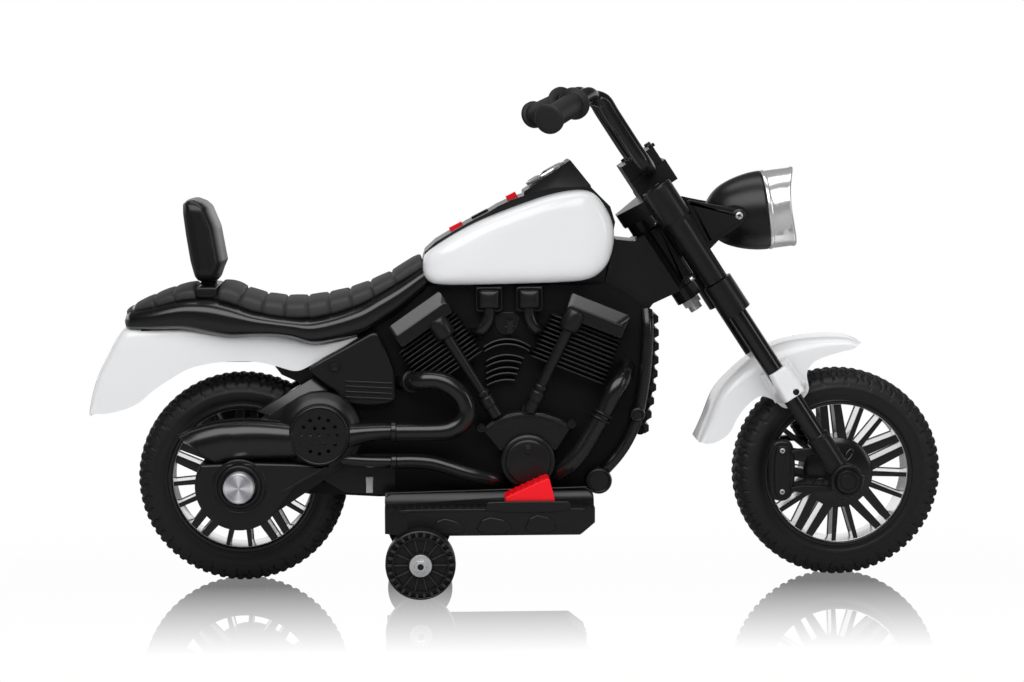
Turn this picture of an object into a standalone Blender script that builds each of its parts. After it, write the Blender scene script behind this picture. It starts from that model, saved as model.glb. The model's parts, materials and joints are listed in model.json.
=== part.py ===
"""Kids ride-on motorcycle: a battery toy with two big wheels, training wheels and a raked fork.

Metres, +X to the front, +Y to the rider's left, +Z up. The origin is on the ground,
halfway along the toy. Body outlines are measured from the rear axle, in millimetres,
and everything on the fork is measured along and across the fork's own slope.
"""

import math

import bmesh
import bpy
from mathutils import Matrix, Vector

MM = 0.001
GAP = 0.0003
HALF_GAP = GAP / 2
ROUND = 16
BIG_ROUND = 24
RIGHT, LEFT = -1, 1
SIDE_NAMES = {RIGHT: "right", LEFT: "left"}

# Wheels and axles
WHEEL_RADIUS = 0.127
TYRE_WIDTH = 0.060
TYRE_BEAD_WIDTH = 0.052
TYRE_CROWN = 0.024
TYRE_SHOULDER_DROP = 0.004
WHEEL_FACETS = 32
RIM_RADIUS = 0.089
RIM_WALL = 0.004
RIM_WIDTH = 0.054
HUB_RADIUS = 0.043
HUB_HALF = 0.0345
SPOKE_GROUPS = 5
SPOKE_DEPTH = 0.022
WIDE_SPOKE = 0.010
NARROW_SPOKE = 0.006
WIDE_SPREAD = math.radians(10)
NARROW_SPREAD = math.radians(8)
SPOKE_FILLET = 0.0045
REAR_SPOKE_START = math.radians(14)
FRONT_SPOKE_START = math.radians(24.3)
AXLE_RADIUS = 0.005
RUNNING = 0.0003
WHEELBASE = 0.728
DRAWN_WHEELBASE = 0.728
STRETCH_START, STRETCH_END = 225, 450
REAR_AXLE_X = -0.3365
AXLE_HEIGHT = WHEEL_RADIUS

# Fork and steering, with lengths along the slope counted up from the front axle
RAKE = math.radians(33)
STEER_OFFSET = 0.035
LEG_SPREAD = 0.079
FORK_TUBE_RADIUS = 0.0104
SLIDER_RADIUS = 0.0138
SLIDER_TOP = 0.063
FORK_END_RADIUS = 0.020
FORK_END_INNER = 0.0645
FORK_END_OUTER = 0.0985
HUB_CAP_RADIUS = 0.014
HUB_CAP_DEPTH = 0.007
AXLE_SPACER_RADIUS = 0.010
COVER_RADIUS = 0.0145
COVER_HEAD_RADIUS = 0.019
CLAMP_RADIUS = 0.0185
CLAMP_LENGTH = 0.044
LOWER_YOKE_LOW = 0.242
LOWER_YOKE_TOP = LOWER_YOKE_LOW + CLAMP_LENGTH
HEAD_LOW = 0.2954
HEAD_LENGTH = 0.083
HEAD_TOP = HEAD_LOW + HEAD_LENGTH
HEAD_RADIUS = 0.0135
HEAD_FACE = 0.006
STEM_RADIUS = 0.008
STEM_TAIL = 0.008
STEM_SOCKET_ROOF = 0.004
BUSH_WALL = 0.0022
BUSH_FLANGE_RADIUS = 0.0165
TOP_FLANGE_HEIGHT = 0.0156
LOW_FLANGE_HEIGHT = 0.0174
NUT_RADIUS = 0.0125
NUT_HEIGHT = 0.008
NUT_LOW = HEAD_LOW - LOW_FLANGE_HEIGHT - NUT_HEIGHT
YOKE_THICKNESS = 0.019
YOKE_LOW = HEAD_TOP + TOP_FLANGE_HEIGHT
YOKE_TOP = YOKE_LOW + YOKE_THICKNESS
YOKE_REAR = 0.020
COVER_LOW = LOWER_YOKE_TOP + 0.0005
COVER_HEAD_BELOW = 0.019
COVER_HEAD_ABOVE = 0.009
COVER_STEP = YOKE_LOW - COVER_HEAD_BELOW
COVER_TOP = YOKE_TOP + COVER_HEAD_ABOVE
COVER_ROOF = 0.022
LEG_TOP = COVER_TOP - COVER_ROOF
CALIPER_INNER = 0.050
CALIPER_OUTER = 0.068
CALIPER_BEHIND = 0.061
CALIPER_LENGTH = 0.028

# Handlebar
BAR_RADIUS = 0.0095
BAR_RISE = 0.0275
BAR_HEIGHT = YOKE_TOP + BAR_RISE
BAR_FORWARD = 0.005
RISER_HALF = 0.040
RISER_REAR = 0.025
RISER_FRONT = 0.030
CLAMP_CAP_HEIGHT = 0.0205
RISER_TOP = BAR_HEIGHT + CLAMP_CAP_HEIGHT
GRIP_RADIUS = 0.0135
GRIP_FLANGE_RADIUS = 0.0195
GRIP_END_RADIUS = 0.0175

# Headlight
LAMP_ALONG = 0.3032
LAMP_AHEAD = 0.1325
LAMP_RADIUS = 0.0485
LAMP_TILT = math.radians(7)
LAMP_WALL = 0.0025
BEZEL_LENGTH = 0.036
BRACKET_INNER = 0.0503
BRACKET_WALL = 0.0030
LAMP_SCREW_RADIUS = 0.0035
LAMP_SCREW_HEAD = 0.0065

# Front fender
FENDER_CLEARANCE = 0.050
FENDER_SKIRT = 0.018
FENDER_HALF = 0.044
FENDER_WALL = 0.0025
FENDER_START = math.radians(81)
FENDER_END = math.radians(167)
SLEEVE_LOW = 0.116
SLEEVE_TOP = 0.150
SLEEVE_RADIUS = 0.0165

# Body shells
SHELL_HALF = 0.040
SHELL_WALL = 0.003
TAIL_HALF = 0.0522
TAIL_CLEARANCE = 0.018
WELL_CLEARANCE = 0.010
PANEL_DEPTH = 0.0118
COVER_DEPTH = 0.035
REAR_FENDER_WALL = 0.0028
TANK_HALF = 0.085
CONSOLE_SLOPE = math.radians(27)
RADIATOR_HALF = 0.034
RADIATOR_BARS = 9

# Swingarm, exhaust and rear drive
TEARDROP_RADIUS = 0.0527
SPEAKER_PLACE = (96 * MM, 61 * MM)
SPEAKER_HOUSING_RADIUS = 0.050
TEARDROP_FACE = 0.100
COVER_WALL = 0.0025
EXHAUST_FACE = 0.103
GRILLE_RADIUS = 0.032
REAR_CAP_RADIUS = 0.019
REAR_CAP_DEPTH = 0.015
REAR_AXLE_END = 0.006
GEAR_MODULE = 2.7 * MM
DRIVE_TEETH = 24
IDLER_SMALL_TEETH = 8
SECOND_MODULE = 1.736 * MM
IDLER_LARGE_TEETH = 27
PINION_TEETH = 9
GEAR_LINE = math.radians(45)
GEAR_START = 0.0420
GEAR_WIDTH = 0.008
GEAR_BOSS_RADIUS = 0.016
GEAR_SPACE = 0.0012
SECOND_WIDTH = 0.006
PLATE_SPACE = 0.0010
PLATE_THICKNESS = 0.004
PLATE_END_RADIUS = 0.012
AXLE_BOSS_RADIUS = 0.013
SHAFT_RADIUS = 0.003
MOTOR_RADIUS = 0.014
MOTOR_LENGTH = 0.032
MOTOR_SHAFT_RADIUS = 0.0016
MOTOR_SHAFT_REACH = 0.008

# Inside the body
BATTERY_SIZE = (0.090, 0.070, 0.100)
BATTERY_X = 0.301
CONTROL_BOX_SIZE = (0.060, 0.050, 0.025)

# Footboards, pedal and training wheels
BOARD_INNER = 0.045
BOARD_OUTER = 0.130
BOARD_REAR = 0.173
BOARD_FRONT = 0.423
BOARD_HEIGHT = 0.036
BOARD_LIP = 0.015
BODY_FLOOR = -0.020
TREAD_DROP = 0.0055
LIP_INNER = 0.0735
LIP_WIDTH = 0.006
LIP_SLOPE = 0.0035
BOARD_NOSE = 0.020
BOARD_NOSE_HEIGHT = 0.013
PEDAL_WIDTH = 0.035
PEDAL_INNER_EDGE = 0.084
PEDAL_PIN_AHEAD = 0.003
PEDAL_PIN_DROP = 0.005
PEDAL_PIN_RADIUS = 0.0020
PEDAL_PIN_REACH = 0.0025
PEDAL_ROOM_DEPTH = 0.014
PEDAL_REAR = 0.316
PEDAL_LENGTH = 0.061
TRAINING_RADIUS = 0.0415
TRAINING_WIDTH = 0.030
TRAINING_INNER = 0.135
TRAINING_X = 0.215
TRAINING_BEVEL = 0.003
BAR_AXLE_RADIUS = 0.005
BAR_END = 0.010
WASHER_RADIUS = 0.013
WASHER_THICKNESS = 0.0015
AXLE_NUT_RADIUS = 0.0085
STRUT_INNER, STRUT_OUTER = 0.030, 0.036
STRUT_HALF = 0.012
SPACER_RADIUS = 0.008

# Seat: distance from the rear axle, underside, rim, top of the pad, half width, all in millimetres
SEAT_STATIONS = (
    (-140, 184, 204, 207, 44),
    (-128, 187, 209, 213, 56),
    (-104, 187, 213, 224, 64),
    (-68, 187, 222, 238, 70),
    (-38, 181, 224, 242, 74),
    (-12, 177, 219, 240, 76),
    (16, 178, 208, 230, 77),
    (40, 178, 202, 224, 77),
    (62, 175, 199, 222, 77),
    (87, 167, 199, 222, 77),
    (115, 171, 205, 227, 76),
    (143, 177, 215, 234, 74),
    (159, 184, 223, 240, 72),
    (191, 204, 242, 254, 66),
    (220, 229, 259, 272, 60),
)


# Scene, materials and collections

for old in list(bpy.data.objects):
    bpy.data.objects.remove(old)


def new_collection(name):
    made = bpy.data.collections.new(name)
    bpy.context.scene.collection.children.link(made)
    return made


PARTS = new_collection("ride_on_motorcycle")
CUTTERS = new_collection("cutters")
PLACES = {}
STEPS = []

FINISHES = {
    "satin_black": ((0.020, 0.020, 0.022, 1), 0.42, 0.0),
    "gloss_black": ((0.012, 0.012, 0.013, 1), 0.12, 0.0),
    "grip_black": ((0.016, 0.016, 0.017, 1), 0.70, 0.0),
    "tyre_black": ((0.018, 0.018, 0.019, 1), 0.65, 0.0),
    "white": ((0.86, 0.87, 0.88, 1), 0.18, 0.0),
    "red": ((0.75, 0.03, 0.02, 1), 0.30, 0.0),
    "chrome": ((0.80, 0.81, 0.83, 1), 0.08, 1.0),
    "steel": ((0.55, 0.56, 0.58, 1), 0.30, 1.0),
    "clear": ((0.85, 0.88, 0.90, 1), 0.05, 0.0),
    "board_green": ((0.05, 0.20, 0.10, 1), 0.50, 0.0),
    "gear_white": ((0.70, 0.70, 0.66, 1), 0.45, 0.0),
}


def paint(piece, finish):
    """Give one piece a material of its own."""
    color, roughness, metallic = FINISHES[finish]
    made = bpy.data.materials.new(piece.name)
    made.use_nodes = True
    shader = made.node_tree.nodes["Principled BSDF"]
    shader.inputs["Base Color"].default_value = color
    shader.inputs["Roughness"].default_value = roughness
    shader.inputs["Metallic"].default_value = metallic
    made.diffuse_color = color
    piece.data.materials.clear()
    piece.data.materials.append(made)


# Places: the body is measured from the rear axle, the fork from the front axle


def body(x, z):
    """A point in the side view from millimetres ahead of and above the rear axle.

    The outlines are drawn for one wheelbase, and the middle of the frame takes up any change in it.
    """
    share = min(max((x - STRETCH_START) / (STRETCH_END - STRETCH_START), 0), 1)
    return (REAR_AXLE_X + x * MM + share * (WHEELBASE - DRAWN_WHEELBASE), AXLE_HEIGHT + z * MM)


def outline_of(points):
    return [body(x, z) for x, z in points]


REAR_AXLE = (REAR_AXLE_X, AXLE_HEIGHT)
FRONT_AXLE = (REAR_AXLE_X + WHEELBASE, AXLE_HEIGHT)
SLOPE = Vector((-math.sin(RAKE), 0, math.cos(RAKE)))
ACROSS = Vector((math.cos(RAKE), 0, math.sin(RAKE)))


def fork(along, ahead, y=0.0):
    """A point on the fork: metres up the slope from the axle, and ahead of the legs."""
    start = Vector((FRONT_AXLE[0], y, FRONT_AXLE[1]))
    return start + SLOPE * along + ACROSS * ahead


def head(along, ahead, y=0.0):
    """The same, with the distance ahead counted from the steering axis."""
    return fork(along, ahead - STEER_OFFSET, y)


def side_view(point):
    return (point.x, point.z)


def span(side, inner, outer):
    """The low and high Y of a layer between two distances from the middle."""
    return (inner, outer) if side == LEFT else (-outer, -inner)


# Basic shapes, each a hidden mesh until it becomes a piece


def hidden(mesh, name="shape"):
    made = bpy.data.objects.new(name, mesh)
    CUTTERS.objects.link(made)
    made.hide_render = True
    made.display_type = "WIRE"
    return made


def baked(source):
    """The finished mesh of a curve or of an object with modifiers, in world space."""
    bpy.context.view_layer.update()
    graph = bpy.context.evaluated_depsgraph_get()
    mesh = bpy.data.meshes.new_from_object(source.evaluated_get(graph))
    mesh.transform(source.matrix_world)
    shape = bmesh.new()
    shape.from_mesh(mesh)
    bmesh.ops.remove_doubles(shape, verts=shape.verts, dist=0.00001)
    bmesh.ops.recalc_face_normals(shape, faces=shape.faces)
    shape.to_mesh(mesh)
    shape.free()
    bpy.data.objects.remove(source)
    return hidden(mesh)


def prism(outline, low, high, holes=()):
    """A flat outline in the side view, extruded from one Y to another.

    The curve is drawn about the outline's first point, so that it is filled alike anywhere.
    """
    first_x, first_z = outline[0]
    curve = bpy.data.curves.new("outline", "CURVE")
    curve.dimensions = "2D"
    curve.fill_mode = "BOTH"
    curve.extrude = (high - low) / 2
    for loop in (outline, *holes):
        spline = curve.splines.new("POLY")
        spline.points.add(len(loop) - 1)
        for point, (x, z) in zip(spline.points, loop):
            point.co = (x - first_x, z - first_z, 0, 1)
        spline.use_cyclic_u = True
    made = bpy.data.objects.new("outline", curve)
    CUTTERS.objects.link(made)
    made.rotation_euler = (math.pi / 2, 0, 0)
    made.location = (first_x, (low + high) / 2, first_z)
    return baked(made)


def cross_prism(outline, low, high):
    """An outline of Y and Z, extruded from one X to another."""
    made = prism(outline, -high, -low)
    made.data.transform(Matrix.Rotation(math.pi / 2, 4, "Z"))
    return made


def block(centre, size, turn=0.0):
    """A box, turned about Y."""
    shape = bmesh.new()
    bmesh.ops.create_cube(shape, size=1)
    place = Matrix.Translation(centre) @ Matrix.Rotation(turn, 4, "Y") @ Matrix.Diagonal((*size, 1))
    bmesh.ops.transform(shape, matrix=place, verts=shape.verts)
    mesh = bpy.data.meshes.new("block")
    shape.to_mesh(mesh)
    shape.free()
    return hidden(mesh)


def box(low, high):
    centre = (Vector(low) + Vector(high)) / 2
    return block(centre, Vector(high) - Vector(low))


def rod(start, end, radius, end_radius=None, sides=ROUND):
    """A cylinder or cone between two points."""
    start, end = Vector(start), Vector(end)
    far_radius = radius if end_radius is None else end_radius
    shape = bmesh.new()
    length = (end - start).length
    bmesh.ops.create_cone(
        shape, cap_ends=True, segments=sides, radius1=radius, radius2=far_radius, depth=length
    )
    turn = Vector((0, 0, 1)).rotation_difference(end - start).to_matrix().to_4x4()
    place = Matrix.Translation((start + end) / 2) @ turn
    bmesh.ops.transform(shape, matrix=place, verts=shape.verts)
    mesh = bpy.data.meshes.new("rod")
    shape.to_mesh(mesh)
    shape.free()
    return hidden(mesh)


def disc(place, y_low, y_high, radius, sides=ROUND):
    """A cylinder across the toy at a place in the side view."""
    x, z = place
    return rod((x, y_low, z), (x, y_high, z), radius, sides=sides)


def turned(profile, place, direction=(0, 1, 0), sides=ROUND, closed=False, start=0.0):
    """A profile of radius and distance, turned about an axis through a place."""
    mesh = bpy.data.meshes.new("profile")
    edges = [(i, i + 1) for i in range(len(profile) - 1)]
    if closed:
        edges.append((len(profile) - 1, 0))
    mesh.from_pydata([(radius, 0, along) for radius, along in profile], edges, [])
    made = bpy.data.objects.new("profile", mesh)
    CUTTERS.objects.link(made)
    screw = made.modifiers.new("turn", "SCREW")
    screw.steps = sides
    screw.render_steps = sides
    screw.use_merge_vertices = True
    screw.merge_threshold = 0.0001
    turn = Vector((0, 0, 1)).rotation_difference(Vector(direction)).to_matrix().to_4x4()
    made.matrix_world = Matrix.Translation(place) @ turn @ Matrix.Rotation(start, 4, "Z")
    return baked(made)


def smooth_path(points, steps=4):
    """Points along a smooth curve through the given ones."""
    ends = [points[0], *points, points[-1]]
    path = []
    for a, b, c, d in zip(ends, ends[1:], ends[2:], ends[3:]):
        a, b, c, d = (Vector(p) for p in (a, b, c, d))
        for step in range(steps):
            t = step / steps
            bend = (2 * a - 5 * b + 4 * c - d) * t * t + (3 * b - a - 3 * c + d) * t**3
            path.append(b + ((c - a) * t + bend) / 2)
    path.append(Vector(points[-1]))
    return path


def tube(points, radius, steps=4, roundness=3):
    """A round bar or pipe along a smooth path."""
    curve = bpy.data.curves.new("tube", "CURVE")
    curve.dimensions = "3D"
    curve.bevel_depth = radius
    curve.bevel_resolution = roundness
    curve.use_fill_caps = True
    path = smooth_path(points, steps)
    spline = curve.splines.new("POLY")
    spline.points.add(len(path) - 1)
    for point, place in zip(spline.points, path):
        point.co = (*place, 1)
    made = bpy.data.objects.new("tube", curve)
    CUTTERS.objects.link(made)
    return baked(made)


def loft(rings):
    """A closed body through rings of equally many points."""
    shape = bmesh.new()
    rows = [[shape.verts.new(point) for point in ring] for ring in rings]
    count = len(rows[0])
    for near, far in zip(rows, rows[1:]):
        for i in range(count):
            j = (i + 1) % count
            shape.faces.new((near[i], near[j], far[j], far[i]))
    shape.faces.new(rows[0])
    shape.faces.new(list(reversed(rows[-1])))
    bmesh.ops.recalc_face_normals(shape, faces=shape.faces)
    mesh = bpy.data.meshes.new("loft")
    shape.to_mesh(mesh)
    shape.free()
    return hidden(mesh)


def signed_area(outline):
    pairs = zip(outline, outline[1:] + outline[:1])
    return sum(a[0] * b[1] - b[0] * a[1] for a, b in pairs) / 2


def inset(outline, distance):
    """The outline moved inwards by a distance; a negative distance moves it out."""
    turn = 1 if signed_area(outline) > 0 else -1
    moved = []
    for before, here, after in zip(outline[-1:] + outline[:-1], outline, outline[1:] + outline[:1]):
        came = (Vector(here) - Vector(before)).normalized()
        goes = (Vector(after) - Vector(here)).normalized()
        normal = (Vector((-came.y, came.x)) + Vector((-goes.y, goes.x))) * turn
        square = normal.dot(normal)
        step = normal * (2 * distance / square) if square > 0.2 else Vector((0, 0))
        moved.append((here[0] + step.x, here[1] + step.y))
    return moved


def arc(centre, radius, start, end, steps):
    """Points on an arc in the side view, with both ends."""
    turns = [start + (end - start) * i / steps for i in range(steps + 1)]
    return [(centre[0] + radius * math.cos(t), centre[1] + radius * math.sin(t)) for t in turns]


def dome(outline, layers, centre):
    """An outline lofted outwards through layers of (Y, scale) about a centre."""
    cx, cz = centre
    rings = []
    for y, scale in layers:
        rings.append([(cx + (x - cx) * scale, y, cz + (z - cz) * scale) for x, z in outline])
    return loft(rings)


# Pieces: a base shape, then shapes joined to it and cut from it


def plus(shape):
    return ("UNION", shape)


def minus(shape):
    return ("DIFFERENCE", shape)


def piece(name, finish, base, *steps, on=None):
    """Turn a shape into a named piece; its joins and cuts are added at the end."""
    CUTTERS.objects.unlink(base)
    PARTS.objects.link(base)
    base.name = name
    base.data.name = name
    base.hide_render = False
    base.display_type = "TEXTURED"
    base.data.shade_smooth()
    base.data.set_sharp_from_angle(angle=math.radians(35))
    paint(base, finish)
    STEPS.extend((base, *step) for step in steps)
    if on:
        base.parent = PLACES[on]
        base.matrix_parent_inverse = PLACES[on].matrix_world.inverted()
    return base


def joint_place(name, point):
    """An empty on a joint's axis, which carries the pieces that move with it."""
    empty = bpy.data.objects.new(name, None)
    PARTS.objects.link(empty)
    empty.matrix_world = Matrix.Translation(point)
    PLACES[name] = empty


def finish_pieces():
    """Add every join and cut as a Boolean modifier."""
    for number, (target, operation, other) in enumerate(STEPS):
        modifier = target.modifiers.new(f"{operation.lower()}_{number}", "BOOLEAN")
        modifier.operation = operation
        modifier.solver = "EXACT"
        modifier.object = other


# Wheels


def wheel_ring():
    """Outline radius whose lowest facet lies exactly one wheel radius below the axle."""
    return WHEEL_RADIUS / math.cos(math.pi / WHEEL_FACETS)


def tyre(name, axle, on):
    half, bead, crown = TYRE_WIDTH / 2, TYRE_BEAD_WIDTH / 2, TYRE_CROWN / 2
    inner, outer = RIM_RADIUS + GAP, wheel_ring()
    side = outer - 5 * TYRE_SHOULDER_DROP
    shoulder = outer - TYRE_SHOULDER_DROP
    profile = [
        (inner, bead), (side, half), (shoulder, half - TYRE_SHOULDER_DROP), (outer, crown),
        (outer, -crown), (shoulder, TYRE_SHOULDER_DROP - half), (side, -half), (inner, -bead),
    ]
    place = (axle[0], 0, axle[1])
    ring = turned(profile, place, sides=WHEEL_FACETS, closed=True, start=math.pi / WHEEL_FACETS)
    piece(name, "tyre_black", ring, on=on)


def spoke_hole(centre, start, end, inner, outer):
    """One opening between two spokes, each given by its angle and half width."""
    corners = []
    for radius in (inner, outer):
        corners.append((radius, start[0] + math.asin(start[1] / radius)))
        corners.append((radius, end[0] - math.asin(end[1] / radius)))
    (r0, a0), (_, b0), (r1, a1), (_, b1) = corners
    outside = arc(centre, r1, a1, b1, 1)
    return [(centre[0] + r0 * math.cos(b0), centre[1] + r0 * math.sin(b0)),
            (centre[0] + r0 * math.cos(a0), centre[1] + r0 * math.sin(a0)), *outside]


def spoke_holes(axle, first):
    """Openings between pairs of wide spokes and pairs of narrow ones."""
    group = 2 * math.pi / SPOKE_GROUPS
    spokes = []
    for i in range(SPOKE_GROUPS):
        wide, narrow = first + i * group, first + (i + 0.5) * group
        spokes += [(wide - WIDE_SPREAD, WIDE_SPOKE / 2), (wide + WIDE_SPREAD, WIDE_SPOKE / 2)]
        spokes += [(narrow - NARROW_SPREAD, NARROW_SPOKE / 2), (narrow + NARROW_SPREAD, NARROW_SPOKE / 2)]
    spokes.sort()
    inner, outer = HUB_RADIUS + SPOKE_FILLET, RIM_RADIUS - RIM_WALL - SPOKE_FILLET / 2
    following = spokes[1:] + [(spokes[0][0] + 2 * math.pi, spokes[0][1])]
    return [spoke_hole(axle, here, after, inner, outer) for here, after in zip(spokes, following)]


def rim(name, axle, first_spoke, on):
    place = (axle[0], 0, axle[1])
    half = RIM_WIDTH / 2
    inner = RIM_RADIUS - RIM_WALL
    barrel = [(inner, half), (RIM_RADIUS, half), (RIM_RADIUS, -half), (inner, -half)]
    first = math.pi / WHEEL_FACETS
    ring = turned(barrel, place, sides=WHEEL_FACETS, closed=True, start=first)
    outline = arc(axle, inner + RIM_WALL / 2, first, first + 2 * math.pi, WHEEL_FACETS)[:-1]
    spokes = prism(outline, -SPOKE_DEPTH, SPOKE_DEPTH, spoke_holes(axle, first_spoke))
    hub = disc(axle, -HUB_HALF, HUB_HALF, HUB_RADIUS, sides=BIG_ROUND)
    bore = disc(axle, -TYRE_WIDTH, TYRE_WIDTH, AXLE_RADIUS + RUNNING)
    piece(name, "gloss_black", ring, plus(spokes), plus(hub), minus(bore), on=on)


# Gears


def gear_outline(centre, teeth, module, phase):
    """Straight-flanked teeth, a little thinner than the spaces between them."""
    pitch = module * teeth / 2
    outer, root = pitch + 0.8 * module, pitch - 1.2 * module
    points = []
    for i in range(teeth):
        middle = phase + 2 * math.pi * i / teeth
        step = math.pi / teeth
        for radius, share in ((root, -0.66), (outer, -0.22), (outer, 0.22), (root, 0.66)):
            turn = middle + share * step
            points.append((centre[0] + radius * math.cos(turn), centre[1] + radius * math.sin(turn)))
    return points


def gear_places():
    """The idler's and the motor's axes, on a line up and ahead of the rear axle."""
    first = GEAR_MODULE * (DRIVE_TEETH + IDLER_SMALL_TEETH) / 2
    second = first + SECOND_MODULE * (IDLER_LARGE_TEETH + PINION_TEETH) / 2
    ahead, up = math.cos(GEAR_LINE), math.sin(GEAR_LINE)
    x, z = REAR_AXLE
    return (x + first * ahead, z + first * up), (x + second * ahead, z + second * up)


def gear_plate_end():
    """How far out the gearbox plate's outer face lies."""
    return GEAR_START + GEAR_WIDTH + GEAR_SPACE + SECOND_WIDTH + PLATE_SPACE + PLATE_THICKNESS


def rear_drive():
    idler, motor = gear_places()
    gear_end = GEAR_START + GEAR_WIDTH
    second_start = gear_end + GEAR_SPACE
    second_end = second_start + SECOND_WIDTH
    plate_start = second_end + PLATE_SPACE
    plate_end = gear_plate_end()
    mesh_angle = GEAR_LINE
    bore = AXLE_RADIUS + RUNNING

    drive = prism(gear_outline(REAR_AXLE, DRIVE_TEETH, GEAR_MODULE, mesh_angle), GEAR_START, gear_end)
    boss = disc(REAR_AXLE, HUB_HALF + GAP, GEAR_START + 0.002, GEAR_BOSS_RADIUS)
    hole = disc(REAR_AXLE, 0.02, 0.08, bore)
    piece("drive_gear", "gear_white", drive, plus(boss), minus(hole), on="rear_wheel_axis")

    opposite = mesh_angle + math.pi + math.pi / IDLER_SMALL_TEETH
    small = prism(gear_outline(idler, IDLER_SMALL_TEETH, GEAR_MODULE, opposite),
                  GEAR_START, second_start + 0.001)
    large = prism(gear_outline(idler, IDLER_LARGE_TEETH, SECOND_MODULE, mesh_angle),
                  second_start, second_end)
    hole = disc(idler, 0.02, 0.08, SHAFT_RADIUS + RUNNING)
    piece("compound_gear", "gear_white", small, plus(large), minus(hole), on="compound_gear_axis")

    opposite = mesh_angle + math.pi + math.pi / PINION_TEETH
    pinion = prism(gear_outline(motor, PINION_TEETH, SECOND_MODULE, opposite),
                   second_start, second_end)
    shaft_end = plate_end + MOTOR_SHAFT_REACH
    shaft = disc(motor, second_start + 0.001, shaft_end, MOTOR_SHAFT_RADIUS, sides=12)
    piece("motor_pinion", "steel", pinion, plus(shaft), on="motor_axis")

    outline = belt_outline(REAR_AXLE, PLATE_END_RADIUS, motor, MOTOR_RADIUS + 0.002)
    plate = prism(outline, plate_start, plate_end)
    idler_pin = disc(idler, GEAR_START - 0.001, plate_start + 0.001, SHAFT_RADIUS)
    axle_hole = disc(REAR_AXLE, 0.02, 0.08, bore)
    pinion_hole = disc(motor, 0.02, 0.08, MOTOR_SHAFT_RADIUS + PLATE_SPACE)
    piece("gearbox_plate", "satin_black", plate, plus(idler_pin), minus(axle_hole), minus(pinion_hole))

    motor_low = plate_end + GAP
    can = disc(motor, motor_low, motor_low + MOTOR_LENGTH, MOTOR_RADIUS)
    socket_end = plate_end + MOTOR_SHAFT_REACH + GAP
    socket = disc(motor, plate_end - 0.01, socket_end, MOTOR_SHAFT_RADIUS + RUNNING, sides=12)
    piece("motor", "steel", can, minus(socket))


def belt_outline(first, first_radius, second, second_radius, steps=10):
    """The outline of a belt stretched around two circles."""
    ahead = math.atan2(second[1] - first[1], second[0] - first[0])
    reach = math.hypot(second[0] - first[0], second[1] - first[1])
    lean = math.acos((first_radius - second_radius) / reach)
    near = arc(first, first_radius, ahead + lean, ahead + 2 * math.pi - lean, steps)
    far = arc(second, second_radius, ahead - lean, ahead + lean, steps)
    return near + far


# Body


def seat_height(column, x):
    """Height of the seat's underside, rim or top at a distance from the rear axle."""
    for low, high in zip(SEAT_STATIONS, SEAT_STATIONS[1:]):
        if low[0] <= x <= high[0]:
            share = (x - low[0]) / (high[0] - low[0])
            return low[column] + share * (high[column] - low[column])
    raise ValueError("beyond the seat")


def under_seat(first, last, below=GAP):
    """Points just under the seat base between two distances."""
    stations = [first, *[row[0] for row in SEAT_STATIONS if first < row[0] < last], last]
    return [body(x, seat_height(1, x) - below / MM) for x in stations]


TANK_FLOOR = 236.5
CONSOLE_REAR = 223
NECK_REAR = 440
CORE_FRONT = (
    (499, 211), (491, 200), (489, 173), (486, 113), (481, 78), (468, 43), (446, 10), (429, -13),
)


def core_outline():
    """Side view of the two body shells, from the wheel well to the steering head."""
    radius = WHEEL_RADIUS + WELL_CLEARANCE
    low = math.asin(BODY_FLOOR / radius)
    high = math.radians(69)
    well = arc(REAR_AXLE, radius, low, high, 10)
    tail_floor = (WHEEL_RADIUS + TAIL_CLEARANCE) / MM
    return [
        *well,
        body(36, tail_floor),
        *under_seat(36, 220),
        body(220.5, seat_height(1, 220) - 1),
        body(226, TANK_FLOOR),
        body(NECK_REAR, TANK_FLOOR),
        body(454, 289),
        side_view(head(HEAD_TOP - 0.001, -0.020)),
        side_view(head(HEAD_TOP - 0.001, -HEAD_FACE)),
        side_view(head(HEAD_LOW + 0.001, -HEAD_FACE)),
        *outline_of(CORE_FRONT),
        body(421, BODY_FLOOR / MM),
    ]


def frame_shell(side):
    outline = core_outline()
    low, high = span(side, -0.002, SHELL_HALF)
    shell = prism(outline, low, high)
    pocket_low, pocket_high = span(side, -0.01, SHELL_HALF - SHELL_WALL)
    pocket = prism(inset(outline, SHELL_WALL), pocket_low, pocket_high)
    tail_floor = (WHEEL_RADIUS + TAIL_CLEARANCE) / MM
    tail_outline = [body(-118, tail_floor), body(62, tail_floor), *reversed(under_seat(-118, 62, 0.001))]
    tail = prism(tail_outline, *span(side, -0.003, TAIL_HALF))
    head_tube = rod(head(HEAD_LOW, 0), head(HEAD_TOP, 0), HEAD_RADIUS)
    bush_hole = STEM_RADIUS + RUNNING + BUSH_WALL + GAP
    bore = rod(head(HEAD_LOW - 0.01, 0), head(HEAD_TOP + 0.01, 0), bush_hole)
    other_low, other_high = span(side, -0.10, HALF_GAP)
    other_half = box((-0.6, other_low, 0), (0.6, other_high, 0.6))
    piece(f"frame_shell_{SIDE_NAMES[side]}", "satin_black", shell,
          minus(pocket), plus(tail), plus(head_tube), minus(bore), minus(other_half))


def swingarm_outline(extra=0.0):
    """A belt around the rear axle and the speaker housing."""
    housing = SPEAKER_HOUSING_RADIUS + extra
    return belt_outline(REAR_AXLE, TEARDROP_RADIUS + extra, speaker_place(), housing)


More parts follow.
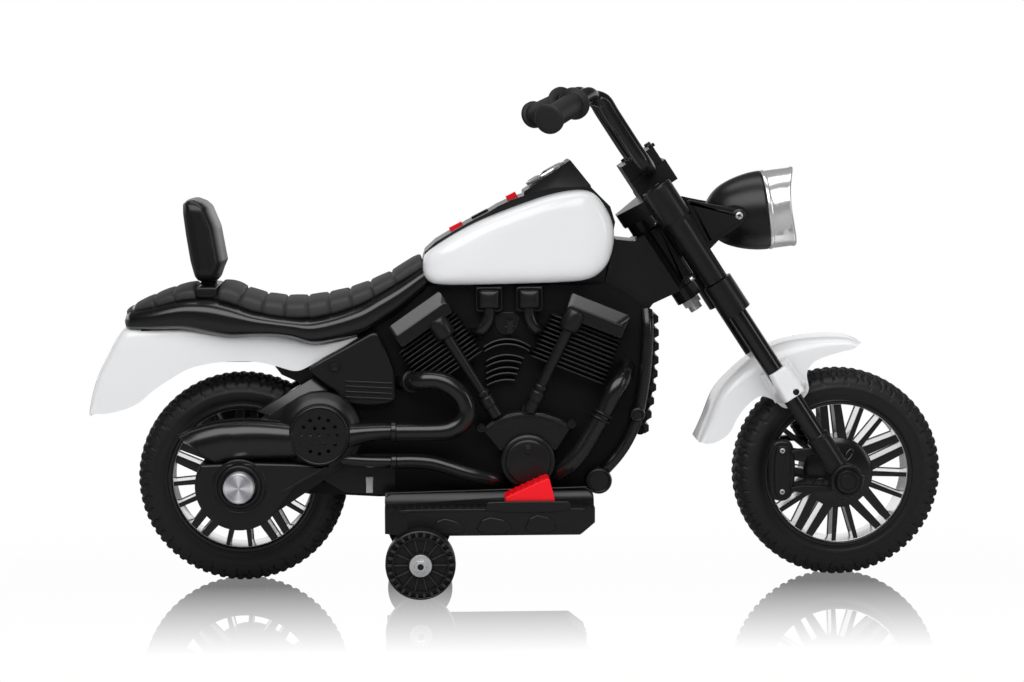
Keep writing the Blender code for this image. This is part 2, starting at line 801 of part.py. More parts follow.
LOBE_EDGE = ((79, 138), (107, 153.5), (143, 173))
LOBE = (
    (79.5, 137.5), (107, 152.8), (142.5, 172), (162, 182), (186, 135), (184, 124), (121, 125.5), (104, 111),
)
PANEL_EDGE = (
    (79, 125), (150, 61), (150, -2), (88, -2), (80, -15), (165, -20), (421, -20), (430, -10),
    (442, 8), (464, 45), (477, 89), (485, 147), (489, 205), (466, 223), (438, 235.5), (226, 235.5),
    (220, 227),
)
PANEL_POCKET = (
    (160, 140), (160, 60), (175, 5), (415, 5), (450, 50), (465, 95), (472, 150), (470, 205),
    (240, 222), (205, 195),
)
COVER_START = SHELL_HALF + GAP
COVER_END = SHELL_HALF + COVER_DEPTH
PANEL_FACE = COVER_START + PANEL_DEPTH
LOBE_FACE = 0.070
SECTOR_FACE = 0.074
BOX_FACE = 0.0765
FIN_FACE = 0.078
HEAD_COVER_FACE = 0.085
ROOT = 0.002
REAR_HEAD, REAR_LEAN = (217, 197), math.radians(35)
FRONT_HEAD, FRONT_LEAN = (428, 200), math.radians(-22)
BOX_REARS = (283, 331)
BOX_BASE = 205
BOX_SIZE = (34 * MM, 29 * MM)


def engine_panel(side):
    """One side of the engine: a hollow panel that carries cylinders, pipes and covers."""
    outline = [*outline_of(PANEL_EDGE), *reversed(under_seat(150, 219, 0.001)),
               *outline_of(reversed(LOBE_EDGE))]
    base = prism(outline, *span(side, COVER_START, PANEL_FACE))
    pocket = prism(outline_of(PANEL_POCKET), *span(side, SHELL_HALF - 0.01, PANEL_FACE - SHELL_WALL))
    root = PANEL_FACE - ROOT
    lobe = prism(outline_of(LOBE), *span(side, root - ROOT / 2, LOBE_FACE))
    steps = [minus(pocket), plus(lobe)]
    steps += cylinder_shapes(side, REAR_HEAD, REAR_LEAN, root)
    steps += cylinder_shapes(side, FRONT_HEAD, FRONT_LEAN, root)
    steps += crank_shapes(side, root)
    steps += pipe_shapes(side)
    low, high = span(side, root, BOX_FACE)
    for rear in BOX_REARS:
        x, z = body(rear, BOX_BASE)
        steps.append(plus(box((x, low, z), (x + BOX_SIZE[0], high, z + BOX_SIZE[1]))))
    steps += switch_seat(side, root)
    steps.append(minus(prism(swingarm_outline(GAP), *span(side, 0.03, COVER_END + 0.02))))
    piece(f"engine_panel_{SIDE_NAMES[side]}", "satin_black", base, *steps)


FIN_COUNT = 5
FIN_PITCH = 13 * MM
FIN_THICKNESS = 6 * MM
FIN_HALF = 34 * MM
BARREL_HALF = 26.8 * MM
HEAD_COVER = (36 * MM, 13 * MM)
PUSH_ROD_RADIUS = 6 * MM
PUSH_ROD_PLACE = 20 * MM
PUSH_ROD_TAIL = 8 * MM


def cylinder_shapes(side, centre, lean, face):
    """One finned cylinder: comb-shaped fins, a head cover and a push rod tube."""
    cx, cz = body(*centre)
    axis = Vector((math.sin(lean), -math.cos(lean)))
    across = Vector((math.cos(lean), math.sin(lean)))

    def local(u, v):
        point = Vector((cx, cz)) + across * u + axis * v
        return (point.x, point.y)

    start = HEAD_COVER[1] + 3 * MM
    edges = []
    for i in range(FIN_COUNT):
        top = start + i * FIN_PITCH
        edges += [(BARREL_HALF, top), (FIN_HALF, top),
                  (FIN_HALF, top + FIN_THICKNESS), (BARREL_HALF, top + FIN_THICKNESS)]
    comb = [local(u, v) for u, v in edges] + [local(-u, v) for u, v in reversed(edges)]
    comb = [local(BARREL_HALF, 0), *comb, local(-BARREL_HALF, 0)]
    fins = prism(comb, *span(side, face, FIN_FACE))
    width, depth = HEAD_COVER
    corners = [local(-width, -depth), local(width, -depth), local(width, depth), local(-width, depth)]
    cover = prism(corners, *span(side, face + ROOT / 4, HEAD_COVER_FACE))
    rod_side = math.copysign(PUSH_ROD_PLACE, lean)
    rod_y = side * (FIN_FACE - ROOT)
    top = local(rod_side, HEAD_COVER[1] / 2)
    end = local(rod_side * 0.9, start + FIN_COUNT * FIN_PITCH + PUSH_ROD_TAIL)
    push_rod = rod((top[0], rod_y, top[1]), (end[0], rod_y, end[1]), PUSH_ROD_RADIUS, sides=8)
    return [plus(fins), plus(cover), plus(push_rod)]


CRANK_PLACE = (345, 30)
CRANK_RADIUS = 32.8 * MM
CRANK_FACE = 0.0885
SECTOR_RADIUS = 69 * MM
SECTOR_START, SECTOR_END = math.radians(28), math.radians(152)
SECTOR_FOOT = ((320, 12), (372, 12))


def crank_shapes(side, face):
    centre = body(*CRANK_PLACE)
    fan = [*arc(centre, SECTOR_RADIUS, SECTOR_START, SECTOR_END, 8), *outline_of(SECTOR_FOOT)]
    sector = prism(fan, *span(side, face, SECTOR_FACE))
    cover = disc(centre, *span(side, face, CRANK_FACE), CRANK_RADIUS)
    return [plus(sector), plus(cover)]


UPPER_PIPE_RADIUS = 11.5 * MM
LOWER_PIPE_RADIUS = 8.5 * MM
FRONT_PIPE_RADIUS = 11 * MM
DOWN_TUBE_RADIUS = 7.5 * MM
KNOB_INNER, KNOB_FACE = 0.050, 0.070
UPPER_PIPE = (
    (205, 122, 0.056), (207, 121, 0.078), (219, 125, 0.0885), (236, 125, 0.0885), (253, 118, 0.0885),
    (268, 103, 0.0885), (271, 86, 0.0885), (262, 72, 0.0885), (244, 63, 0.0885),
    (214, 63, 0.0885), (187.5, 63, 0.0885),
)
LOWER_PIPE = (
    (187.5, 27, 0.0835), (208, 27, 0.0835), (229, 25, 0.0835), (259, 16, 0.0835), (289, 7, 0.080),
    (312, 1, 0.066), (322, -1, 0.050),
)
FRONT_PIPE = (
    (465, 132, 0.048), (461, 126, 0.070), (449, 112, 0.080), (435, 82, 0.080), (418, 53, 0.080),
    (401, 28, 0.080), (380, 8, 0.070), (368, 0, 0.048),
)
DOWN_TUBE = (
    (490, 199, 0.052), (490, 175, 0.059), (489, 147, 0.059), (481, 89, 0.059), (466, 47, 0.059),
    (442, 15, 0.059), (431, 3, 0.052),
)
KNOBS = ((478, 79, 9.4), (433, 0, 13))


def pipe_shapes(side):
    """The pipes, each through points ahead of and above the rear axle and out from the middle."""
    def placed(points):
        return [(body(x, z)[0], side * y, body(x, z)[1]) for x, z, y in points]

    upper = tube(placed(UPPER_PIPE), UPPER_PIPE_RADIUS, steps=1, roundness=2)
    lower = tube(placed(LOWER_PIPE), LOWER_PIPE_RADIUS, steps=1, roundness=1)
    front = tube(placed(FRONT_PIPE), FRONT_PIPE_RADIUS, steps=1, roundness=2)
    down = tube(placed(DOWN_TUBE), DOWN_TUBE_RADIUS, steps=1, roundness=1)
    steps = [plus(upper), plus(lower), plus(front), plus(down)]
    for x, z, radius in KNOBS:
        knob = disc(body(x, z), *span(side, KNOB_INNER, KNOB_FACE), radius * MM, sides=12)
        steps.append(plus(knob))
    return steps


SWITCH_PLACE = (324.5, 186)
SWITCH_SIZE = (7 * MM, 16 * MM)
SWITCH_TILT = math.radians(7)
SWITCH_FACE = 0.068
SWITCH_PIN_Y = SWITCH_FACE - 0.003
SWITCH_PIN_RADIUS = 0.0010
SWITCH_PIN_REACH = 0.0062
SWITCH_ROOM = 0.0006
SWITCH_THICKNESS = 0.005


def switch_seat(side, face):
    """The raised seat of the power switch, with its pocket on the right side."""
    x, z = body(*SWITCH_PLACE)
    low, high = span(side, face, SWITCH_FACE)
    width, height = SWITCH_SIZE
    seat = box((x - width, low, z - 0.8 * height), (x + width, high, z + 1.2 * height))
    steps = [plus(seat)]
    if side == RIGHT:
        room = SWITCH_ROOM
        low, high = span(side, SWITCH_FACE - 0.012, SWITCH_FACE + 0.01)
        pocket = box((x - width / 2 - room, low, z - height / 2 - room),
                     (x + width / 2 + room, high, z + height / 2 + room))
        steps += [minus(pocket), minus(switch_pin(RUNNING, SWITCH_PIN_REACH + 0.0008))]
    return steps


def switch_pin(extra, reach):
    """The pin that the power switch rocks on, or the wider hole for it."""
    x, z = body(*SWITCH_PLACE)
    start, end = (x - reach, -SWITCH_PIN_Y, z), (x + reach, -SWITCH_PIN_Y, z)
    return rod(start, end, SWITCH_PIN_RADIUS + extra, sides=12)


def power_switch():
    x, z = body(*SWITCH_PLACE)
    width, height = SWITCH_SIZE
    centre = Vector((x, -SWITCH_PIN_Y, z))
    lever = block(centre, (width, SWITCH_THICKNESS, height - 0.001))
    tilt = Matrix.Rotation(SWITCH_TILT, 4, "X")
    lever.data.transform(Matrix.Translation(centre) @ tilt @ Matrix.Translation(-centre))
    pivot = switch_pin(0, SWITCH_PIN_REACH)
    piece("power_switch", "satin_black", lever, plus(pivot), on="power_switch_axis")


TANK_CENTRE = (331, 292)
TANK_LAYERS = ((0, 1), (0.45, 0.99), (0.72, 0.94), (0.90, 0.84), (1.0, 0.66))
TANK_WALL_SHARE = 0.05
TANK_OUTLINE = (
    (222, 272), (221, 253), (225, 244), (235, 237), (284, 237), (339, 238), (394, 239.5), (418, 242),
    (432, 249), (443, 262), (449, 282), (450, 301), (445, 319), (434, 337), (423, 347), (409, 349),
    (390, 347), (368, 342), (339, 332), (312, 322), (285, 311), (257, 296), (235, 282),
)


def tank_panel(side):
    """A domed white side panel, hollow towards the middle."""
    inner, outer = SHELL_HALF + GAP, TANK_HALF
    depth = outer - inner
    outline = outline_of(TANK_OUTLINE)
    centre = body(*TANK_CENTRE)
    layers, hollow = [], []
    for share, scale in TANK_LAYERS:
        y = inner + share * depth
        layers.append((side * y, scale))
        hollow.append((side * (y - SHELL_WALL), scale - TANK_WALL_SHARE))
    panel = dome(outline, layers, centre)
    piece(f"tank_panel_{SIDE_NAMES[side]}", "white", panel, minus(dome(outline, hollow, centre)))


CONSOLE_TOP = (
    (223, 275), (236, 287), (256, 299), (275, 310), (297, 321), (312, 330), (327, 337), (351, 345),
    (379, 352), (423, 353), (430, 346), (447, 329), (453, 310),
)
POD_OUTLINE = ((343, 341), (343, 347), (399, 385), (424, 354), (424, 349))
POD_HALF = 0.036
CONSOLE_ROOF = 0.012
CONSOLE_MOUTH_MARGIN = 12
BUTTONS = {
    "start_button": ((330, 338.3), (13 * MM, 14 * MM), 0.0050, "red"),
    "sound_button": ((291, 317.6), (22 * MM, 15 * MM), 0.0030, "satin_black"),
}
BUTTON_DEPTH = 0.008
BUTTON_SPACE = 0.0035
BUTTON_POCKET_REACH = 0.010
ROCKER_PLACE = (262, 302.3)
ROCKER_SIZE = (17 * MM, 12 * MM)
ROCKER_THICKNESS = 0.006
ROCKER_POCKET_DEPTH = 0.018
ROCKER_ROOM = 0.0006
ROCKER_PIN_DROP = 0.001
ROCKER_PIN_RADIUS = 0.0015
ROCKER_PIN_REACH = 0.0025


def slope_vectors():
    """Along and out of the sloping console top."""
    along = Vector((math.cos(CONSOLE_SLOPE), 0, math.sin(CONSOLE_SLOPE)))
    outward = Vector((-math.sin(CONSOLE_SLOPE), 0, math.cos(CONSOLE_SLOPE)))
    return along, outward


def rocker_pin():
    """The middle of the direction switch's pin, just under the console top."""
    x, z = body(*ROCKER_PLACE)
    return Vector((x, 0, z)) - slope_vectors()[1] * ROCKER_PIN_DROP


def tank_console():
    floor = TANK_FLOOR + GAP / MM
    bottom = [(NECK_REAR - 0.5, floor), (CONSOLE_REAR, floor)]
    console = prism(outline_of([*CONSOLE_TOP, *bottom]), -SHELL_HALF, SHELL_HALF)
    pod = prism(outline_of(POD_OUTLINE), -POD_HALF, POD_HALF)
    room = inset(outline_of([*CONSOLE_TOP, *bottom]), CONSOLE_ROOF)
    inside = SHELL_HALF - SHELL_WALL
    rear_x, floor_z = body(CONSOLE_REAR + CONSOLE_MOUTH_MARGIN, floor - 5)
    front_x, top_z = body(NECK_REAR - CONSOLE_MOUTH_MARGIN, floor + 14)
    mouth = box((rear_x, -inside, floor_z), (front_x, inside, top_z))
    hollow = prism(room, -inside, inside)
    steps = [plus(pod), minus(hollow), minus(mouth)]
    _, outward = slope_vectors()
    for place, size, _, _ in BUTTONS.values():
        x, z = body(*place)
        centre = Vector((x, 0, z)) - outward * (BUTTON_DEPTH / 2)
        room_size = (size[0] + 2 * GAP, size[1] + 2 * GAP, BUTTON_DEPTH + BUTTON_POCKET_REACH)
        steps.append(minus(block(centre + outward * BUTTON_POCKET_REACH / 2, room_size, -CONSOLE_SLOPE)))
    length, width = ROCKER_SIZE
    pocket = (length + 2 * ROCKER_ROOM, width + 2 * GAP, ROCKER_POCKET_DEPTH)
    middle = rocker_pin() + outward * ROCKER_THICKNESS / 2
    steps.append(minus(block(middle, pocket, -CONSOLE_SLOPE)))
    reach = Vector((0, width / 2 + ROCKER_PIN_REACH + 0.0005, 0))
    hole = rod(rocker_pin() - reach, rocker_pin() + reach, ROCKER_PIN_RADIUS + RUNNING, sides=12)
    steps.append(minus(hole))
    piece("tank_console", "satin_black", console, *steps)


def console_buttons():
    _, outward = slope_vectors()
    for name, (place, size, height, finish) in BUTTONS.items():
        x, z = body(*place)
        bottom = BUTTON_DEPTH - BUTTON_SPACE
        centre = Vector((x, 0, z)) + outward * ((height - bottom) / 2)
        key = block(centre, (size[0], size[1], height + bottom), -CONSOLE_SLOPE)
        piece(name, finish, key, on=f"{name}_axis")
    length, width = ROCKER_SIZE
    pin = rocker_pin()
    key = block(pin + outward * ROCKER_THICKNESS / 3, (length, width, ROCKER_THICKNESS), -CONSOLE_SLOPE)
    reach = Vector((0, width / 2 + ROCKER_PIN_REACH, 0))
    pivot = rod(pin - reach, pin + reach, ROCKER_PIN_RADIUS, sides=12)
    piece("direction_switch", "red", key, plus(pivot), on="direction_switch_axis")


RADIATOR_TOP, RADIATOR_BOTTOM = (499, 199), (486, 49)
RADIATOR_BACK = ((471, 58), (476, 78), (482, 113), (485, 173), (487, 197))
RADIATOR_BULGE = 6
BAR_SHAPE = ((1, 1), (6, 4), (6, 11), (1, 14))


def radiator_grille():
    """A plate of round bars ahead of the body, between the down tubes."""
    rows = []
    top, bottom = Vector(RADIATOR_TOP), Vector(RADIATOR_BOTTOM)
    for i in range(RADIATOR_BARS):
        start = top.lerp(bottom, i / RADIATOR_BARS)
        bulge = RADIATOR_BULGE * math.sin(math.pi * (i + 0.5) / RADIATOR_BARS)
        rows += [(start.x + bulge + ahead, start.y - down) for ahead, down in BAR_SHAPE]
    outline = outline_of([*RADIATOR_BACK, *rows])
    grille = prism(outline, -RADIATOR_HALF, RADIATOR_HALF)
    core = prism(inset(core_outline(), -GAP), -0.05, 0.05)
    piece("radiator_grille", "satin_black", grille, minus(core))


def seat_ring(x, half, low, high, chamfer):
    px, z0 = body(x, low)
    z1 = body(x, high)[1]
    edge = half - chamfer
    return [(px, -edge, z0), (px, edge, z0), (px, half, z0 + chamfer), (px, half, z1 - chamfer),
            (px, edge, z1), (px, -edge, z1), (px, -half, z1 - chamfer), (px, -half, z0 + chamfer)]


SEAT_RIM = 0.009
SEAT_FLOOR = 0.003
SEAT_CHAMFER = 0.004
SEAT_TIP_RISE = 2
PAD_EDGE = 0.004
PAD_TIP = 6
PAD_CROWN = 3
PAD_SECTION = (
    (1.0, 0), (1.0, 0.45), (0.90, 0.88), (0.55, 1.0), (-0.55, 1.0), (-0.90, 0.88), (-1.0, 0.45), (-1.0, 0),
)


def seat_base():
    rings, room = [], []
    last = len(SEAT_STATIONS) - 1
    for i, (x, under, rim_height, _, half) in enumerate(SEAT_STATIONS):
        rings.append(seat_ring(x, half * MM, under, rim_height, SEAT_CHAMFER))
        shift = {0: SEAT_RIM / MM, last: -SEAT_RIM / MM}.get(i, 0)
        floor = under + SEAT_FLOOR / MM + (SEAT_TIP_RISE if i == last else 0)
        room.append(seat_ring(x + shift, half * MM - SEAT_RIM, floor, rim_height + 12, SEAT_CHAMFER / 4))
    piece("seat_base", "gloss_black", loft(rings), minus(loft(room)))


def pad_ring(x, half, low, high):
    px, z0 = body(x, low)
    z1 = body(x, high)[1]
    return [(px, half * share, z0 + (z1 - z0) * up) for share, up in PAD_SECTION]


STEM_REAR, STEM_FRONT = -49, -27
STEM_HALF = 0.020


def seat_pad():
    rings = []
    for x, _, rim_height, top, half in SEAT_STATIONS:
        shift = PAD_TIP if x == SEAT_STATIONS[0][0] else 0
        low = rim_height + GAP / MM + shift / 2
        rings.append(pad_ring(x + shift, half * MM - PAD_EDGE, low, top + PAD_CROWN))
    low_x, low_z = body(STEM_REAR, 200)
    high_x, high_z = body(STEM_FRONT, 260)
    slot = box((low_x - GAP, -STEM_HALF - GAP, low_z), (high_x + GAP, STEM_HALF + GAP, high_z))
    piece("seat_pad", "satin_black", loft(rings), minus(slot))


BACKREST_OUTLINE = (
    (-66, 334), (-52, 343), (-39, 339), (-30, 327), (-22, 303), (-15, 268), (-18, 256), (-26, 247),
    (-51, 246.5), (-58, 258), (-63, 297),
)
BACKREST_HALF = 0.057


def backrest():
    shell = prism(outline_of(BACKREST_OUTLINE), -BACKREST_HALF, BACKREST_HALF)
    bottom = seat_height(1, STEM_REAR) + SEAT_FLOOR / MM + GAP / MM
    low_x, low_z = body(STEM_REAR, bottom)
    high_x, high_z = body(STEM_FRONT, 262)
    stem = box((low_x, -STEM_HALF, low_z), (high_x, STEM_HALF, high_z))
    piece("backrest", "satin_black", shell, plus(stem))


REAR_FENDER_OUTLINE = (
    (-145, 179), (-158, 156), (-171, 130), (-178, 108), (-182, 85), (-178, 83), (-161, 85), (-142, 89),
    (-123, 97), (-106, 111), (-87, 124), (-62, 138), (-34, 145), (-4, 147), (21, 146), (43, 141),
    (65, 135),
)
REAR_FENDER_INSIDE = (
    (-145, 230), (-141, 179), (-154, 156), (-167, 130), (-174, 108), (-177, 85), (-177, 60), (200, 60),
    (200, 230),
)


def rear_fender():
    top = list(reversed(under_seat(-136, 142)))
    edge = [body(x, z + 1) for x, z in LOBE_EDGE]
    outline = [*outline_of(REAR_FENDER_OUTLINE), *edge, *top]
    half = TAIL_HALF + GAP + REAR_FENDER_WALL
    guard = prism(outline, -half, half)
    inside = prism(outline_of(REAR_FENDER_INSIDE), -TAIL_HALF - GAP, TAIL_HALF + GAP)
    piece("rear_fender", "white", guard, minus(inside))


TEARDROP_TIP = ((107, 22), (64, 28), (24, 29.5), (3, 28), (-20, 22))


def teardrop_outline():
    """The raised cover around the rear axle, drawn to a tip under the exhaust."""
    around = arc(REAR_AXLE, TEARDROP_RADIUS, math.radians(157), math.radians(312), 12)
    return around + outline_of(TEARDROP_TIP)


MUFFLER_OUTLINE = (
    (-73, 61), (-56, 70), (-27, 77), (7, 80), (41, 78), (63, 76), (110, 76), (150, 75.5),
    (186.7, 75.5), (186.7, 18.5), (150, 17.5), (130, 20), (107, 23), (66, 31), (24, 32), (3, 31),
    (-19, 26),
)


def swingarm_cover(side):
    outline = swingarm_outline()
    cover = prism(outline, *span(side, COVER_START, COVER_END))
    pocket = prism(inset(outline, COVER_WALL), *span(side, COVER_START - 0.01, COVER_END - COVER_WALL))
    raised = prism(teardrop_outline(), *span(side, COVER_END - 0.001, TEARDROP_FACE))
    boss_inner = HUB_HALF + GAP if side == RIGHT else gear_plate_end() + GAP
    boss = disc(REAR_AXLE, *span(side, boss_inner, COVER_END), AXLE_BOSS_RADIUS)
    bore = disc(REAR_AXLE, *span(side, 0.02, 0.2), AXLE_RADIUS + RUNNING)
    steps = [minus(pocket), plus(raised), plus(boss)]
    if side == LEFT:
        motor = gear_places()[1]
        steps.append(minus(disc(motor, *span(side, 0.05, 0.2), MOTOR_RADIUS + GAP)))
    steps.append(minus(bore))
    piece(f"swingarm_cover_{SIDE_NAMES[side]}", "satin_black", cover, *steps)


def speaker_place():
    return (REAR_AXLE[0] + SPEAKER_PLACE[0], REAR_AXLE[1] + SPEAKER_PLACE[1])


EXHAUST_STEP = 0.004
EXHAUST_CHAMFER = 0.006
EXHAUST_WALL = 0.005
EXHAUST_FRONT = 187
CLEAR_OF_TEARDROP = (
    (-60, -90), (250, -90), (250, 17), (187, 17), (107, 23), (64, 29.2), (24, 30.6), (3, 29.4),
    (-20, 24), (-60, 20),
)
GRILLE_BACK = 0.0955


def exhaust_cover(side):
    inner = COVER_END + GAP
    outline = outline_of(MUFFLER_OUTLINE)
    muffler = prism(outline, *span(side, inner, EXHAUST_FACE - EXHAUST_STEP))
    crest_low = EXHAUST_FACE - EXHAUST_STEP - ROOT
    crest = prism(inset(outline, EXHAUST_CHAMFER), *span(side, crest_low, EXHAUST_FACE))
    place = speaker_place()
    housing_end = EXHAUST_FACE - EXHAUST_CHAMFER - 0.0005
    housing = disc(place, *span(side, inner + 0.0005, housing_end), SPEAKER_HOUSING_RADIUS,
                   sides=BIG_ROUND)
    keep_clear = prism(outline_of(CLEAR_OF_TEARDROP), *span(side, 0.05, 0.12))
    front_x = body(EXHAUST_FRONT, 0)[0]
    front = box((front_x, -0.2, 0), (front_x + 0.1, 0.2, 0.4))
    steps = [plus(housing), plus(crest), minus(keep_clear), minus(front)]
    pocket = prism(inset(outline, EXHAUST_WALL), *span(side, inner - 0.01, EXHAUST_FACE - EXHAUST_WALL))
    steps.append(minus(pocket))
    if side == RIGHT:
        seat = disc(place, *span(side, GRILLE_BACK, 0.12), GRILLE_RADIUS + GAP, sides=BIG_ROUND)
        hole = disc(place, *span(side, inner - 0.01, 0.12), GRILLE_RADIUS - 0.003, sides=BIG_ROUND)
        steps += [minus(seat), minus(hole)]
    else:
        plate = disc(place, *span(side, GRILLE_BACK + GAP, EXHAUST_FACE), GRILLE_RADIUS, sides=BIG_ROUND)
        steps.append(plus(plate))
    piece(f"exhaust_cover_{SIDE_NAMES[side]}", "satin_black", muffler, *steps)


GRILLE_HOLE_RADIUS = 0.00195
GRILLE_RINGS = ((0, 1), (0.0106, 6), (0.0214, 12))


def speaker_grille():
    place = speaker_place()
    holes = []
    for radius, count in GRILLE_RINGS:
        for i in range(count):
            turn = 2 * math.pi * i / count
            centre = (place[0] + radius * math.cos(turn), place[1] + radius * math.sin(turn))
            holes.append(arc(centre, GRILLE_HOLE_RADIUS, 0, 2 * math.pi, 6)[:-1])
    outline = arc(place, GRILLE_RADIUS, 0, 2 * math.pi, BIG_ROUND)[:-1]
    plate = prism(outline, *span(RIGHT, GRILLE_BACK + GAP, EXHAUST_FACE + 0.001), holes)
    piece("speaker_grille", "satin_black", plate)


SPEAKER_RADIUS = 0.0275
SPEAKER_MAGNET_RADIUS = 0.0150
SPEAKER_FLANGE = 0.0025


def speaker():
    x, z = speaker_place()
    face, back = GRILLE_BACK - 0.0005, COVER_END + GAP
    cone = [(0, face), (SPEAKER_RADIUS, face), (SPEAKER_RADIUS, face - SPEAKER_FLANGE),
            (SPEAKER_MAGNET_RADIUS, 0.0800), (SPEAKER_MAGNET_RADIUS, back), (0, back)]
    piece("speaker", "satin_black", turned(cone, (x, 0, z), (0, -1, 0)))


def rear_axle_pieces():
    end = TEARDROP_FACE + REAR_AXLE_END
    piece("rear_axle", "steel", disc(REAR_AXLE, -end, end, AXLE_RADIUS))
    for side in (RIGHT, LEFT):
        cap = disc(REAR_AXLE, *span(side, TEARDROP_FACE + GAP, TEARDROP_FACE + REAR_CAP_DEPTH),
                   REAR_CAP_RADIUS)
        blind = disc(REAR_AXLE, *span(side, TEARDROP_FACE - 0.01, end + GAP), AXLE_RADIUS + GAP)
        piece(f"rear_hub_cap_{SIDE_NAMES[side]}", "steel", cap, minus(blind))


def inside_pieces():
    length, width, height = BATTERY_SIZE
    x = REAR_AXLE_X + BATTERY_X
    floor = AXLE_HEIGHT + BODY_FLOOR + SHELL_WALL + GAP
    battery = box((x - length / 2, -width / 2, floor), (x + length / 2, width / 2, floor + height))
    piece("battery", "satin_black", battery)
    top = floor + height + GAP
    length, width, height = CONTROL_BOX_SIZE
    control = box((x - length / 2, -width / 2, top), (x + length / 2, width / 2, top + height))
    piece("control_box", "board_green", control)


# Footboards, pedal and training wheels


def pedal_room():
    """Y range of the foot pedal, on the right footboard."""
    centre = (BOARD_OUTER + PEDAL_INNER_EDGE) / 2
    return centre - PEDAL_WIDTH / 2, centre + PEDAL_WIDTH / 2


BOARD_TOP = AXLE_HEIGHT + BODY_FLOOR - GAP
TREAD_HEIGHT = BOARD_TOP - TREAD_DROP


def footboard(side):
    top, tread = BOARD_TOP, TREAD_HEIGHT
    bottom = top - BOARD_HEIGHT
    inner, outer = BOARD_INNER, BOARD_OUTER
    lip_outer = LIP_INNER + LIP_WIDTH
    section = [(inner, bottom), (inner, top), (LIP_INNER, top), (LIP_INNER, tread + BOARD_LIP),
               (lip_outer, tread + BOARD_LIP), (lip_outer + LIP_SLOPE, tread), (outer, tread),
               (outer, bottom)]
    section = [(side * y, z) for y, z in section]
    rear, front = REAR_AXLE_X + BOARD_REAR, REAR_AXLE_X + BOARD_FRONT
    board = cross_prism(section, rear, front)
    nose_top = bottom + BOARD_NOSE_HEIGHT
    nose = [(front + 0.01, bottom - 0.001), (front - BOARD_NOSE, bottom - 0.001),
            (front + 0.0001, nose_top), (front + 0.01, nose_top)]
    corner = prism(nose, -0.2, 0.2)
    wall = SHELL_WALL
    steps = [minus(corner)]
    pedal_rear = REAR_AXLE_X + PEDAL_REAR
    rooms = [(rear + wall, front - BOARD_NOSE - 0.002)]
    if side == RIGHT:
        rooms = [(rear + wall, pedal_rear - 0.010),
                 (pedal_rear + PEDAL_LENGTH + 0.008, front - BOARD_NOSE - 0.002)]
    for low_x, high_x in rooms:
        low_y, high_y = span(side, inner + wall, outer - wall)
        steps.append(minus(box((low_x, low_y, bottom - 0.01), (high_x, high_y, tread - wall))))
    if side == RIGHT:
        near, far = pedal_room()
        pocket = box((pedal_rear - 0.004, -far - GAP, tread - PEDAL_ROOM_DEPTH),
                     (pedal_rear + PEDAL_LENGTH + 0.003, -near + GAP, tread + 0.01))
        reach = PEDAL_PIN_REACH + 0.0005
        hole = disc(pedal_pin(), -far - reach, -near + reach, PEDAL_PIN_RADIUS + RUNNING, sides=12)
        steps += [minus(pocket), minus(hole)]
    piece(f"footboard_{SIDE_NAMES[side]}", "satin_black", board, *steps)


def pedal_pin():
    return (REAR_AXLE_X + PEDAL_REAR + PEDAL_PIN_AHEAD, TREAD_HEIGHT - PEDAL_PIN_DROP)


PEDAL_HEEL = 0.017
PEDAL_CREST = (0.050, 0.040)
PEDAL_FOOT = 0.0075


def foot_pedal():
    near, far = pedal_room()
    rear, tread = REAR_AXLE_X + PEDAL_REAR, TREAD_HEIGHT
    wedge = [(rear, tread - PEDAL_FOOT), (rear, tread + PEDAL_HEEL),
             (rear + PEDAL_CREST[0], tread + PEDAL_CREST[1]), (rear + PEDAL_LENGTH, tread + 0.002),
             (rear + 0.012, tread - 0.0015), (rear + 0.007, tread - PEDAL_FOOT)]
    plate = prism(wedge, -far, -near)
    pin = disc(pedal_pin(), -far - PEDAL_PIN_REACH, -near + PEDAL_PIN_REACH, PEDAL_PIN_RADIUS, sides=12)
    piece("foot_pedal", "red", plate, plus(pin), on="foot_pedal_axis")


def training_place():
    return (REAR_AXLE_X + TRAINING_X, TRAINING_RADIUS)


def training_wheels():
    place = training_place()
    x, z = place
    end = TRAINING_INNER + TRAINING_WIDTH + BAR_END
    axle = disc(place, -end, end, BAR_AXLE_RADIUS)
    steps = []
    for side in (RIGHT, LEFT):
        low, high = span(side, STRUT_INNER, STRUT_OUTER)
        steps.append(plus(box((x - STRUT_HALF, low, z - 0.009), (x + STRUT_HALF, high, BOARD_TOP))))
        spacer = disc(place, *span(side, STRUT_OUTER - ROOT, TRAINING_INNER - GAP), SPACER_RADIUS)
        outside = TRAINING_INNER + TRAINING_WIDTH + GAP
        washer = disc(place, *span(side, outside, outside + WASHER_THICKNESS), WASHER_RADIUS)
        nut = disc(place, *span(side, outside + 0.001, end - ROOT), AXLE_NUT_RADIUS, sides=6)
        steps += [plus(spacer), plus(washer), plus(nut)]
    piece("stabiliser_bar", "steel", axle, *steps)
    ring = TRAINING_RADIUS / math.cos(math.pi / BIG_ROUND)
    for side in (RIGHT, LEFT):
        low, high = span(side, TRAINING_INNER, TRAINING_INNER + TRAINING_WIDTH)
        bore, bevel = BAR_AXLE_RADIUS + RUNNING, TRAINING_BEVEL
        profile = [(bore, high), (ring - bevel, high), (ring, high - bevel), (ring, low + bevel),
                   (ring - bevel, low), (bore, low)]
        wheel = turned(profile, (x, 0, z), sides=BIG_ROUND, closed=True, start=math.pi / BIG_ROUND)
        name = f"training_wheel_{SIDE_NAMES[side]}"
        piece(name, "satin_black", wheel, on=f"{name}_axis")


# Fork and steering


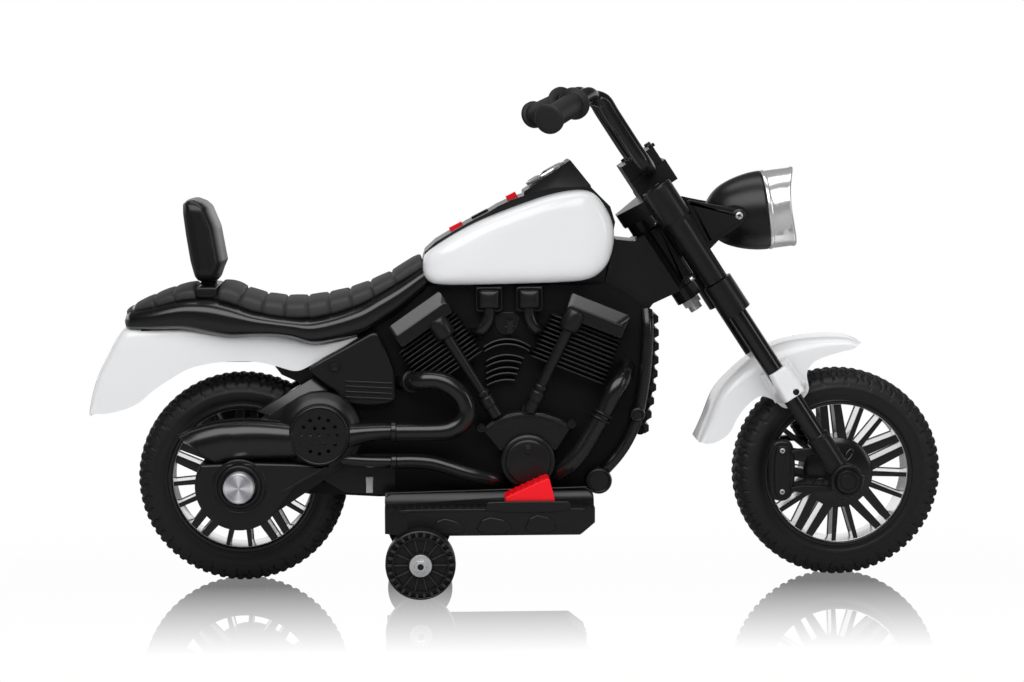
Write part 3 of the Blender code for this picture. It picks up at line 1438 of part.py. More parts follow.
def fork_leg(side):
    """Fork tube, slider, axle end with its cap, and a decorative caliper on two arms."""
    y = side * LEG_SPREAD
    leg = rod(fork(0, 0, y), fork(LEG_TOP, 0, y), FORK_TUBE_RADIUS)
    slider = rod(fork(-0.004, 0, y), fork(SLIDER_TOP, 0, y), SLIDER_RADIUS)
    end = disc(FRONT_AXLE, *span(side, FORK_END_INNER, FORK_END_OUTER), FORK_END_RADIUS)
    cap = disc(FRONT_AXLE, *span(side, FORK_END_OUTER - 0.001, FORK_END_OUTER + HUB_CAP_DEPTH),
               HUB_CAP_RADIUS)
    x, z = FRONT_AXLE
    low, high = span(side, CALIPER_INNER, CALIPER_OUTER)
    rear = x - CALIPER_BEHIND - CALIPER_LENGTH
    caliper = box((rear, low, z - 0.026), (x - CALIPER_BEHIND, high, z + 0.045))
    low, high = span(side, CALIPER_INNER + 0.010, CALIPER_OUTER + 0.004)
    arm_rear = x - CALIPER_BEHIND - 2 * ROOT
    upper_arm = box((arm_rear, low, z + 0.028), (x - 0.016, high, z + 0.036))
    lower_arm = box((arm_rear, low, z - 0.018), (x - 0.010, high, z - 0.008))
    bore = disc(FRONT_AXLE, *span(side, 0.03, FORK_END_OUTER - 0.001), AXLE_RADIUS + GAP)
    piece(f"fork_leg_{SIDE_NAMES[side]}", "satin_black", leg, plus(slider), plus(end), plus(cap),
          plus(caliper), plus(upper_arm), plus(lower_arm), minus(bore), on="steering_axis")


def fork_cover(side):
    y = side * LEG_SPREAD
    cover = rod(fork(COVER_LOW, 0, y), fork(COVER_STEP + 0.001, 0, y), COVER_RADIUS)
    cap = rod(fork(COVER_STEP, 0, y), fork(COVER_TOP, 0, y), COVER_HEAD_RADIUS)
    bore = rod(fork(COVER_LOW - 0.01, 0, y), fork(LEG_TOP + GAP, 0, y), FORK_TUBE_RADIUS + GAP)
    piece(f"fork_cover_{SIDE_NAMES[side]}", "satin_black", cover, plus(cap), minus(bore),
          on="steering_axis")


def sloped_box(along, ahead, y):
    """A box between two distances along the slope, ahead of the legs and across."""
    centre = fork(sum(along) / 2, sum(ahead) / 2, sum(y) / 2)
    size = (ahead[1] - ahead[0], y[1] - y[0], along[1] - along[0])
    return block(centre, size, -RAKE)


def yokes():
    """Upper yoke with the riser, the lower yoke with its two clamps, and the clamp cap."""
    inner = LEG_SPREAD - COVER_HEAD_RADIUS - GAP
    half_plan = [(0.018, inner), (0.013 - STEER_OFFSET, inner), (-YOKE_REAR - STEER_OFFSET, 0.015)]
    plan = half_plan + [(ahead, -y) for ahead, y in reversed(half_plan)]
    plate = loft([[fork(along, ahead, y) for ahead, y in plan] for along in (YOKE_LOW, YOKE_TOP)])
    riser = sloped_box((YOKE_TOP - 0.001, BAR_HEIGHT - GAP), (BAR_FORWARD - RISER_REAR, RISER_FRONT),
                       (-RISER_HALF, RISER_HALF))
    steps = [plus(riser)]
    for side in (RIGHT, LEFT):
        y = side * LEG_SPREAD
        ring = rod(fork(YOKE_LOW, 0, y), fork(YOKE_TOP, 0, y), COVER_HEAD_RADIUS + GAP)
        steps.append(minus(ring))
    grip = BAR_RADIUS + GAP
    reach = 1.5 * RISER_HALF
    bar = rod(fork(BAR_HEIGHT, BAR_FORWARD, -reach), fork(BAR_HEIGHT, BAR_FORWARD, reach), grip)
    stem_top = YOKE_TOP - STEM_SOCKET_ROOF
    stem_hole = rod(head(YOKE_LOW - 0.01, 0), head(stem_top, 0), STEM_RADIUS + GAP)
    piece("upper_yoke", "satin_black", plate, *steps, minus(bar), minus(stem_hole), on="steering_axis")

    cap = sloped_box((BAR_HEIGHT + GAP, RISER_TOP), (BAR_FORWARD - RISER_REAR, RISER_FRONT - 0.004),
                     (-RISER_HALF, RISER_HALF))
    bar = rod(fork(BAR_HEIGHT, BAR_FORWARD, -reach), fork(BAR_HEIGHT, BAR_FORWARD, reach), grip)
    piece("handlebar_clamp", "satin_black", cap, minus(bar), on="steering_axis")

    bridge = sloped_box((LOWER_YOKE_LOW + 0.008, LOWER_YOKE_TOP - 0.010), (-0.008, 0.014),
                        (-LEG_SPREAD, LEG_SPREAD))
    steps = []
    for side in (RIGHT, LEFT):
        y = side * LEG_SPREAD
        steps.append(plus(rod(fork(LOWER_YOKE_LOW, 0, y), fork(LOWER_YOKE_TOP, 0, y), CLAMP_RADIUS)))
    for side in (RIGHT, LEFT):
        y = side * LEG_SPREAD
        hole = rod(fork(LOWER_YOKE_LOW - 0.02, 0, y), fork(LOWER_YOKE_TOP + 0.02, 0, y),
                   FORK_TUBE_RADIUS + GAP)
        steps.append(minus(hole))
    piece("lower_yoke", "satin_black", bridge, *steps, on="steering_axis")


def steering_head():
    stem_top = YOKE_TOP - STEM_SOCKET_ROOF - GAP
    stem = rod(head(NUT_LOW - STEM_TAIL, 0), head(stem_top, 0), STEM_RADIUS)
    nut = rod(head(NUT_LOW, 0), head(NUT_LOW + NUT_HEIGHT, 0), NUT_RADIUS, sides=6)
    piece("steering_stem", "steel", stem, plus(nut), on="steering_axis")

    outer = STEM_RADIUS + RUNNING + BUSH_WALL
    bottom = NUT_LOW + NUT_HEIGHT + GAP
    liner = rod(head(bottom, 0), head(YOKE_LOW - GAP, 0), outer)
    low_flange = rod(head(bottom, 0), head(HEAD_LOW - GAP, 0), BUSH_FLANGE_RADIUS)
    top_flange = rod(head(HEAD_TOP + GAP, 0), head(YOKE_LOW - GAP, 0), BUSH_FLANGE_RADIUS)
    bore = rod(head(bottom - 0.01, 0), head(YOKE_LOW + 0.01, 0), STEM_RADIUS + RUNNING)
    piece("steering_bush", "satin_black", liner, plus(low_flange), plus(top_flange), minus(bore))


BAR_SIDE_PATH = (
    (0.0, 0.000), (0.041, 0.000), (0.049, 0.000), (0.065, 0.003), (0.0745, 0.014),
    (0.077, 0.030), (0.078, 0.080), (0.079, 0.100),
)
BAR_SWEEP = 0.045
KNEE = (0.1109, -0.0094, 0.085)
BEND = (0.1177, -0.0145, 0.098)
GRIP_START = (0.1194, -0.0337, 0.130)
GRIP_END = (0.1231, -0.0724, 0.205)
GRIP_COLLAR = 0.006
BAR_IN_GRIP = 0.93


def bar_place(place, side):
    """A point up the slope from the clamped bar, ahead of it and out from the middle."""
    rise, ahead, y = place
    return fork(BAR_HEIGHT + rise, BAR_FORWARD + ahead, side * y)


def bar_points(side):
    """Half of the handlebar: out from the clamp, up the slope, back and out along the grip."""
    points = [bar_place((rise, -BAR_SWEEP * min(rise, 0.03), y), side) for y, rise in BAR_SIDE_PATH]
    return points + [bar_place(place, side) for place in (KNEE, BEND, GRIP_START)]


def handlebar():
    right_end, left_end = [
        bar_place(GRIP_START, side).lerp(bar_place(GRIP_END, side), BAR_IN_GRIP) for side in (RIGHT, LEFT)
    ]
    points = [right_end, *reversed(bar_points(RIGHT)), *bar_points(LEFT)[1:], left_end]
    piece("handlebar", "gloss_black", tube(points, BAR_RADIUS, steps=2, roundness=2), on="steering_axis")
    for side in (RIGHT, LEFT):
        start, end = bar_place(GRIP_START, side), bar_place(GRIP_END, side)
        length = (end - start).length
        collar, hole, depth = GRIP_COLLAR, BAR_RADIUS + GAP, 0.95 * length
        profile = [(0, length), (GRIP_END_RADIUS, length), (GRIP_END_RADIUS, length - collar),
                   (GRIP_RADIUS, length - 1.5 * collar), (GRIP_RADIUS, collar),
                   (GRIP_FLANGE_RADIUS, 0.7 * collar), (GRIP_FLANGE_RADIUS, 0), (hole + 0.0008, 0),
                   (hole, collar), (hole, depth), (0, depth)]
        grip = turned(profile, start, (end - start).normalized())
        piece(f"grip_{SIDE_NAMES[side]}", "grip_black", grip, on="steering_axis")


# Headlight


LAMP_SCREW_BACK = 0.073
LAMP_BOSS_RADIUS = 0.008
LAMP_OUTER = ((0.0012, 0.052), (0.006, 0.072), (0.014, 0.090), (0.027, 0.103))
LAMP_INNER = ((0.018, 0.087), (0.0045, 0.0535))
LAMP_END = 0.110
BEZEL_LIP = 0.004
LENS_SEAT = 0.010


def lamp_point(back, up, y=0.0):
    """A point on the lamp: metres behind its front face and above its axis."""
    ahead = Vector((math.cos(LAMP_TILT), 0, math.sin(LAMP_TILT)))
    above = Vector((-math.sin(LAMP_TILT), 0, math.cos(LAMP_TILT)))
    return fork(LAMP_ALONG, LAMP_AHEAD, y) - ahead * back + above * up


def headlight():
    back = tuple(lamp_point(1, 0) - lamp_point(0, 0))
    front = lamp_point(0, 0)
    radius = LAMP_RADIUS
    seam = BEZEL_LENGTH + GAP
    shell_profile = [(0, seam), (radius, seam), *[(radius - drop, at) for drop, at in LAMP_OUTER],
                     (0, LAMP_END)]
    hollow_profile = [(0, LAMP_END - 0.005), *[(radius - drop, at) for drop, at in LAMP_INNER],
                      (radius - LAMP_WALL, seam - 0.01), (0, seam - 0.01)]
    shell = turned(shell_profile, front, back, sides=BIG_ROUND)
    hollow = turned(hollow_profile, front, back, sides=BIG_ROUND, start=math.pi / BIG_ROUND)
    steps = [minus(hollow)]
    bracket_face = BRACKET_INNER + BRACKET_WALL
    for side in (RIGHT, LEFT):
        root = lamp_point(LAMP_SCREW_BACK, 0, side * (radius - 3 * LAMP_WALL))
        boss_end = lamp_point(LAMP_SCREW_BACK, 0, side * (BRACKET_INNER - GAP))
        screw_end = lamp_point(LAMP_SCREW_BACK, 0, side * (bracket_face + 0.002))
        head_start = lamp_point(LAMP_SCREW_BACK, 0, side * (bracket_face + GAP))
        head_end = lamp_point(LAMP_SCREW_BACK, 0, side * (bracket_face + 0.003))
        steps.append(plus(rod(root, boss_end, LAMP_BOSS_RADIUS)))
        steps.append(plus(rod(root.lerp(boss_end, 0.3), screw_end, LAMP_SCREW_RADIUS, sides=12)))
        steps.append(plus(rod(head_start, head_end, LAMP_SCREW_HEAD)))
    piece("headlight_shell", "satin_black", shell, *steps, on="headlight_axis")

    lip, wall, seat = radius - BEZEL_LIP, radius - LAMP_WALL, LENS_SEAT
    bezel = [(radius - 0.0022, 0), (radius, 0.001), (radius, BEZEL_LENGTH), (wall, BEZEL_LENGTH),
             (wall - 0.0015, seat + 0.002), (lip, seat), (lip, 0)]
    piece("headlight_bezel", "chrome", turned(bezel, front, back, sides=BIG_ROUND, closed=True),
          on="headlight_axis")
    edge, back_face = lip - GAP, seat - GAP
    lens = [(0, 0.002), (edge * 0.6, 0.004), (edge, back_face - 0.003), (edge, back_face),
            (edge * 0.6, back_face - 0.0022), (0, back_face - 0.0042)]
    piece("headlight_lens", "clear", turned(lens, front, back, sides=BIG_ROUND), on="headlight_axis")


BRACKET_LOW, BRACKET_TOP = 0.318, 0.3745
BRACKET_TIP = (
    (-0.006, 0.013), (0.006, 0.010), (0.010, 0.0), (0.004, -0.010), (-0.024, -0.029),
)


def headlight_bracket():
    """A plate on each side of the lamp, joined by a bar behind it and held by the fork covers."""
    x, z = side_view(lamp_point(LAMP_SCREW_BACK, 0))
    high, low = side_view(fork(BRACKET_TOP, 0.004)), side_view(fork(BRACKET_LOW, 0.004))
    outline = [high, *[(x + ahead, z + up) for ahead, up in BRACKET_TIP], low]
    outer = BRACKET_INNER + BRACKET_WALL
    plate = prism(outline, BRACKET_INNER, outer)
    other = prism(outline, -outer, -BRACKET_INNER)
    steps = []
    bar_end = LEG_SPREAD - 0.002
    bar = sloped_box((BRACKET_LOW + 0.007, BRACKET_TOP - 0.0075), (-0.0085, 0.006), (-bar_end, bar_end))
    steps += [plus(bar), plus(other)]
    for side in (RIGHT, LEFT):
        y = side * LEG_SPREAD
        start, end = fork(BRACKET_LOW - 0.018, 0, y), fork(BRACKET_TOP - 0.0005, 0, y)
        steps.append(minus(rod(start, end, COVER_RADIUS + GAP)))
    start, end = lamp_point(LAMP_SCREW_BACK, 0, -0.1), lamp_point(LAMP_SCREW_BACK, 0, 0.1)
    steps.append(minus(rod(start, end, LAMP_SCREW_RADIUS + GAP, sides=12)))
    piece("headlight_bracket", "satin_black", plate, *steps, on="steering_axis")


# Front fender and axle


FENDER_WEB = (
    (636, 152), (655, 160), (676, 163), (697, 156), (711, 146), (706, 131), (698, 122), (703, 108),
    (692, 92), (680, 84), (666, 84), (654, 93), (638, 97), (626, 93),
)
FENDER_STEPS = 10
WEB_THICKNESS = 0.002


def front_fender():
    outer = WHEEL_RADIUS + FENDER_CLEARANCE
    inner = WHEEL_RADIUS + FENDER_SKIRT
    half, wall = FENDER_HALF, FENDER_WALL
    section = [(inner, half), (outer - 0.008, half), (outer, half - 0.010), (outer, 0.010 - half),
               (outer - 0.008, -half), (inner, -half), (inner, wall - half), (outer - 0.009, wall - half),
               (outer - wall, 0.011 - half), (outer - wall, half - 0.011), (outer - 0.009, half - wall),
               (inner, half - wall)]
    rings = []
    for i in range(FENDER_STEPS + 1):
        turn = FENDER_START + (FENDER_END - FENDER_START) * i / FENDER_STEPS
        x, z = math.cos(turn), math.sin(turn)
        rings.append([(FRONT_AXLE[0] + r * x, y, FRONT_AXLE[1] + r * z) for r, y in section])
    guard = loft(rings)
    steps = []
    for side in (RIGHT, LEFT):
        y = side * LEG_SPREAD
        web_end = half - 0.0002
        steps.append(plus(prism(outline_of(FENDER_WEB), *span(side, web_end - WEB_THICKNESS, web_end))))
        low, high = span(side, half - WEB_THICKNESS, LEG_SPREAD)
        arm = sloped_box((SLEEVE_LOW + 0.004, SLEEVE_TOP + 0.004), (-0.009, 0.009), (low, high))
        sleeve = rod(fork(SLEEVE_LOW, 0, y), fork(SLEEVE_TOP, 0, y), SLEEVE_RADIUS)
        bore_start, bore_end = fork(SLEEVE_LOW - 0.036, 0, y), fork(SLEEVE_TOP + 0.040, 0, y)
        bore = rod(bore_start, bore_end, FORK_TUBE_RADIUS + GAP)
        steps += [plus(arm), plus(sleeve), minus(bore)]
    piece("front_fender", "white", guard, *steps, on="steering_axis")


def front_axle():
    end = FORK_END_OUTER - 0.001 - GAP
    axle = disc(FRONT_AXLE, -end, end, AXLE_RADIUS)
    steps = []
    for side in (RIGHT, LEFT):
        low, high = span(side, HUB_HALF + GAP, FORK_END_INNER - GAP)
        steps.append(plus(disc(FRONT_AXLE, low, high, AXLE_SPACER_RADIUS)))
    piece("front_axle", "steel", axle, *steps, on="steering_axis")


# Joint places


def place_joints():
    x, z = REAR_AXLE
    joint_place("rear_wheel_axis", (x, 0, z))
    x, z = FRONT_AXLE
    joint_place("front_wheel_axis", (x, 0, z))
    joint_place("steering_axis", head(HEAD_LOW, 0))
    joint_place("headlight_axis", lamp_point(LAMP_SCREW_BACK, 0))
    idler, motor = gear_places()
    joint_place("compound_gear_axis", (idler[0], 0, idler[1]))
    joint_place("motor_axis", (motor[0], 0, motor[1]))
    x, z = training_place()
    for side in (RIGHT, LEFT):
        place = (x, side * (TRAINING_INNER + TRAINING_WIDTH / 2), z)
        joint_place(f"training_wheel_{SIDE_NAMES[side]}_axis", place)
    x, z = pedal_pin()
    joint_place("foot_pedal_axis", (x, -sum(pedal_room()) / 2, z))
    for name, (place, _, _, _) in BUTTONS.items():
        x, z = body(*place)
        joint_place(f"{name}_axis", (x, 0, z))
    joint_place("direction_switch_axis", rocker_pin())
    x, z = body(*SWITCH_PLACE)
    joint_place("power_switch_axis", (x, -SWITCH_PIN_Y, z))


def build():
    place_joints()
    tyre("rear_tyre", REAR_AXLE, "rear_wheel_axis")
    rim("rear_rim", REAR_AXLE, REAR_SPOKE_START, "rear_wheel_axis")
    tyre("front_tyre", FRONT_AXLE, "front_wheel_axis")
    rim("front_rim", FRONT_AXLE, FRONT_SPOKE_START, "front_wheel_axis")
    rear_drive()
    for side in (RIGHT, LEFT):
        frame_shell(side)
        engine_panel(side)
        tank_panel(side)
        swingarm_cover(side)
        exhaust_cover(side)
        footboard(side)
        fork_leg(side)
        fork_cover(side)
    tank_console()
    console_buttons()
    power_switch()
    radiator_grille()
    seat_base()
    seat_pad()
    backrest()
    rear_fender()
    speaker_grille()
    speaker()
    rear_axle_pieces()
    inside_pieces()
    foot_pedal()
    training_wheels()
    yokes()
    steering_head()
    handlebar()
    headlight()
    headlight_bracket()
    front_fender()
    front_axle()
    finish_pieces()


build()
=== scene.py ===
# %% [markdown]
# # A child's ride-on chopper
#
# The engineering model gives the frame: every solid at its real place, in metres, with X to the front,
# Y to the rider's left and Z up. This lesson dresses it. Each new piece is a surface worked out with numpy
# over two parameters, so that its shape can be read as a formula, and each finish is a small node graph.
# The real toy is mostly blow-moulded and injection-moulded plastic. Its look comes from three things:
# soft edges, a satin black that shows only as highlights, and a few white and bright pieces.

import json
import math

import bmesh
import bpy
import numpy as np
from mathutils import Matrix, Vector

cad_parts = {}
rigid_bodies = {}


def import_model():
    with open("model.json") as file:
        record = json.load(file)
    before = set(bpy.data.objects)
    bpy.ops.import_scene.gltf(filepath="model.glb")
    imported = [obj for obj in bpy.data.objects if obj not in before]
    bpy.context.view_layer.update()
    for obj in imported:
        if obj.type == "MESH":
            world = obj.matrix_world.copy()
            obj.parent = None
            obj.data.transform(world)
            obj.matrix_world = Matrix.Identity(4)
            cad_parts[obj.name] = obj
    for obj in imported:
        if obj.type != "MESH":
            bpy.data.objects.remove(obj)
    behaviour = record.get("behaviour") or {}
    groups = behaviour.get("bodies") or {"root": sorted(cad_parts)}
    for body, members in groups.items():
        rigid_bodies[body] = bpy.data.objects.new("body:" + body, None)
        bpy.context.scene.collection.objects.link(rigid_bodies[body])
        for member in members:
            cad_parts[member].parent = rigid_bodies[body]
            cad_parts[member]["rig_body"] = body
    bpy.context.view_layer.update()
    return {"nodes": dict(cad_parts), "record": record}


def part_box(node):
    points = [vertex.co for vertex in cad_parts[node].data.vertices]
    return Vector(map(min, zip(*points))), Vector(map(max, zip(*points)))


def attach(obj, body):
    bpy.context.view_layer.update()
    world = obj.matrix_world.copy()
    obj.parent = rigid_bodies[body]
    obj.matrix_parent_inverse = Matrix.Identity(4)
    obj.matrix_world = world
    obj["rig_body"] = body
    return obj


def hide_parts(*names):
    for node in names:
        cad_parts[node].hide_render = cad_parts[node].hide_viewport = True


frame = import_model()
NODES = frame["nodes"]

# %% [markdown]
# ## The camera
#
# A product photograph of this kind is taken from far away with a long lens. The camera was fitted to the
# wheels, the bar and the lamp of the photograph, and here it is written as an orbit round a target:
# turned a little, raised by 5 degrees and rolled by a quarter of a degree.

# %% Camera
PHOTO_SIZE = (1024, 682)
FOCAL_PIXELS = 2772.7355
TURN, RAISE, ROLL = (math.radians(v) for v in (-2.0462, 5.37, -0.2253))
DISTANCE = 3.3965
TARGET = Vector((-0.0073, 0, 0.2899))


def orbit(turn, raised, distance, target, roll):
    """Looks at the target from a distance: back points from it to the eye, right lies level."""
    back = Vector((math.sin(turn) * math.cos(raised), -math.cos(turn) * math.cos(raised), math.sin(raised)))
    right = Vector((math.cos(turn), math.sin(turn), 0))
    axes = Matrix((right, back.cross(right), back)).transposed().to_4x4()
    return Matrix.Translation(target + back * distance) @ axes @ Matrix.Rotation(roll, 4, "Z")


lens = bpy.data.cameras.new("camera")
lens.sensor_width = 36
lens.lens = FOCAL_PIXELS * lens.sensor_width / PHOTO_SIZE[0]
lens.clip_start, lens.clip_end = 0.1, 60
camera = bpy.data.objects.new("camera", lens)
camera.matrix_world = orbit(TURN, RAISE, DISTANCE, TARGET, ROLL)
scene = bpy.context.scene
scene.collection.objects.link(camera)
scene.camera = camera
scene.view_settings.view_transform = "Standard"
print("lens", round(lens.lens, 2), "mm")

# %% [markdown]
# ## Node graphs as sums
#
# A material is easier to read as arithmetic than as boxes and wires. `Value` wraps one output of a node,
# and each operator on it adds a Math node, so `1 - mask * 0.2` is a graph of two nodes. `Graph` makes
# every other node, and `Finish` is the graph of one material.

# %% Values and finishes
class Value:
    """One output of a node; a sum, difference, product, quotient or power with it adds a Math node."""

    def __init__(self, graph, socket):
        self.graph, self.socket = graph, socket

    def maths(self, operation, first, second=0.0):
        return self.graph.node("Math", {"operation": operation}, {0: first, 1: second})

    def __add__(self, other):
        return self.maths("ADD", self, other)

    def __sub__(self, other):
        return self.maths("SUBTRACT", self, other)

    def __rsub__(self, other):
        return self.maths("SUBTRACT", other, self)

    def __mul__(self, other):
        return self.maths("MULTIPLY", self, other)

    def __truediv__(self, other):
        return self.maths("DIVIDE", self, other)

    def __pow__(self, other):
        return self.maths("POWER", self, other)

    __radd__, __rmul__ = __add__, __mul__

    def size(self):
        """The value without its sign."""
        return self.maths("ABSOLUTE", self)

    def at_least(self, other):
        """The larger of two values."""
        return self.maths("MAXIMUM", self, other)


class Graph:
    """The nodes of a material or of the world."""

    def __init__(self, tree):
        self.tree = tree

    def node(self, kind, settings=None, inputs=None, output=0):
        """A node of a kind: its settings first, then a value or a link for each named socket."""
        made = self.tree.nodes.new("ShaderNode" + kind)
        for key, value in (settings or {}).items():
            setattr(made, key, value)
        for key, value in (inputs or {}).items():
            self.join(made.inputs[key], value)
        return Value(self, made.outputs[output])

    def join(self, socket, value):
        """Links a value to a socket, or sets the socket to a constant."""
        if isinstance(value, Value):
            self.tree.links.new(value.socket, socket)
        else:
            socket.default_value = value

    def axis(self, name, place=None):
        """One coordinate of a place."""
        return self.node("SeparateXYZ", {}, {0: place or self.place}, output=name)

    def ramp(self, value, low, high, first=0.0, last=1.0):
        """first up to low, last from high on, and straight between."""
        return self.node("MapRange", {}, {"Value": value, 1: low, 2: high, 3: first, 4: last})


class Finish(Graph):
    """One material, named for a finish of this toy. Its patterns read Object coordinates, in metres."""

    def __init__(self, name, colour, roughness, slot=None, **fixed):
        self.material = bpy.data.materials.new(name)
        self.material.use_nodes = True
        super().__init__(self.material.node_tree)
        self.slot = slot
        self.shader = self.tree.nodes["Principled BSDF"]
        self.material.diffuse_color = (*colour, 1)
        self.colour = (*colour, 1)
        self.feed("Base Color", self.colour)
        self.feed("Roughness", roughness)
        for socket, value in fixed.items():
            self.feed(socket.replace("_", " "), value)
        self.place = self.node("TexCoord", output="Object")

    def feed(self, socket, value):
        """Joins a value to one socket of the Principled shader."""
        self.join(self.shader.inputs[socket], value)
        return self

    def noise(self, scale, detail=2.0, rough=0.5, place=None):
        """Smooth noise around 0.5; scale is how many features fit in a metre."""
        inputs = {"Vector": place or self.place, "Scale": scale, "Detail": detail, "Roughness": rough}
        return self.node("TexNoise", {}, inputs)

    def moved(self, location=(0, 0, 0), turn=(0, 0, 0), scale=(1, 1, 1)):
        """Object coordinates seen from a point: the point becomes the origin, then they're scaled."""
        shift = self.node("VectorMath", {"operation": "SUBTRACT"}, {0: self.place, 1: location})
        return self.node("Mapping", {}, {"Vector": shift, "Rotation": turn, "Scale": scale})

    def tint(self, factor, first, second):
        """Colour between two colours."""
        inputs = {0: factor, 6: first, 7: second}
        return self.node("Mix", {"data_type": "RGBA"}, inputs, output=2)

    def relief(self, height, distance, strength=1.0, below=None):
        """Bump: height 0 to 1 stands for a distance in metres. One relief can lie on another."""
        inputs = {"Height": height, "Distance": distance, "Strength": strength}
        if below is not None:
            inputs["Normal"] = below
        return self.node("Bump", {}, inputs, output="Normal")


print("classes:", Value.__name__, Graph.__name__, Finish.__name__)

# %% [markdown]
# ## Moulded plastic
#
# Black plastic is hard to show: its own colour is nearly nothing, and the eye reads it from the
# highlights. On a real moulding the tool's texture breaks them up, the wall draws in over its ribs, and
# hands and dust leave dull patches. So each plastic gets a fine grain, a slow wave and a patchy roughness.
# Noise in the object's own coordinates needs no unwrapping and never repeats, which an image would.

# %% Plastic finishes
def moulded(name, colour, roughness, slot, grain=1100, depth=0.00003, patchy=0.1, wave=0.0003, **fixed):
    """Plastic from a mould: fine grain over a slow wave, and a roughness that varies in patches."""
    made = Finish(name, colour, roughness, slot, **fixed)
    patches = made.noise(14, 4, 0.6)
    smears = made.noise(60, 3, 0.6)
    made.feed("Roughness", (patches - 0.5) * patchy + (smears - 0.5) * patchy * 0.6 + roughness)
    dust = made.noise(420, 2, 0.7) ** 6 * 0.5
    pale = tuple(min(1, c * 1.35 + 0.012) for c in colour)
    made.feed("Base Color", made.tint(dust, made.colour, (*pale, 1)))
    slow = made.relief(made.noise(28, 1, 0.4), wave, 0.25)
    made.feed("Normal", made.relief(made.noise(grain, 2, 0.5), depth, 0.5, slow))
    return made


SATIN = moulded("satin black plastic", (0.0065, 0.0065, 0.007), 0.33, "satin_black")
GLOSS = moulded("gloss black plastic", (0.0065, 0.006, 0.006), 0.24, "gloss_black", grain=300,
    depth=0.00001, patchy=0.05, Coat_Weight=0.45, Coat_Roughness=0.2)
SEAT = moulded("seat plastic", (0.034, 0.0325, 0.032), 0.6, "seat_vinyl", grain=900, depth=0.0001)
WHITE = moulded("gloss white plastic", (0.84, 0.845, 0.86), 0.2, "white", grain=260, depth=0.00001,
    patchy=0.05, wave=0.0002, Coat_Weight=0.35, Coat_Roughness=0.06)
RED = moulded("red plastic", (0.95, 0.003, 0.012), 0.42, "red", Specular_IOR_Level=0.3)
TUBE = moulded("powder coated tube", (0.006, 0.006, 0.0065), 0.22, "coated_tube", grain=400, depth=0.00001,
    Coat_Weight=0.3, Coat_Roughness=0.12)
GRIP = moulded("grip rubber", (0.009, 0.009, 0.0095), 0.58, "grip_black", grain=1400, depth=0.00005)
NYLON = moulded("bare nylon", (0.68, 0.68, 0.63), 0.45, "gear_white")
# A darker black with weaker specular for the engine panels round the raised shapes: painted shade for their
# recess.
SHADE_PAINTED_PANEL = moulded("black plastic darkened as painted shade", (0.0035, 0.0035, 0.0035), 0.45, "satin_black",
    Specular_IOR_Level=0.25)
TREAD = moulded("training wheel plastic", (0.024, 0.024, 0.025), 0.36, "satin_black")
BOARD = moulded("green board case", (0.045, 0.19, 0.09), 0.4, "board_green")
print("moulded finishes", len([m for m in bpy.data.materials if m.use_nodes]))

# %% [markdown]
# ## Rubber, bright metal and clear plastic
#
# The tyres are one hard moulding, matt on the tread and smoother on the side wall, so the roughness
# follows the distance from the axle. Plated plastic is a mirror whose base coat ripples a little. Zinc
# plate is duller and clouded.

# %% Rubber, metal and clear finishes
def rubber(name, axle):
    """Tyre plastic: polished from the bead to the end of the side wall, matt and dusty on the tread."""
    made = moulded(name, (0.008, 0.008, 0.0085), 0.46, "tyre_black", grain=800, depth=0.00006)
    across = made.moved((axle[0], 0, axle[1]), scale=(1, 0, 1))
    radius = made.node("VectorMath", {"operation": "LENGTH"}, {0: across}, output="Value")
    tread = made.ramp(radius, 0.104, 0.112, 0.0, 0.16)
    made.feed("Roughness", (made.noise(40, 4, 0.6) - 0.5) * 0.12 + tread + 0.38)
    return made


def metal(name, colour, roughness, slot, ripple=0.0001, cloud=0.08, shine=1.0):
    """Bright metal: mirror with a rippled base coat and a cloudy roughness."""
    made = Finish(name, colour, roughness, slot, Metallic=shine)
    made.feed("Roughness", (made.noise(50, 4, 0.6) - 0.5) * cloud + roughness)
    made.feed("Normal", made.relief(made.noise(70, 2, 0.5), ripple, 0.3))
    return made


REAR_AXLE, FRONT_AXLE = (-0.3365, 0.127), (0.3915, 0.127)
REAR_RUBBER = rubber("rear tyre", REAR_AXLE)
FRONT_RUBBER = rubber("front tyre", FRONT_AXLE)
CHROME = metal("plated plastic", (0.93, 0.93, 0.94), 0.17, "chrome_plastic", shine=0.72)
ZINC = metal("zinc plate", (0.76, 0.77, 0.78), 0.34, "steel", cloud=0.2, shine=0.7)
GLASS = Finish("clear lamp plastic", (0.95, 0.97, 0.98), 0.04, "clear", Transmission_Weight=1.0, IOR=1.46)
GLASS.feed("Normal", GLASS.relief(GLASS.noise(60, 2), 0.0001, 0.2))
print("finishes", len(bpy.data.materials))

# %% [markdown]
# ## Floor
#
# The toy stands on a white gloss board that mirrors its wheels faintly. More light would whiten the floor
# but also the toy, so the board is white to the camera alone, through Light Path. The mirror is a second
# shader, perfectly sharp, that fades out by the place on the floor. A rough gloss would be simpler, but it
# would smear the wheels.

# %% Floor
FLOOR_HALF = 30.0
FLOOR_WHITE = 0.9
MIRROR_SHARE = 0.8
MIRROR_SIDES = (0.62, 0.78)
MIRROR_BACK = (0.15, 0.45)
MIRROR_FRONT = (0.06, 0.46)


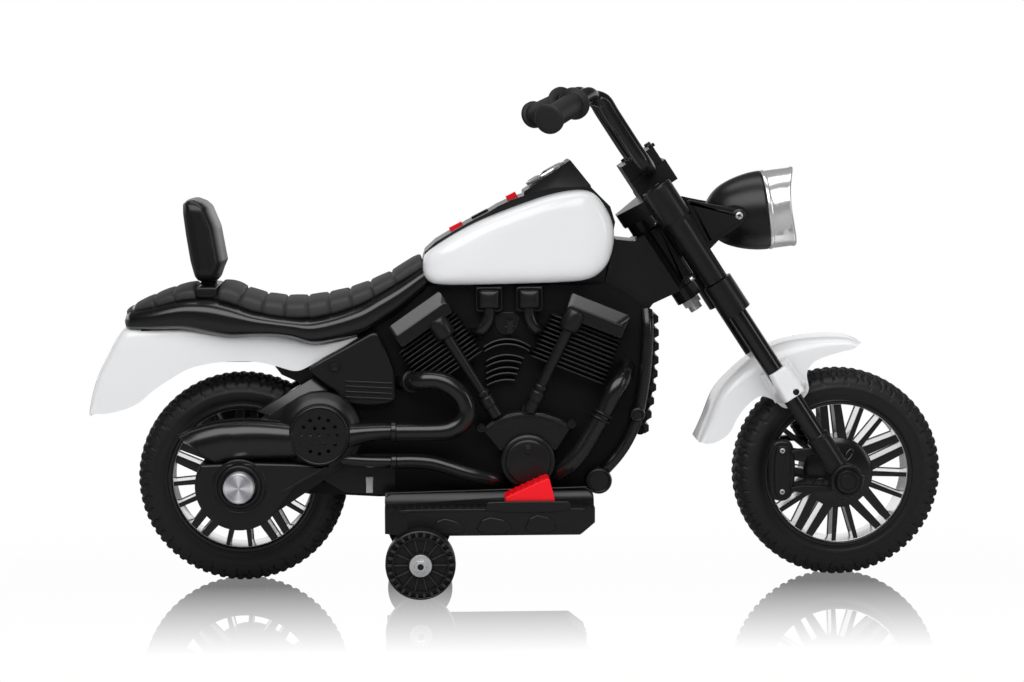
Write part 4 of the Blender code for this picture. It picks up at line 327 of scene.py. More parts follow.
def make_floor():
    """White to the camera, with a mirror that fades out round the toy; to the toy a board, darkened in its
    glossy reflections as painted shade.
    """
    mesh = bpy.data.meshes.new("floor")
    corners = [(-FLOOR_HALF, -FLOOR_HALF, 0), (FLOOR_HALF, -FLOOR_HALF, 0),
        (FLOOR_HALF, FLOOR_HALF, 0), (-FLOOR_HALF, FLOOR_HALF, 0)]
    mesh.from_pydata(corners, [], [(0, 1, 2, 3)])
    floor = bpy.data.objects.new("floor", mesh)
    board = Finish("white board", (FLOOR_WHITE,) * 3, 0.6)
    x, y = board.axis("X").size(), board.axis("Y")
    fades = [board.ramp(v, *reach, 1.0, 0.0) for v, reach in
        ((x, MIRROR_SIDES), (y, MIRROR_BACK), (0 - y, MIRROR_FRONT))]
    mirror = fades[0] * fades[1] * fades[2] * MIRROR_SHARE
    seen = board.node("LightPath", output="Is Camera Ray")
    glossy = board.node("LightPath", output="Is Glossy Ray")
    # To glossy rays the board's colour falls from white to dark grey: painted shade in its reflections on the
    # toy.
    board.feed("Base Color", board.tint(glossy * 0.75, board.colour, (0.05, 0.05, 0.05, 1)))
    sheen = board.node("BsdfPrincipled", {}, {
        "Base Color": (0.97, 0.97, 0.97, 1), "Metallic": 1.0, "Roughness": 0.0})
    light = board.node("Emission", {}, {"Color": (1, 1, 1, 1), "Strength": 1.0})
    shown = board.node("MixShader", {}, {0: mirror, 1: light, 2: sheen})
    mix = board.node("MixShader", {}, {0: seen, 1: Value(board, board.shader.outputs[0]), 2: shown})
    out = board.tree.nodes["Material Output"]
    board.tree.links.new(mix.socket, out.inputs["Surface"])
    mesh.materials.append(board.material)
    scene.collection.objects.link(floor)
    return floor


floor = make_floor()
print("floor", floor.name)

# %% [markdown]
# ## World
#
# The surroundings do three jobs: they are the white behind the toy, they fill the shadows, and they are
# what glossy black mirrors. Light Path keeps them apart. The camera, the floor's sharp mirror and what
# passes through the lens see white. Other reflections see a dim room with a white wall low behind the toy.
# The rest is a soft fill that grows from ground to ceiling.

# %% World
FILL_GROUND, FILL_CEILING = 0.16, 0.42
ROOM_DARK = 0.04


def make_world():
    """White to the camera, the floor's mirror and the lens; a dim room with a white wall to reflections."""
    world = bpy.data.worlds.new("studio")
    scene.world = world
    world.use_nodes = True
    graph = Graph(world.node_tree)
    place = graph.node("TexCoord", output="Generated")
    y, z = graph.axis("Y", place), graph.axis("Z", place)
    light = graph.ramp(z, -0.05, 0.75, FILL_GROUND, FILL_CEILING)
    behind = (graph.ramp(y, 0.1, 0.55) * graph.ramp(z, 0.2, 0.4, 1.0, 0.1)).at_least(ROOM_DARK)
    camera_ray, glossy, through, singular = (graph.node("LightPath", output="Is " + kind + " Ray")
        for kind in ("Camera", "Glossy", "Transmission", "Singular"))
    plain = graph.node("Mix", {"data_type": "FLOAT"}, {0: glossy, 2: light, 3: behind})
    seen = camera_ray.at_least(through).at_least(singular)
    strength = graph.node("Mix", {"data_type": "FLOAT"}, {0: seen, 2: plain, 3: 1.0})
    background = world.node_tree.nodes["Background"]
    graph.join(background.inputs["Color"], (1, 1, 1, 1))
    graph.join(background.inputs["Strength"], strength)
    return world


print("world", make_world().name)

# %% [markdown]
# ## Lamps
#
# Four softboxes light the toy. The key stands high on the near side, and its size sets how wide the
# highlights are. The overhead one draws the top edges, the front one reaches lamp and fork, and the one
# behind fills the far side without a highlight of its own.

# %% Lamps
LAMP_TARGET = Vector((0, 0, 0.25))
LAMPS = (
    ("key softbox", (-0.25, -1.45, 1.75), (2.5, 1.5), 33.0, True),
    ("overhead softbox", (0.1, 0.25, 2.2), (1.8, 0.8), 9.0, True),
    ("front softbox", (2.1, -1.3, 0.9), (0.5, 1.2), 4.0, True),
    ("back softbox", (0.2, 2.4, 1.4), (2.2, 1.0), 7.0, False),
)


def make_lamp(name, place, size, power, mirrored):
    """A softbox facing the toy; one that isn't mirrored gives light but no highlight."""
    light = bpy.data.lights.new(name, "AREA")
    light.shape, light.energy = "RECTANGLE", power
    light.size, light.size_y = size
    lamp = bpy.data.objects.new(name, light)
    lamp.visible_glossy = mirrored
    toward = LAMP_TARGET - Vector(place)
    lamp.matrix_world = Matrix.Translation(place) @ toward.to_track_quat("-Z", "Y").to_matrix().to_4x4()
    scene.collection.objects.link(lamp)


for lamp in LAMPS:
    make_lamp(*lamp)
print("lamps", len(LAMPS))

# %% [markdown]
# ## Surfaces from two parameters
#
# Nearly every piece below is a grid: rows of points along one parameter, columns along another. It starts
# from a line: an evenly spaced one, a closed one with softened corners, or an open one that flows through
# a few points. The outlines of the side view are in millimetres, as a maker would measure them.

# %% Lines
MM = 0.001


def side(points, shift=-0.5):
    """Points of the side view in millimetres as metres. The outlines were read half a millimetre ahead."""
    return (np.asarray(points, float) + (shift, 0)) * MM


def spaced(points, count, closed=False):
    """The same line with its points an equal length apart: each coordinate is interpolated over length."""
    points = np.asarray(points, float)
    if closed:
        points = np.vstack([points, points[:1]])
    length = np.concatenate([[0], np.cumsum(np.linalg.norm(np.diff(points, axis=0), axis=1))])
    at = np.linspace(0, length[-1], count, endpoint=not closed)
    return np.stack([np.interp(at, length, points[:, k]) for k in range(points.shape[1])], -1)


def softened(points, count, turns=2):
    """A closed line whose corners are cut: each turn puts two points at 1/4 and 3/4 of every side."""
    points = np.asarray(points, float)
    for _ in range(turns):
        after = np.roll(points, -1, 0)
        points = np.stack([0.75 * points + 0.25 * after, 0.25 * points + 0.75 * after], 1)
        points = points.reshape(-1, points.shape[-1])
    return spaced(points, count, closed=True)


def flowing(points, count):
    """An open line through the points: a cubic over each span, its slope half the step between neighbours."""
    p = np.asarray(points, float)
    p = np.vstack([2 * p[0] - p[1], p, 2 * p[-1] - p[-2]])
    t = np.linspace(0, len(p) - 3, 12 * len(p))
    i = np.minimum(t.astype(int), len(p) - 4)
    f = (t - i)[:, None]
    a, b, c, d = p[i], p[i + 1], p[i + 2], p[i + 3]
    line = 0.5 * (2 * b + (c - a) * f + (2 * a - 5 * b + 4 * c - d) * f**2 + (3 * b - a - 3 * c + d) * f**3)
    return spaced(line, count)


def circle(radius, sides):
    """Points at equal angles: radius·cos θ and radius·sin θ."""
    angle = np.arange(sides) * 2 * np.pi / sides
    return radius * np.stack([np.cos(angle), np.sin(angle)], -1)


def area(outline):
    """Signed area: half the sum of the cross products of neighbours; positive runs anticlockwise."""
    x, z = outline[:, 0], outline[:, 1]
    return 0.5 * np.sum(x * np.roll(z, -1) - z * np.roll(x, -1))


def inset(outline, distance):
    """A closed outline moved inwards: each point slides along the mean normal of its two sides."""
    ahead = np.roll(outline, -1, 0) - outline
    ahead /= np.maximum(np.linalg.norm(ahead, axis=1), 1e-9)[:, None]
    left = np.stack([-ahead[:, 1], ahead[:, 0]], -1)
    normal = left + np.roll(left, 1, 0)
    scale = np.maximum(np.sum(normal * left, axis=1), 0.35)
    return outline + normal / scale[:, None] * distance * np.sign(area(outline))


print("half a turn of a unit circle:", spaced(circle(1, 64)[:33], 3).round(2).tolist())

# %% [markdown]
# ## Surfaces
#
# A line becomes a surface in four ways here: turned round an axle, carried along a path, pushed through as
# a plate with a rounded rim, or drawn in towards a centre. Each gives rows and columns of points. The
# faces of a grid are always the same pattern of four indices, so no loop over points is needed.

# %% Surfaces
def faces_of(rows, columns, loop, first):
    """Four neighbours of a grid for each face; the columns join round, and the rows too in a loop."""
    r, c = np.meshgrid(np.arange(rows if loop else rows - 1), np.arange(columns), indexing="ij")
    r2, c2 = (r + 1) % rows, (c + 1) % columns
    quads = [r * columns + c, r * columns + c2, r2 * columns + c2, r2 * columns + c]
    return np.stack(quads, -1).reshape(-1, 4) + first


def turned(profile, centre, axis=(0, 1, 0), sides=48, start=0.0):
    """A profile of radius and distance round an axis: centre + axis·distance + radius·direction."""
    profile, axis = np.asarray(profile, float), np.asarray(axis, float) / np.linalg.norm(axis)
    first = np.cross(axis, (0.0, 0.0, 1.0) if abs(axis[2]) < 0.9 else (1.0, 0.0, 0.0))
    first /= np.linalg.norm(first)
    second = np.cross(axis, first)
    angle = start + np.arange(sides) * 2 * np.pi / sides
    ring = np.cos(angle)[:, None] * first + np.sin(angle)[:, None] * second
    return np.asarray(centre) + profile[:, None, 1:] * axis + profile[:, None, :1] * ring


def carried(path, section, across=(0, 1, 0)):
    """A closed section carried along a path; across, made square to the path, is its first direction."""
    path, section = np.asarray(path, float), np.asarray(section, float)
    ahead = np.gradient(path, axis=0)
    ahead /= np.linalg.norm(ahead, axis=1)[:, None]
    first = np.asarray(across, float) - (ahead @ np.asarray(across, float))[:, None] * ahead
    first /= np.linalg.norm(first, axis=1)[:, None]
    second = np.cross(ahead, first)
    return path[:, None] + section[..., 0, None] * first[:, None] + section[..., 1, None] * second[:, None]


def plate(outline, low, high, edge=0.001, back=0.0, steps=3):
    """A flat plate across the toy between two values of Y, seen from the side as an outline.

    Its rim turns over a quarter circle of radius `edge` at `high`; `back` is the same at `low`."""
    way = np.sign(high - low)
    turn = np.linspace(0, np.pi / 2, steps + 1)
    rings = [(0, low)]
    if back:
        rings = [(back * (1 - np.sin(t)), low + way * back * (1 - np.cos(t))) for t in turn]
    rings += [(edge * (1 - np.cos(t)), high - way * edge * (1 - np.sin(t))) for t in turn]
    shapes = [inset(outline, amount) for amount, _ in rings]
    grid = [np.stack([s[:, 0], np.full(len(s), y), s[:, 1]], -1) for s, (_, y) in zip(shapes, rings)]
    return np.stack(grid)


def swollen(outline, centre, share, y):
    """An outline drawn in: centre + share·(outline − centre), one row for each share and Y."""
    flat = centre + share[:, None, None] * (outline - centre)
    return np.stack([flat[..., 0], np.broadcast_to(y[:, None], flat.shape[:2]), flat[..., 1]], -1)


print("a grid of 3 rows and 8 columns has", len(faces_of(3, 8, False, 0)), "faces")

# %% [markdown]
# ## Forms
#
# A moulding is often several grids, such as a plate with its screws. `Form` gathers them into one mesh,
# gives each its finish, welds the seams and turns the faces outwards. `settle` makes it a piece of the
# toy: smooth with sharp edges, on the body that it rides on, for the solid that it stands for.

# %% Forms
WELD = 2e-6


class Form:
    """Gathers grids into one mesh, and makes it a piece of the toy."""

    def __init__(self, name):
        self.name, self.points, self.faces, self.spots, self.count = name, [], [], [], 0

    def add(self, grid, spot=0, loop=False, ends=True):
        """A grid of rows by columns of points, closed round its columns, in the finish number `spot`."""
        rows, columns = grid.shape[:2]
        faces = faces_of(rows, columns, loop, self.count).tolist()
        if ends and not loop:
            first = np.arange(columns) + self.count
            faces += [first[::-1].tolist(), (first + (rows - 1) * columns).tolist()]
        self.points.append(grid.reshape(-1, 3))
        self.faces += faces
        self.spots += [spot] * len(faces)
        self.count += rows * columns
        return self

    def make(self, body, finishes, replaces=(), sharp=35, even=True):
        """Welds the grids, turns their faces outwards and lets the piece ride on a body."""
        mesh = bpy.data.meshes.new(self.name)
        mesh.from_pydata(np.vstack(self.points).tolist(), [], self.faces)
        mesh.polygons.foreach_set("material_index", self.spots)
        shape = bmesh.new()
        shape.from_mesh(mesh)
        bmesh.ops.remove_doubles(shape, verts=shape.verts, dist=WELD)
        bmesh.ops.recalc_face_normals(shape, faces=shape.faces)
        shape.to_mesh(mesh)
        shape.free()
        return settle(self.name, mesh, body, finishes, replaces, sharp, even)


def settle(name, mesh, body, finishes, replaces=(), sharp=35, even=True):
    """Puts a finished mesh in the scene: edges steeper than `sharp` degrees stay sharp."""
    for finish in finishes:
        mesh.materials.append(finish.material)
    mesh.polygons.foreach_set("use_smooth", [True] * len(mesh.polygons))
    mesh.set_sharp_from_angle(angle=math.radians(sharp))
    piece = bpy.data.objects.new(name, mesh)
    scene.collection.objects.link(piece)
    if even:
        weighted = piece.modifiers.new("even shading", "WEIGHTED_NORMAL")
        weighted.keep_sharp = True
    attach(piece, body)
    if replaces:
        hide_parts(*([replaces] if isinstance(replaces, str) else replaces))
    print(name, len(mesh.polygons), "faces on", body)
    return piece


print("forms are welded within", WELD, "m")

# %% [markdown]
# ## Pieces whose shape is already right
#
# Battery, motor, gears, axles and the two frame shells are plain on the real toy too. They keep their mesh
# and get the finish of their slot. The solids that a new surface replaces get one as well, so that none is
# ever bare.

# %% Finishes for the solids
PLAIN_FINISHES = (SATIN, GLOSS, SEAT, GRIP, WHITE, RED, CHROME, ZINC, TUBE, GLASS, BOARD, NYLON)
SLOT_FINISH = {finish.slot: finish for finish in PLAIN_FINISHES}
SLOT_FINISH["silver_plastic"] = ZINC
SLOT_FINISH["tyre_black"] = FRONT_RUBBER
for sub in frame["record"]["subparts"]:
    node = NODES[sub["node"]]
    node.data.materials.clear()
    node.data.materials.append(SLOT_FINISH[sub["material_slot"]].material)

# %% [markdown]
# ## Copies of plain solids
#
# Where a plain solid shows, such as a yoke, a merged copy stands for it: its loose triangles are welded,
# its flat faces become one each and its shading is evened out. A copy can be cut off at a distance from
# the middle, to leave room for a new face, and a function can reshape it.

# %% Copies of plain solids
COPY_WELD = 1e-5
FLAT_WITHIN = math.radians(1)


def eased(node, finish, cut=None, change=None):
    """A merged copy of a solid. cut keeps what lies within a distance of Y = 0; change reshapes it."""
    mesh = NODES[node].data.copy()
    mesh.materials.clear()
    shape = bmesh.new()
    shape.from_mesh(mesh)
    bmesh.ops.remove_doubles(shape, verts=shape.verts, dist=COPY_WELD)
    if cut:
        way = math.copysign(1, sum(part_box(node)[i].y for i in (0, 1)))
        parts = shape.verts[:] + shape.edges[:] + shape.faces[:]
        made = bmesh.ops.bisect_plane(shape, geom=parts, plane_co=(0, way * cut, 0),
            plane_no=(0, way, 0), clear_outer=True)["geom_cut"]
        bmesh.ops.contextual_create(shape, geom=[e for e in made if isinstance(e, bmesh.types.BMEdge)])
    if change:
        change(shape)
    bmesh.ops.dissolve_limit(shape, angle_limit=FLAT_WITHIN, verts=shape.verts, edges=shape.edges)
    shape.to_mesh(mesh)
    shape.free()
    return settle(node + "_moulding", mesh, NODES[node]["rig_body"], [finish], node, sharp=28)


print("solids that can be copied:", len(NODES))

# %% [markdown]
# ## Tyres
#
# Each tyre is one blow-moulded ring with a road tread: a row of round knobs along each shoulder, which
# makes the silhouette bumpy, slanted cuts below them, and a smooth side wall. A displaced grid is the
# cheapest true shape: the section is one parameter, the angle round the axle the other, and the tread is a
# depth of both.

# %% Tread
KNOBS, CUTS = 72, 24
KNOB_HEIGHT, BLOCK_HEIGHT, CUT_DEPTH = 2.85 * MM, 2.0 * MM, 1.7 * MM
KNOBS_FROM, BLOCKS_FROM = 118 * MM, 120 * MM
CUTS_FROM, CUTS_REACH = 109 * MM, 14 * MM
WALL_CUTS = ((0.0, 0.03, 0.97), (0.5, 0.3, 1.0), (0.27, 0.55, 0.95))


def smooth_step(low, high, value):
    """0 below low, 1 above high, and a smooth S between: 3t² − 2t³."""
    t = np.clip((value - low) / (high - low), 0, 1)
    return t * t * (3 - 2 * t)


def tread_height(angle, radius, across):
    """Round knobs √(1 − c⁴), plus slanted blocks in the middle, minus curved side wall cuts."""
    width = np.abs(across) / MM
    turns = angle * KNOBS / (2 * np.pi)
    cell = ((turns + 0.5 * (across > 0)) % 1) - 0.5
    knob = np.clip(1 - (cell / 0.37) ** 4, 0, 1) ** 0.5
    on_knobs = smooth_step(6.5, 8.5, width) * (1 - smooth_step(18.5, 21.5, width)) * (radius > KNOBS_FROM)
    block = 1 - np.exp(-(((turns + width / 9 * 0.8) % 1 - 0.5) / 0.13) ** 2)
    on_blocks = (1 - smooth_step(5.5, 7.0, width)) * (radius > BLOCKS_FROM)
    height = KNOB_HEIGHT * knob * on_knobs + BLOCK_HEIGHT * block * on_blocks
    level = (radius - CUTS_FROM) / CUTS_REACH
    for start, low, high in WALL_CUTS:
        bend = 0.42 * level + 0.1 * np.sin(2 * np.pi * level) + start
        away = (angle * CUTS / (2 * np.pi) - bend) % 1 - 0.5
        inside = smooth_step(low, low + 0.12, level) * (1 - smooth_step(high - 0.12, high, level))
        height = height - CUT_DEPTH * np.exp(-(away / 0.034) ** 4) * inside
    return height


print("knobs round a tyre:", KNOBS, "on each shoulder")

# %% [markdown]
# ## Section of the tyre
#
# Half of the section is a list of radius and distance from the middle, from bead to crown. Each point is
# moved along the section's own normal by the tread height, so that the knobs stand square to the shoulder,
# as they come out of the mould.

# %% Tyres
TYRE_SECTION = np.array((
    (89.3, 0), (89.3, 24.5), (90.0, 26.5), (91.2, 28.2), (92.2, 28.4), (93.0, 27.8), (94.2, 28.4),
    (98, 29.5), (103, 30), (107, 29.6), (107.8, 28.8), (108.6, 28.7), (111, 28.6), (115, 27.2),
    (118.5, 24.8), (121.3, 21.4), (123.2, 17.5), (124.2, 13), (124.8, 8), (125, 0),
)) * MM
TYRE_MIDDLE = (107 * MM, 0)


def make_tyre(name, axle, body, node, finish):
    """The section swept round the axle, each point moved along the section's normal by the tread height."""
    half = spaced(TYRE_SECTION, 42)
    section = np.vstack([half, (half * (1, -1))[-2:0:-1]])
    along = np.roll(section, -1, 0) - np.roll(section, 1, 0)
    normal = np.stack([along[:, 1], -along[:, 0]], -1)
    normal /= np.linalg.norm(normal, axis=1)[:, None]
    normal *= np.sign(np.sum(normal * (section - TYRE_MIDDLE), axis=1))[:, None]
    angle = np.arange(KNOBS * 10) * 2 * np.pi / (KNOBS * 10)
    a, r, y = angle[None], section[:, :1], section[:, 1:]
    height = tread_height(a, r, y)
    r, y = r + normal[:, :1] * height, y + normal[:, 1:] * height
    grid = np.stack([axle[0] + r * np.cos(a), y + 0 * a, axle[1] + r * np.sin(a)], -1)
    form = Form(name).add(grid, loop=True)
    return form.make(body, [finish], node, sharp=50, even=False)


make_tyre("rear_tyre_tread", REAR_AXLE, "rear_wheel", "rear_tyre", REAR_RUBBER)
make_tyre("front_tyre_tread", FRONT_AXLE, "front_wheel", "front_tyre", FRONT_RUBBER)

# %% [markdown]
# ## Rims
#
# Each rim is a black moulding whose spokes come in pairs, wide and narrow, with a plated liner behind
# them: the faces are black, the flanks and the barrel shine. So a spoke is two black straps over a
# narrower plated web, copied round the axle by angle.

# %% Spokes
SPOKE_STARTS = {"rear": math.radians(14), "front": math.radians(24.3)}
SPOKE_GROUPS = 5
SPOKE_ROOT, SPOKE_TIP = 38 * MM, 86.5 * MM
WIDE_PAIR, NARROW_PAIR = (15.5, 5.4, 11.5, 8.8), (9.2, 9.3, 6.6, 5.2)
WEB_LESS = 1.6


def spoke_outline(axle, root, tip, inner_width, outer_width):
    """Four corners of a spoke that leaves the hub at one angle and meets the ring at another."""
    start = np.array((math.cos(root), math.sin(root))) * SPOKE_ROOT
    end = np.array((math.cos(tip), math.sin(tip))) * SPOKE_TIP
    way = (end - start) / np.linalg.norm(end - start)
    across = np.array((-way[1], way[0]))
    a, b = inner_width / 2 * MM, outer_width / 2 * MM
    corners = [start - across * a, end - across * b, end + across * b, start + across * a]
    return np.array(axle) + np.array(corners)


def spoke_shapes(form, axle, first):
    """Pairs of spokes round the axle: a strap on each face over a narrower plated web."""
    for group in range(SPOKE_GROUPS):
        for pair, (root, tip, inner, outer) in ((0, WIDE_PAIR), (0.5, NARROW_PAIR)):
            middle = first + (group + pair) * 2 * math.pi / SPOKE_GROUPS
            for way in (-1, 1):
                angles = [middle + way * math.radians(v) for v in (root, tip)]
                shape = spoke_outline(axle, *angles, inner, outer)
                web = spoke_outline(axle, *angles, inner - WEB_LESS, outer - WEB_LESS)
                for face in (-1, 1):
                    form.add(plate(shape, face * 18.5 * MM, face * 22 * MM, 0.9 * MM, steps=2), 0)
                form.add(plate(web, -19 * MM, 19 * MM, 0.1 * MM, steps=1), 1)


print("spokes of a wheel:", SPOKE_GROUPS * 4)

# %% [markdown]
# ## Hub, ring and liner
#
# Ring, plated liner and domed hub are turned, each from a profile of radius and distance that is mirrored
# for the far side. Five oval beads on the hub mark the real one's hollows for its screws.

# %% Rims
RIM_RING = np.array(((85, 25.2), (85.4, 27.6), (86.4, 28.4), (88.6, 28.6), (90.4, 28.0), (90.8, 27.0),
    (89.0, 26.4), (88.6, 25.0))) * MM
RIM_LINER = np.array(((84.5, 24.8), (85.1, 25.3), (88.0, 25.3), (88.0, -25.3), (85.1, -25.3), (84.5, -24.8),
    (83.6, -8), (83.6, 8))) * MM
HUB = np.array(((0, 34.5), (12, 34.5), (12.6, 33.9), (12.6, 28.5), (24, 27.6), (36, 25.6), (41.5, 23.6),
    (43, 22.4), (43.2, 20))) * MM
BEAD_RADIUS = 1.0 * MM


def both_faces(profile):
    """A profile and its mirror on the far side."""
    return np.vstack([profile, (profile * (1, -1))[::-1]])


def bead_round(path):
    """A bead along a closed path: its circle lies in Y and in the path's direction × Y."""
    bead = circle(BEAD_RADIUS, 8)
    ahead = np.roll(path, -1, 0) - np.roll(path, 1, 0)
    ahead /= np.linalg.norm(ahead, axis=1)[:, None]
    flat = np.cross(ahead, (0.0, 1.0, 0.0))
    return path[:, None] + bead[:, 0, None] * (0, 1.0, 0) + bead[:, 1, None] * flat[:, None]


def hub_beads(form, axle, first):
    """Five ovals (26 + 7.5 cos t, 3.2 sin t) on each face of the hub, turned to the narrow pairs."""
    turn = np.linspace(0, 2 * np.pi, 33)[:-1]
    u, v = 26 * MM + 7.5 * MM * np.cos(turn), 3.2 * MM * np.sin(turn)
    for group in range(SPOKE_GROUPS):
        angle = first + (group + 0.5) * 2 * math.pi / SPOKE_GROUPS
        for face in (-1, 1):
            y = face * (27.4 - 2.0 * (u / MM - 24) / 12) * MM
            x = axle[0] + u * math.cos(angle) - v * math.sin(angle)
            z = axle[1] + u * math.sin(angle) + v * math.cos(angle)
            form.add(bead_round(np.stack([x, y, z], -1)), 0, loop=True)


def make_rim(name, axle, first, body, node):
    """Ring, plated liner, spokes and hub of one wheel."""
    place = (axle[0], 0, axle[1])
    form = Form(name)
    form.add(turned(both_faces(RIM_RING), place, sides=120), 0, loop=True)
    form.add(turned(RIM_LINER, place, sides=120), 1, loop=True)
    spoke_shapes(form, axle, first)
    form.add(turned(both_faces(HUB), place, sides=96), 0)
    hub_beads(form, axle, first)
    return form.make(body, [GLOSS, CHROME], node, sharp=40)


make_rim("rear_wheel_rim", REAR_AXLE, SPOKE_STARTS["rear"], "rear_wheel", "rear_rim")
make_rim("front_wheel_rim", FRONT_AXLE, SPOKE_STARTS["front"], "front_wheel", "front_rim")

# %% [markdown]
# ## Places on the toy
#
# Two sets of axes make the numbers readable. The body is drawn in millimetres from the rear axle. The fork
# leans back by 33 degrees, so its pieces are placed along its slope and ahead of it. Two shapes come back
# on many pieces: an oval between a circle and a square, and a screw with a cross in its head.

# %% Places, ovals and screws
RAKE = math.radians(33)
SLOPE = np.array((-math.sin(RAKE), 0, math.cos(RAKE)))
ACROSS = np.array((math.cos(RAKE), 0, math.sin(RAKE)))
SIDES = (("right", -1), ("left", 1))


def both(make):
    """Makes the right piece and then the left one."""
    for name, way in SIDES:
        make(name, way)


def body_at(points):
    """Drawn body millimetres, measured from the rear axle, as metres."""
    return np.asarray(points, float) * MM + REAR_AXLE


def fork(along, ahead, y=0.0):
    """Front axle + slope·along + across·ahead, and y to the left."""
    along, ahead, y = np.broadcast_arrays(*(np.asarray(v, float)[..., None] for v in (along, ahead, y)))
    return np.array((FRONT_AXLE[0], 0, FRONT_AXLE[1])) + along * SLOPE + ahead * ACROSS + y * (0, 1.0, 0)


def oval(count, power, start=0.0):
    """Points of a unit superellipse: signed cos and sin raised to 2/power; power 2 is a circle."""
    angle = start + np.arange(count) * 2 * np.pi / count
    c, s = np.cos(angle), np.sin(angle)
    return np.stack([np.sign(c) * np.abs(c) ** (2 / power), np.sign(s) * np.abs(s) ** (2 / power)], -1)


def bead(wide, high, count=12, power=3):
    """The section of a bead or rib: an oval, its halves in millimetres."""
    return oval(count, power) * (wide * MM, high * MM)


def screw(form, spot, centre, out, radius=3.5 * MM, height=1.8 * MM, turn=0.6):
    """A domed head with two crossing bars over it, in the finish `spot` and the one after it."""
    out = np.asarray(out, float)
    profile = np.array(((1.0, -0.2), (1.0, 0.35), (0.88, 0.75), (0.6, 0.95), (0.38, 1.0), (0.3, 0.45),
        (0.01, 0.4)))
    form.add(turned(profile * (radius, height), centre, out, 20, turn), spot, ends=False)
    first = np.cross(out, SLOPE if abs(out[1]) > 0.5 else (0, 1, 0))
    first /= np.linalg.norm(first)
    second = np.cross(out, first)
    for angle in (turn, turn + math.pi / 2):
        way = first * math.cos(angle) + second * math.sin(angle)
        beside = np.cross(out, way)
        bar = np.array([way * a * radius * 0.62 + beside * b * radius * 0.11 for a, b in
            ((1, 1), (-1, 1), (-1, -1), (1, -1))]) + centre
        form.add(np.stack([bar + out * height * 0.5, bar + out * height * 1.01]), spot + 1)


print("fork axis meets the bar at", fork(0.4405, 0.005).round(3).tolist())

# %% [markdown]
# ## Tank
#
# The two white panels are glossy injection mouldings that hook into the black console between them. Each
# is an outline drawn in towards a centre while it moves outwards, by a superellipse of power 4.8: a broad
# nearly flat face with a full rounded edge. A subdivided box would round its corners more than its sides.

# %% Tank panels
TANK_OUTLINE = body_at((
    (222, 272), (221, 253), (225, 244), (235, 237), (284, 237), (339, 238), (394, 239.5), (418, 242),
    (432, 249), (443, 262), (449, 282), (450, 301), (445, 319), (434, 337), (423, 347), (409, 349),
    (390, 347), (368, 342), (339, 332), (312, 322), (285, 311), (257, 296), (235, 282),
))
TANK_CENTRE = body_at((345, 288))
TANK_GROWTH = 1.01
TANK_INNER, TANK_FACE, TANK_POWER = 0.0405, 0.085, 4.8


def make_tank_panel(name, way):
    """Rows of the superellipse from the rim inwards: share = cos^(2/p), depth = sin^(2/p)."""
    turn = np.linspace(0, np.pi / 2, 22)
    share, depth = np.cos(turn) ** (2 / TANK_POWER), np.sin(turn) ** (2 / TANK_POWER)
    share[-1] = 0
    outline = TANK_CENTRE + (softened(TANK_OUTLINE, 160) - TANK_CENTRE) * TANK_GROWTH
    y = way * (TANK_INNER + (TANK_FACE - TANK_INNER) * depth)
    form = Form("tank_shell_" + name)
    form.add(swollen(outline, TANK_CENTRE, share, y))
    return form.make("body", [WHITE], "tank_panel_" + name, sharp=60, even=False)


both(make_tank_panel)

# %% [markdown]
# ## Console, keys and dial
#
# The console is one black moulding with its keys set flush, so copies of the solids are right. The dial on
# its pod is new: a turned bright bezel round a dark face. Its ticks and needle are raised bars, which show
# at any angle, where the real ones are printed or moulded.

# %% Console and keys
eased("tank_console", SATIN)
for key, key_finish in (("start_button", RED), ("sound_button", SATIN), ("direction_switch", RED)):
    eased(key, key_finish)

# %% Dial
POD_SLOPE = math.radians(30)
POD_PLACE = body_at((371, 367.5))
DIAL_LIFT = 0.8 * MM
DIAL_RING = np.array(((26, -2), (27, 0.2), (26.4, 1.8), (24.8, 2.2), (23.6, 1.4), (23.4, 0.2),
    (23.3, -2))) * MM
DIAL_FACE = np.array(((23.6, 0.2), (12, 0.25), (0.01, 0.3))) * MM
DIAL_KNOB = np.array(((2.6, 0.3), (2.6, 2.0), (1.8, 2.6), (0.01, 2.7))) * MM
TICKS, FIRST_TICK, TICK_STEP, TICK_RADIUS = 21, -120, 12, 21.5
NEEDLE_ANGLE = 1.9
NEEDLE = ((17, -0.3), (17, 0.3), (-4, 1.0), (-4, -1.0))


def dial_bar(form, spot, centre, way, up, corners, levels):
    """Corners of distance along a direction and beside it, between two levels over the face."""
    beside = np.cross(up, way)
    bar = np.array([centre + way * r * MM + beside * s * MM for r, s in corners])
    form.add(np.stack([bar + up * level * MM for level in levels]), spot)


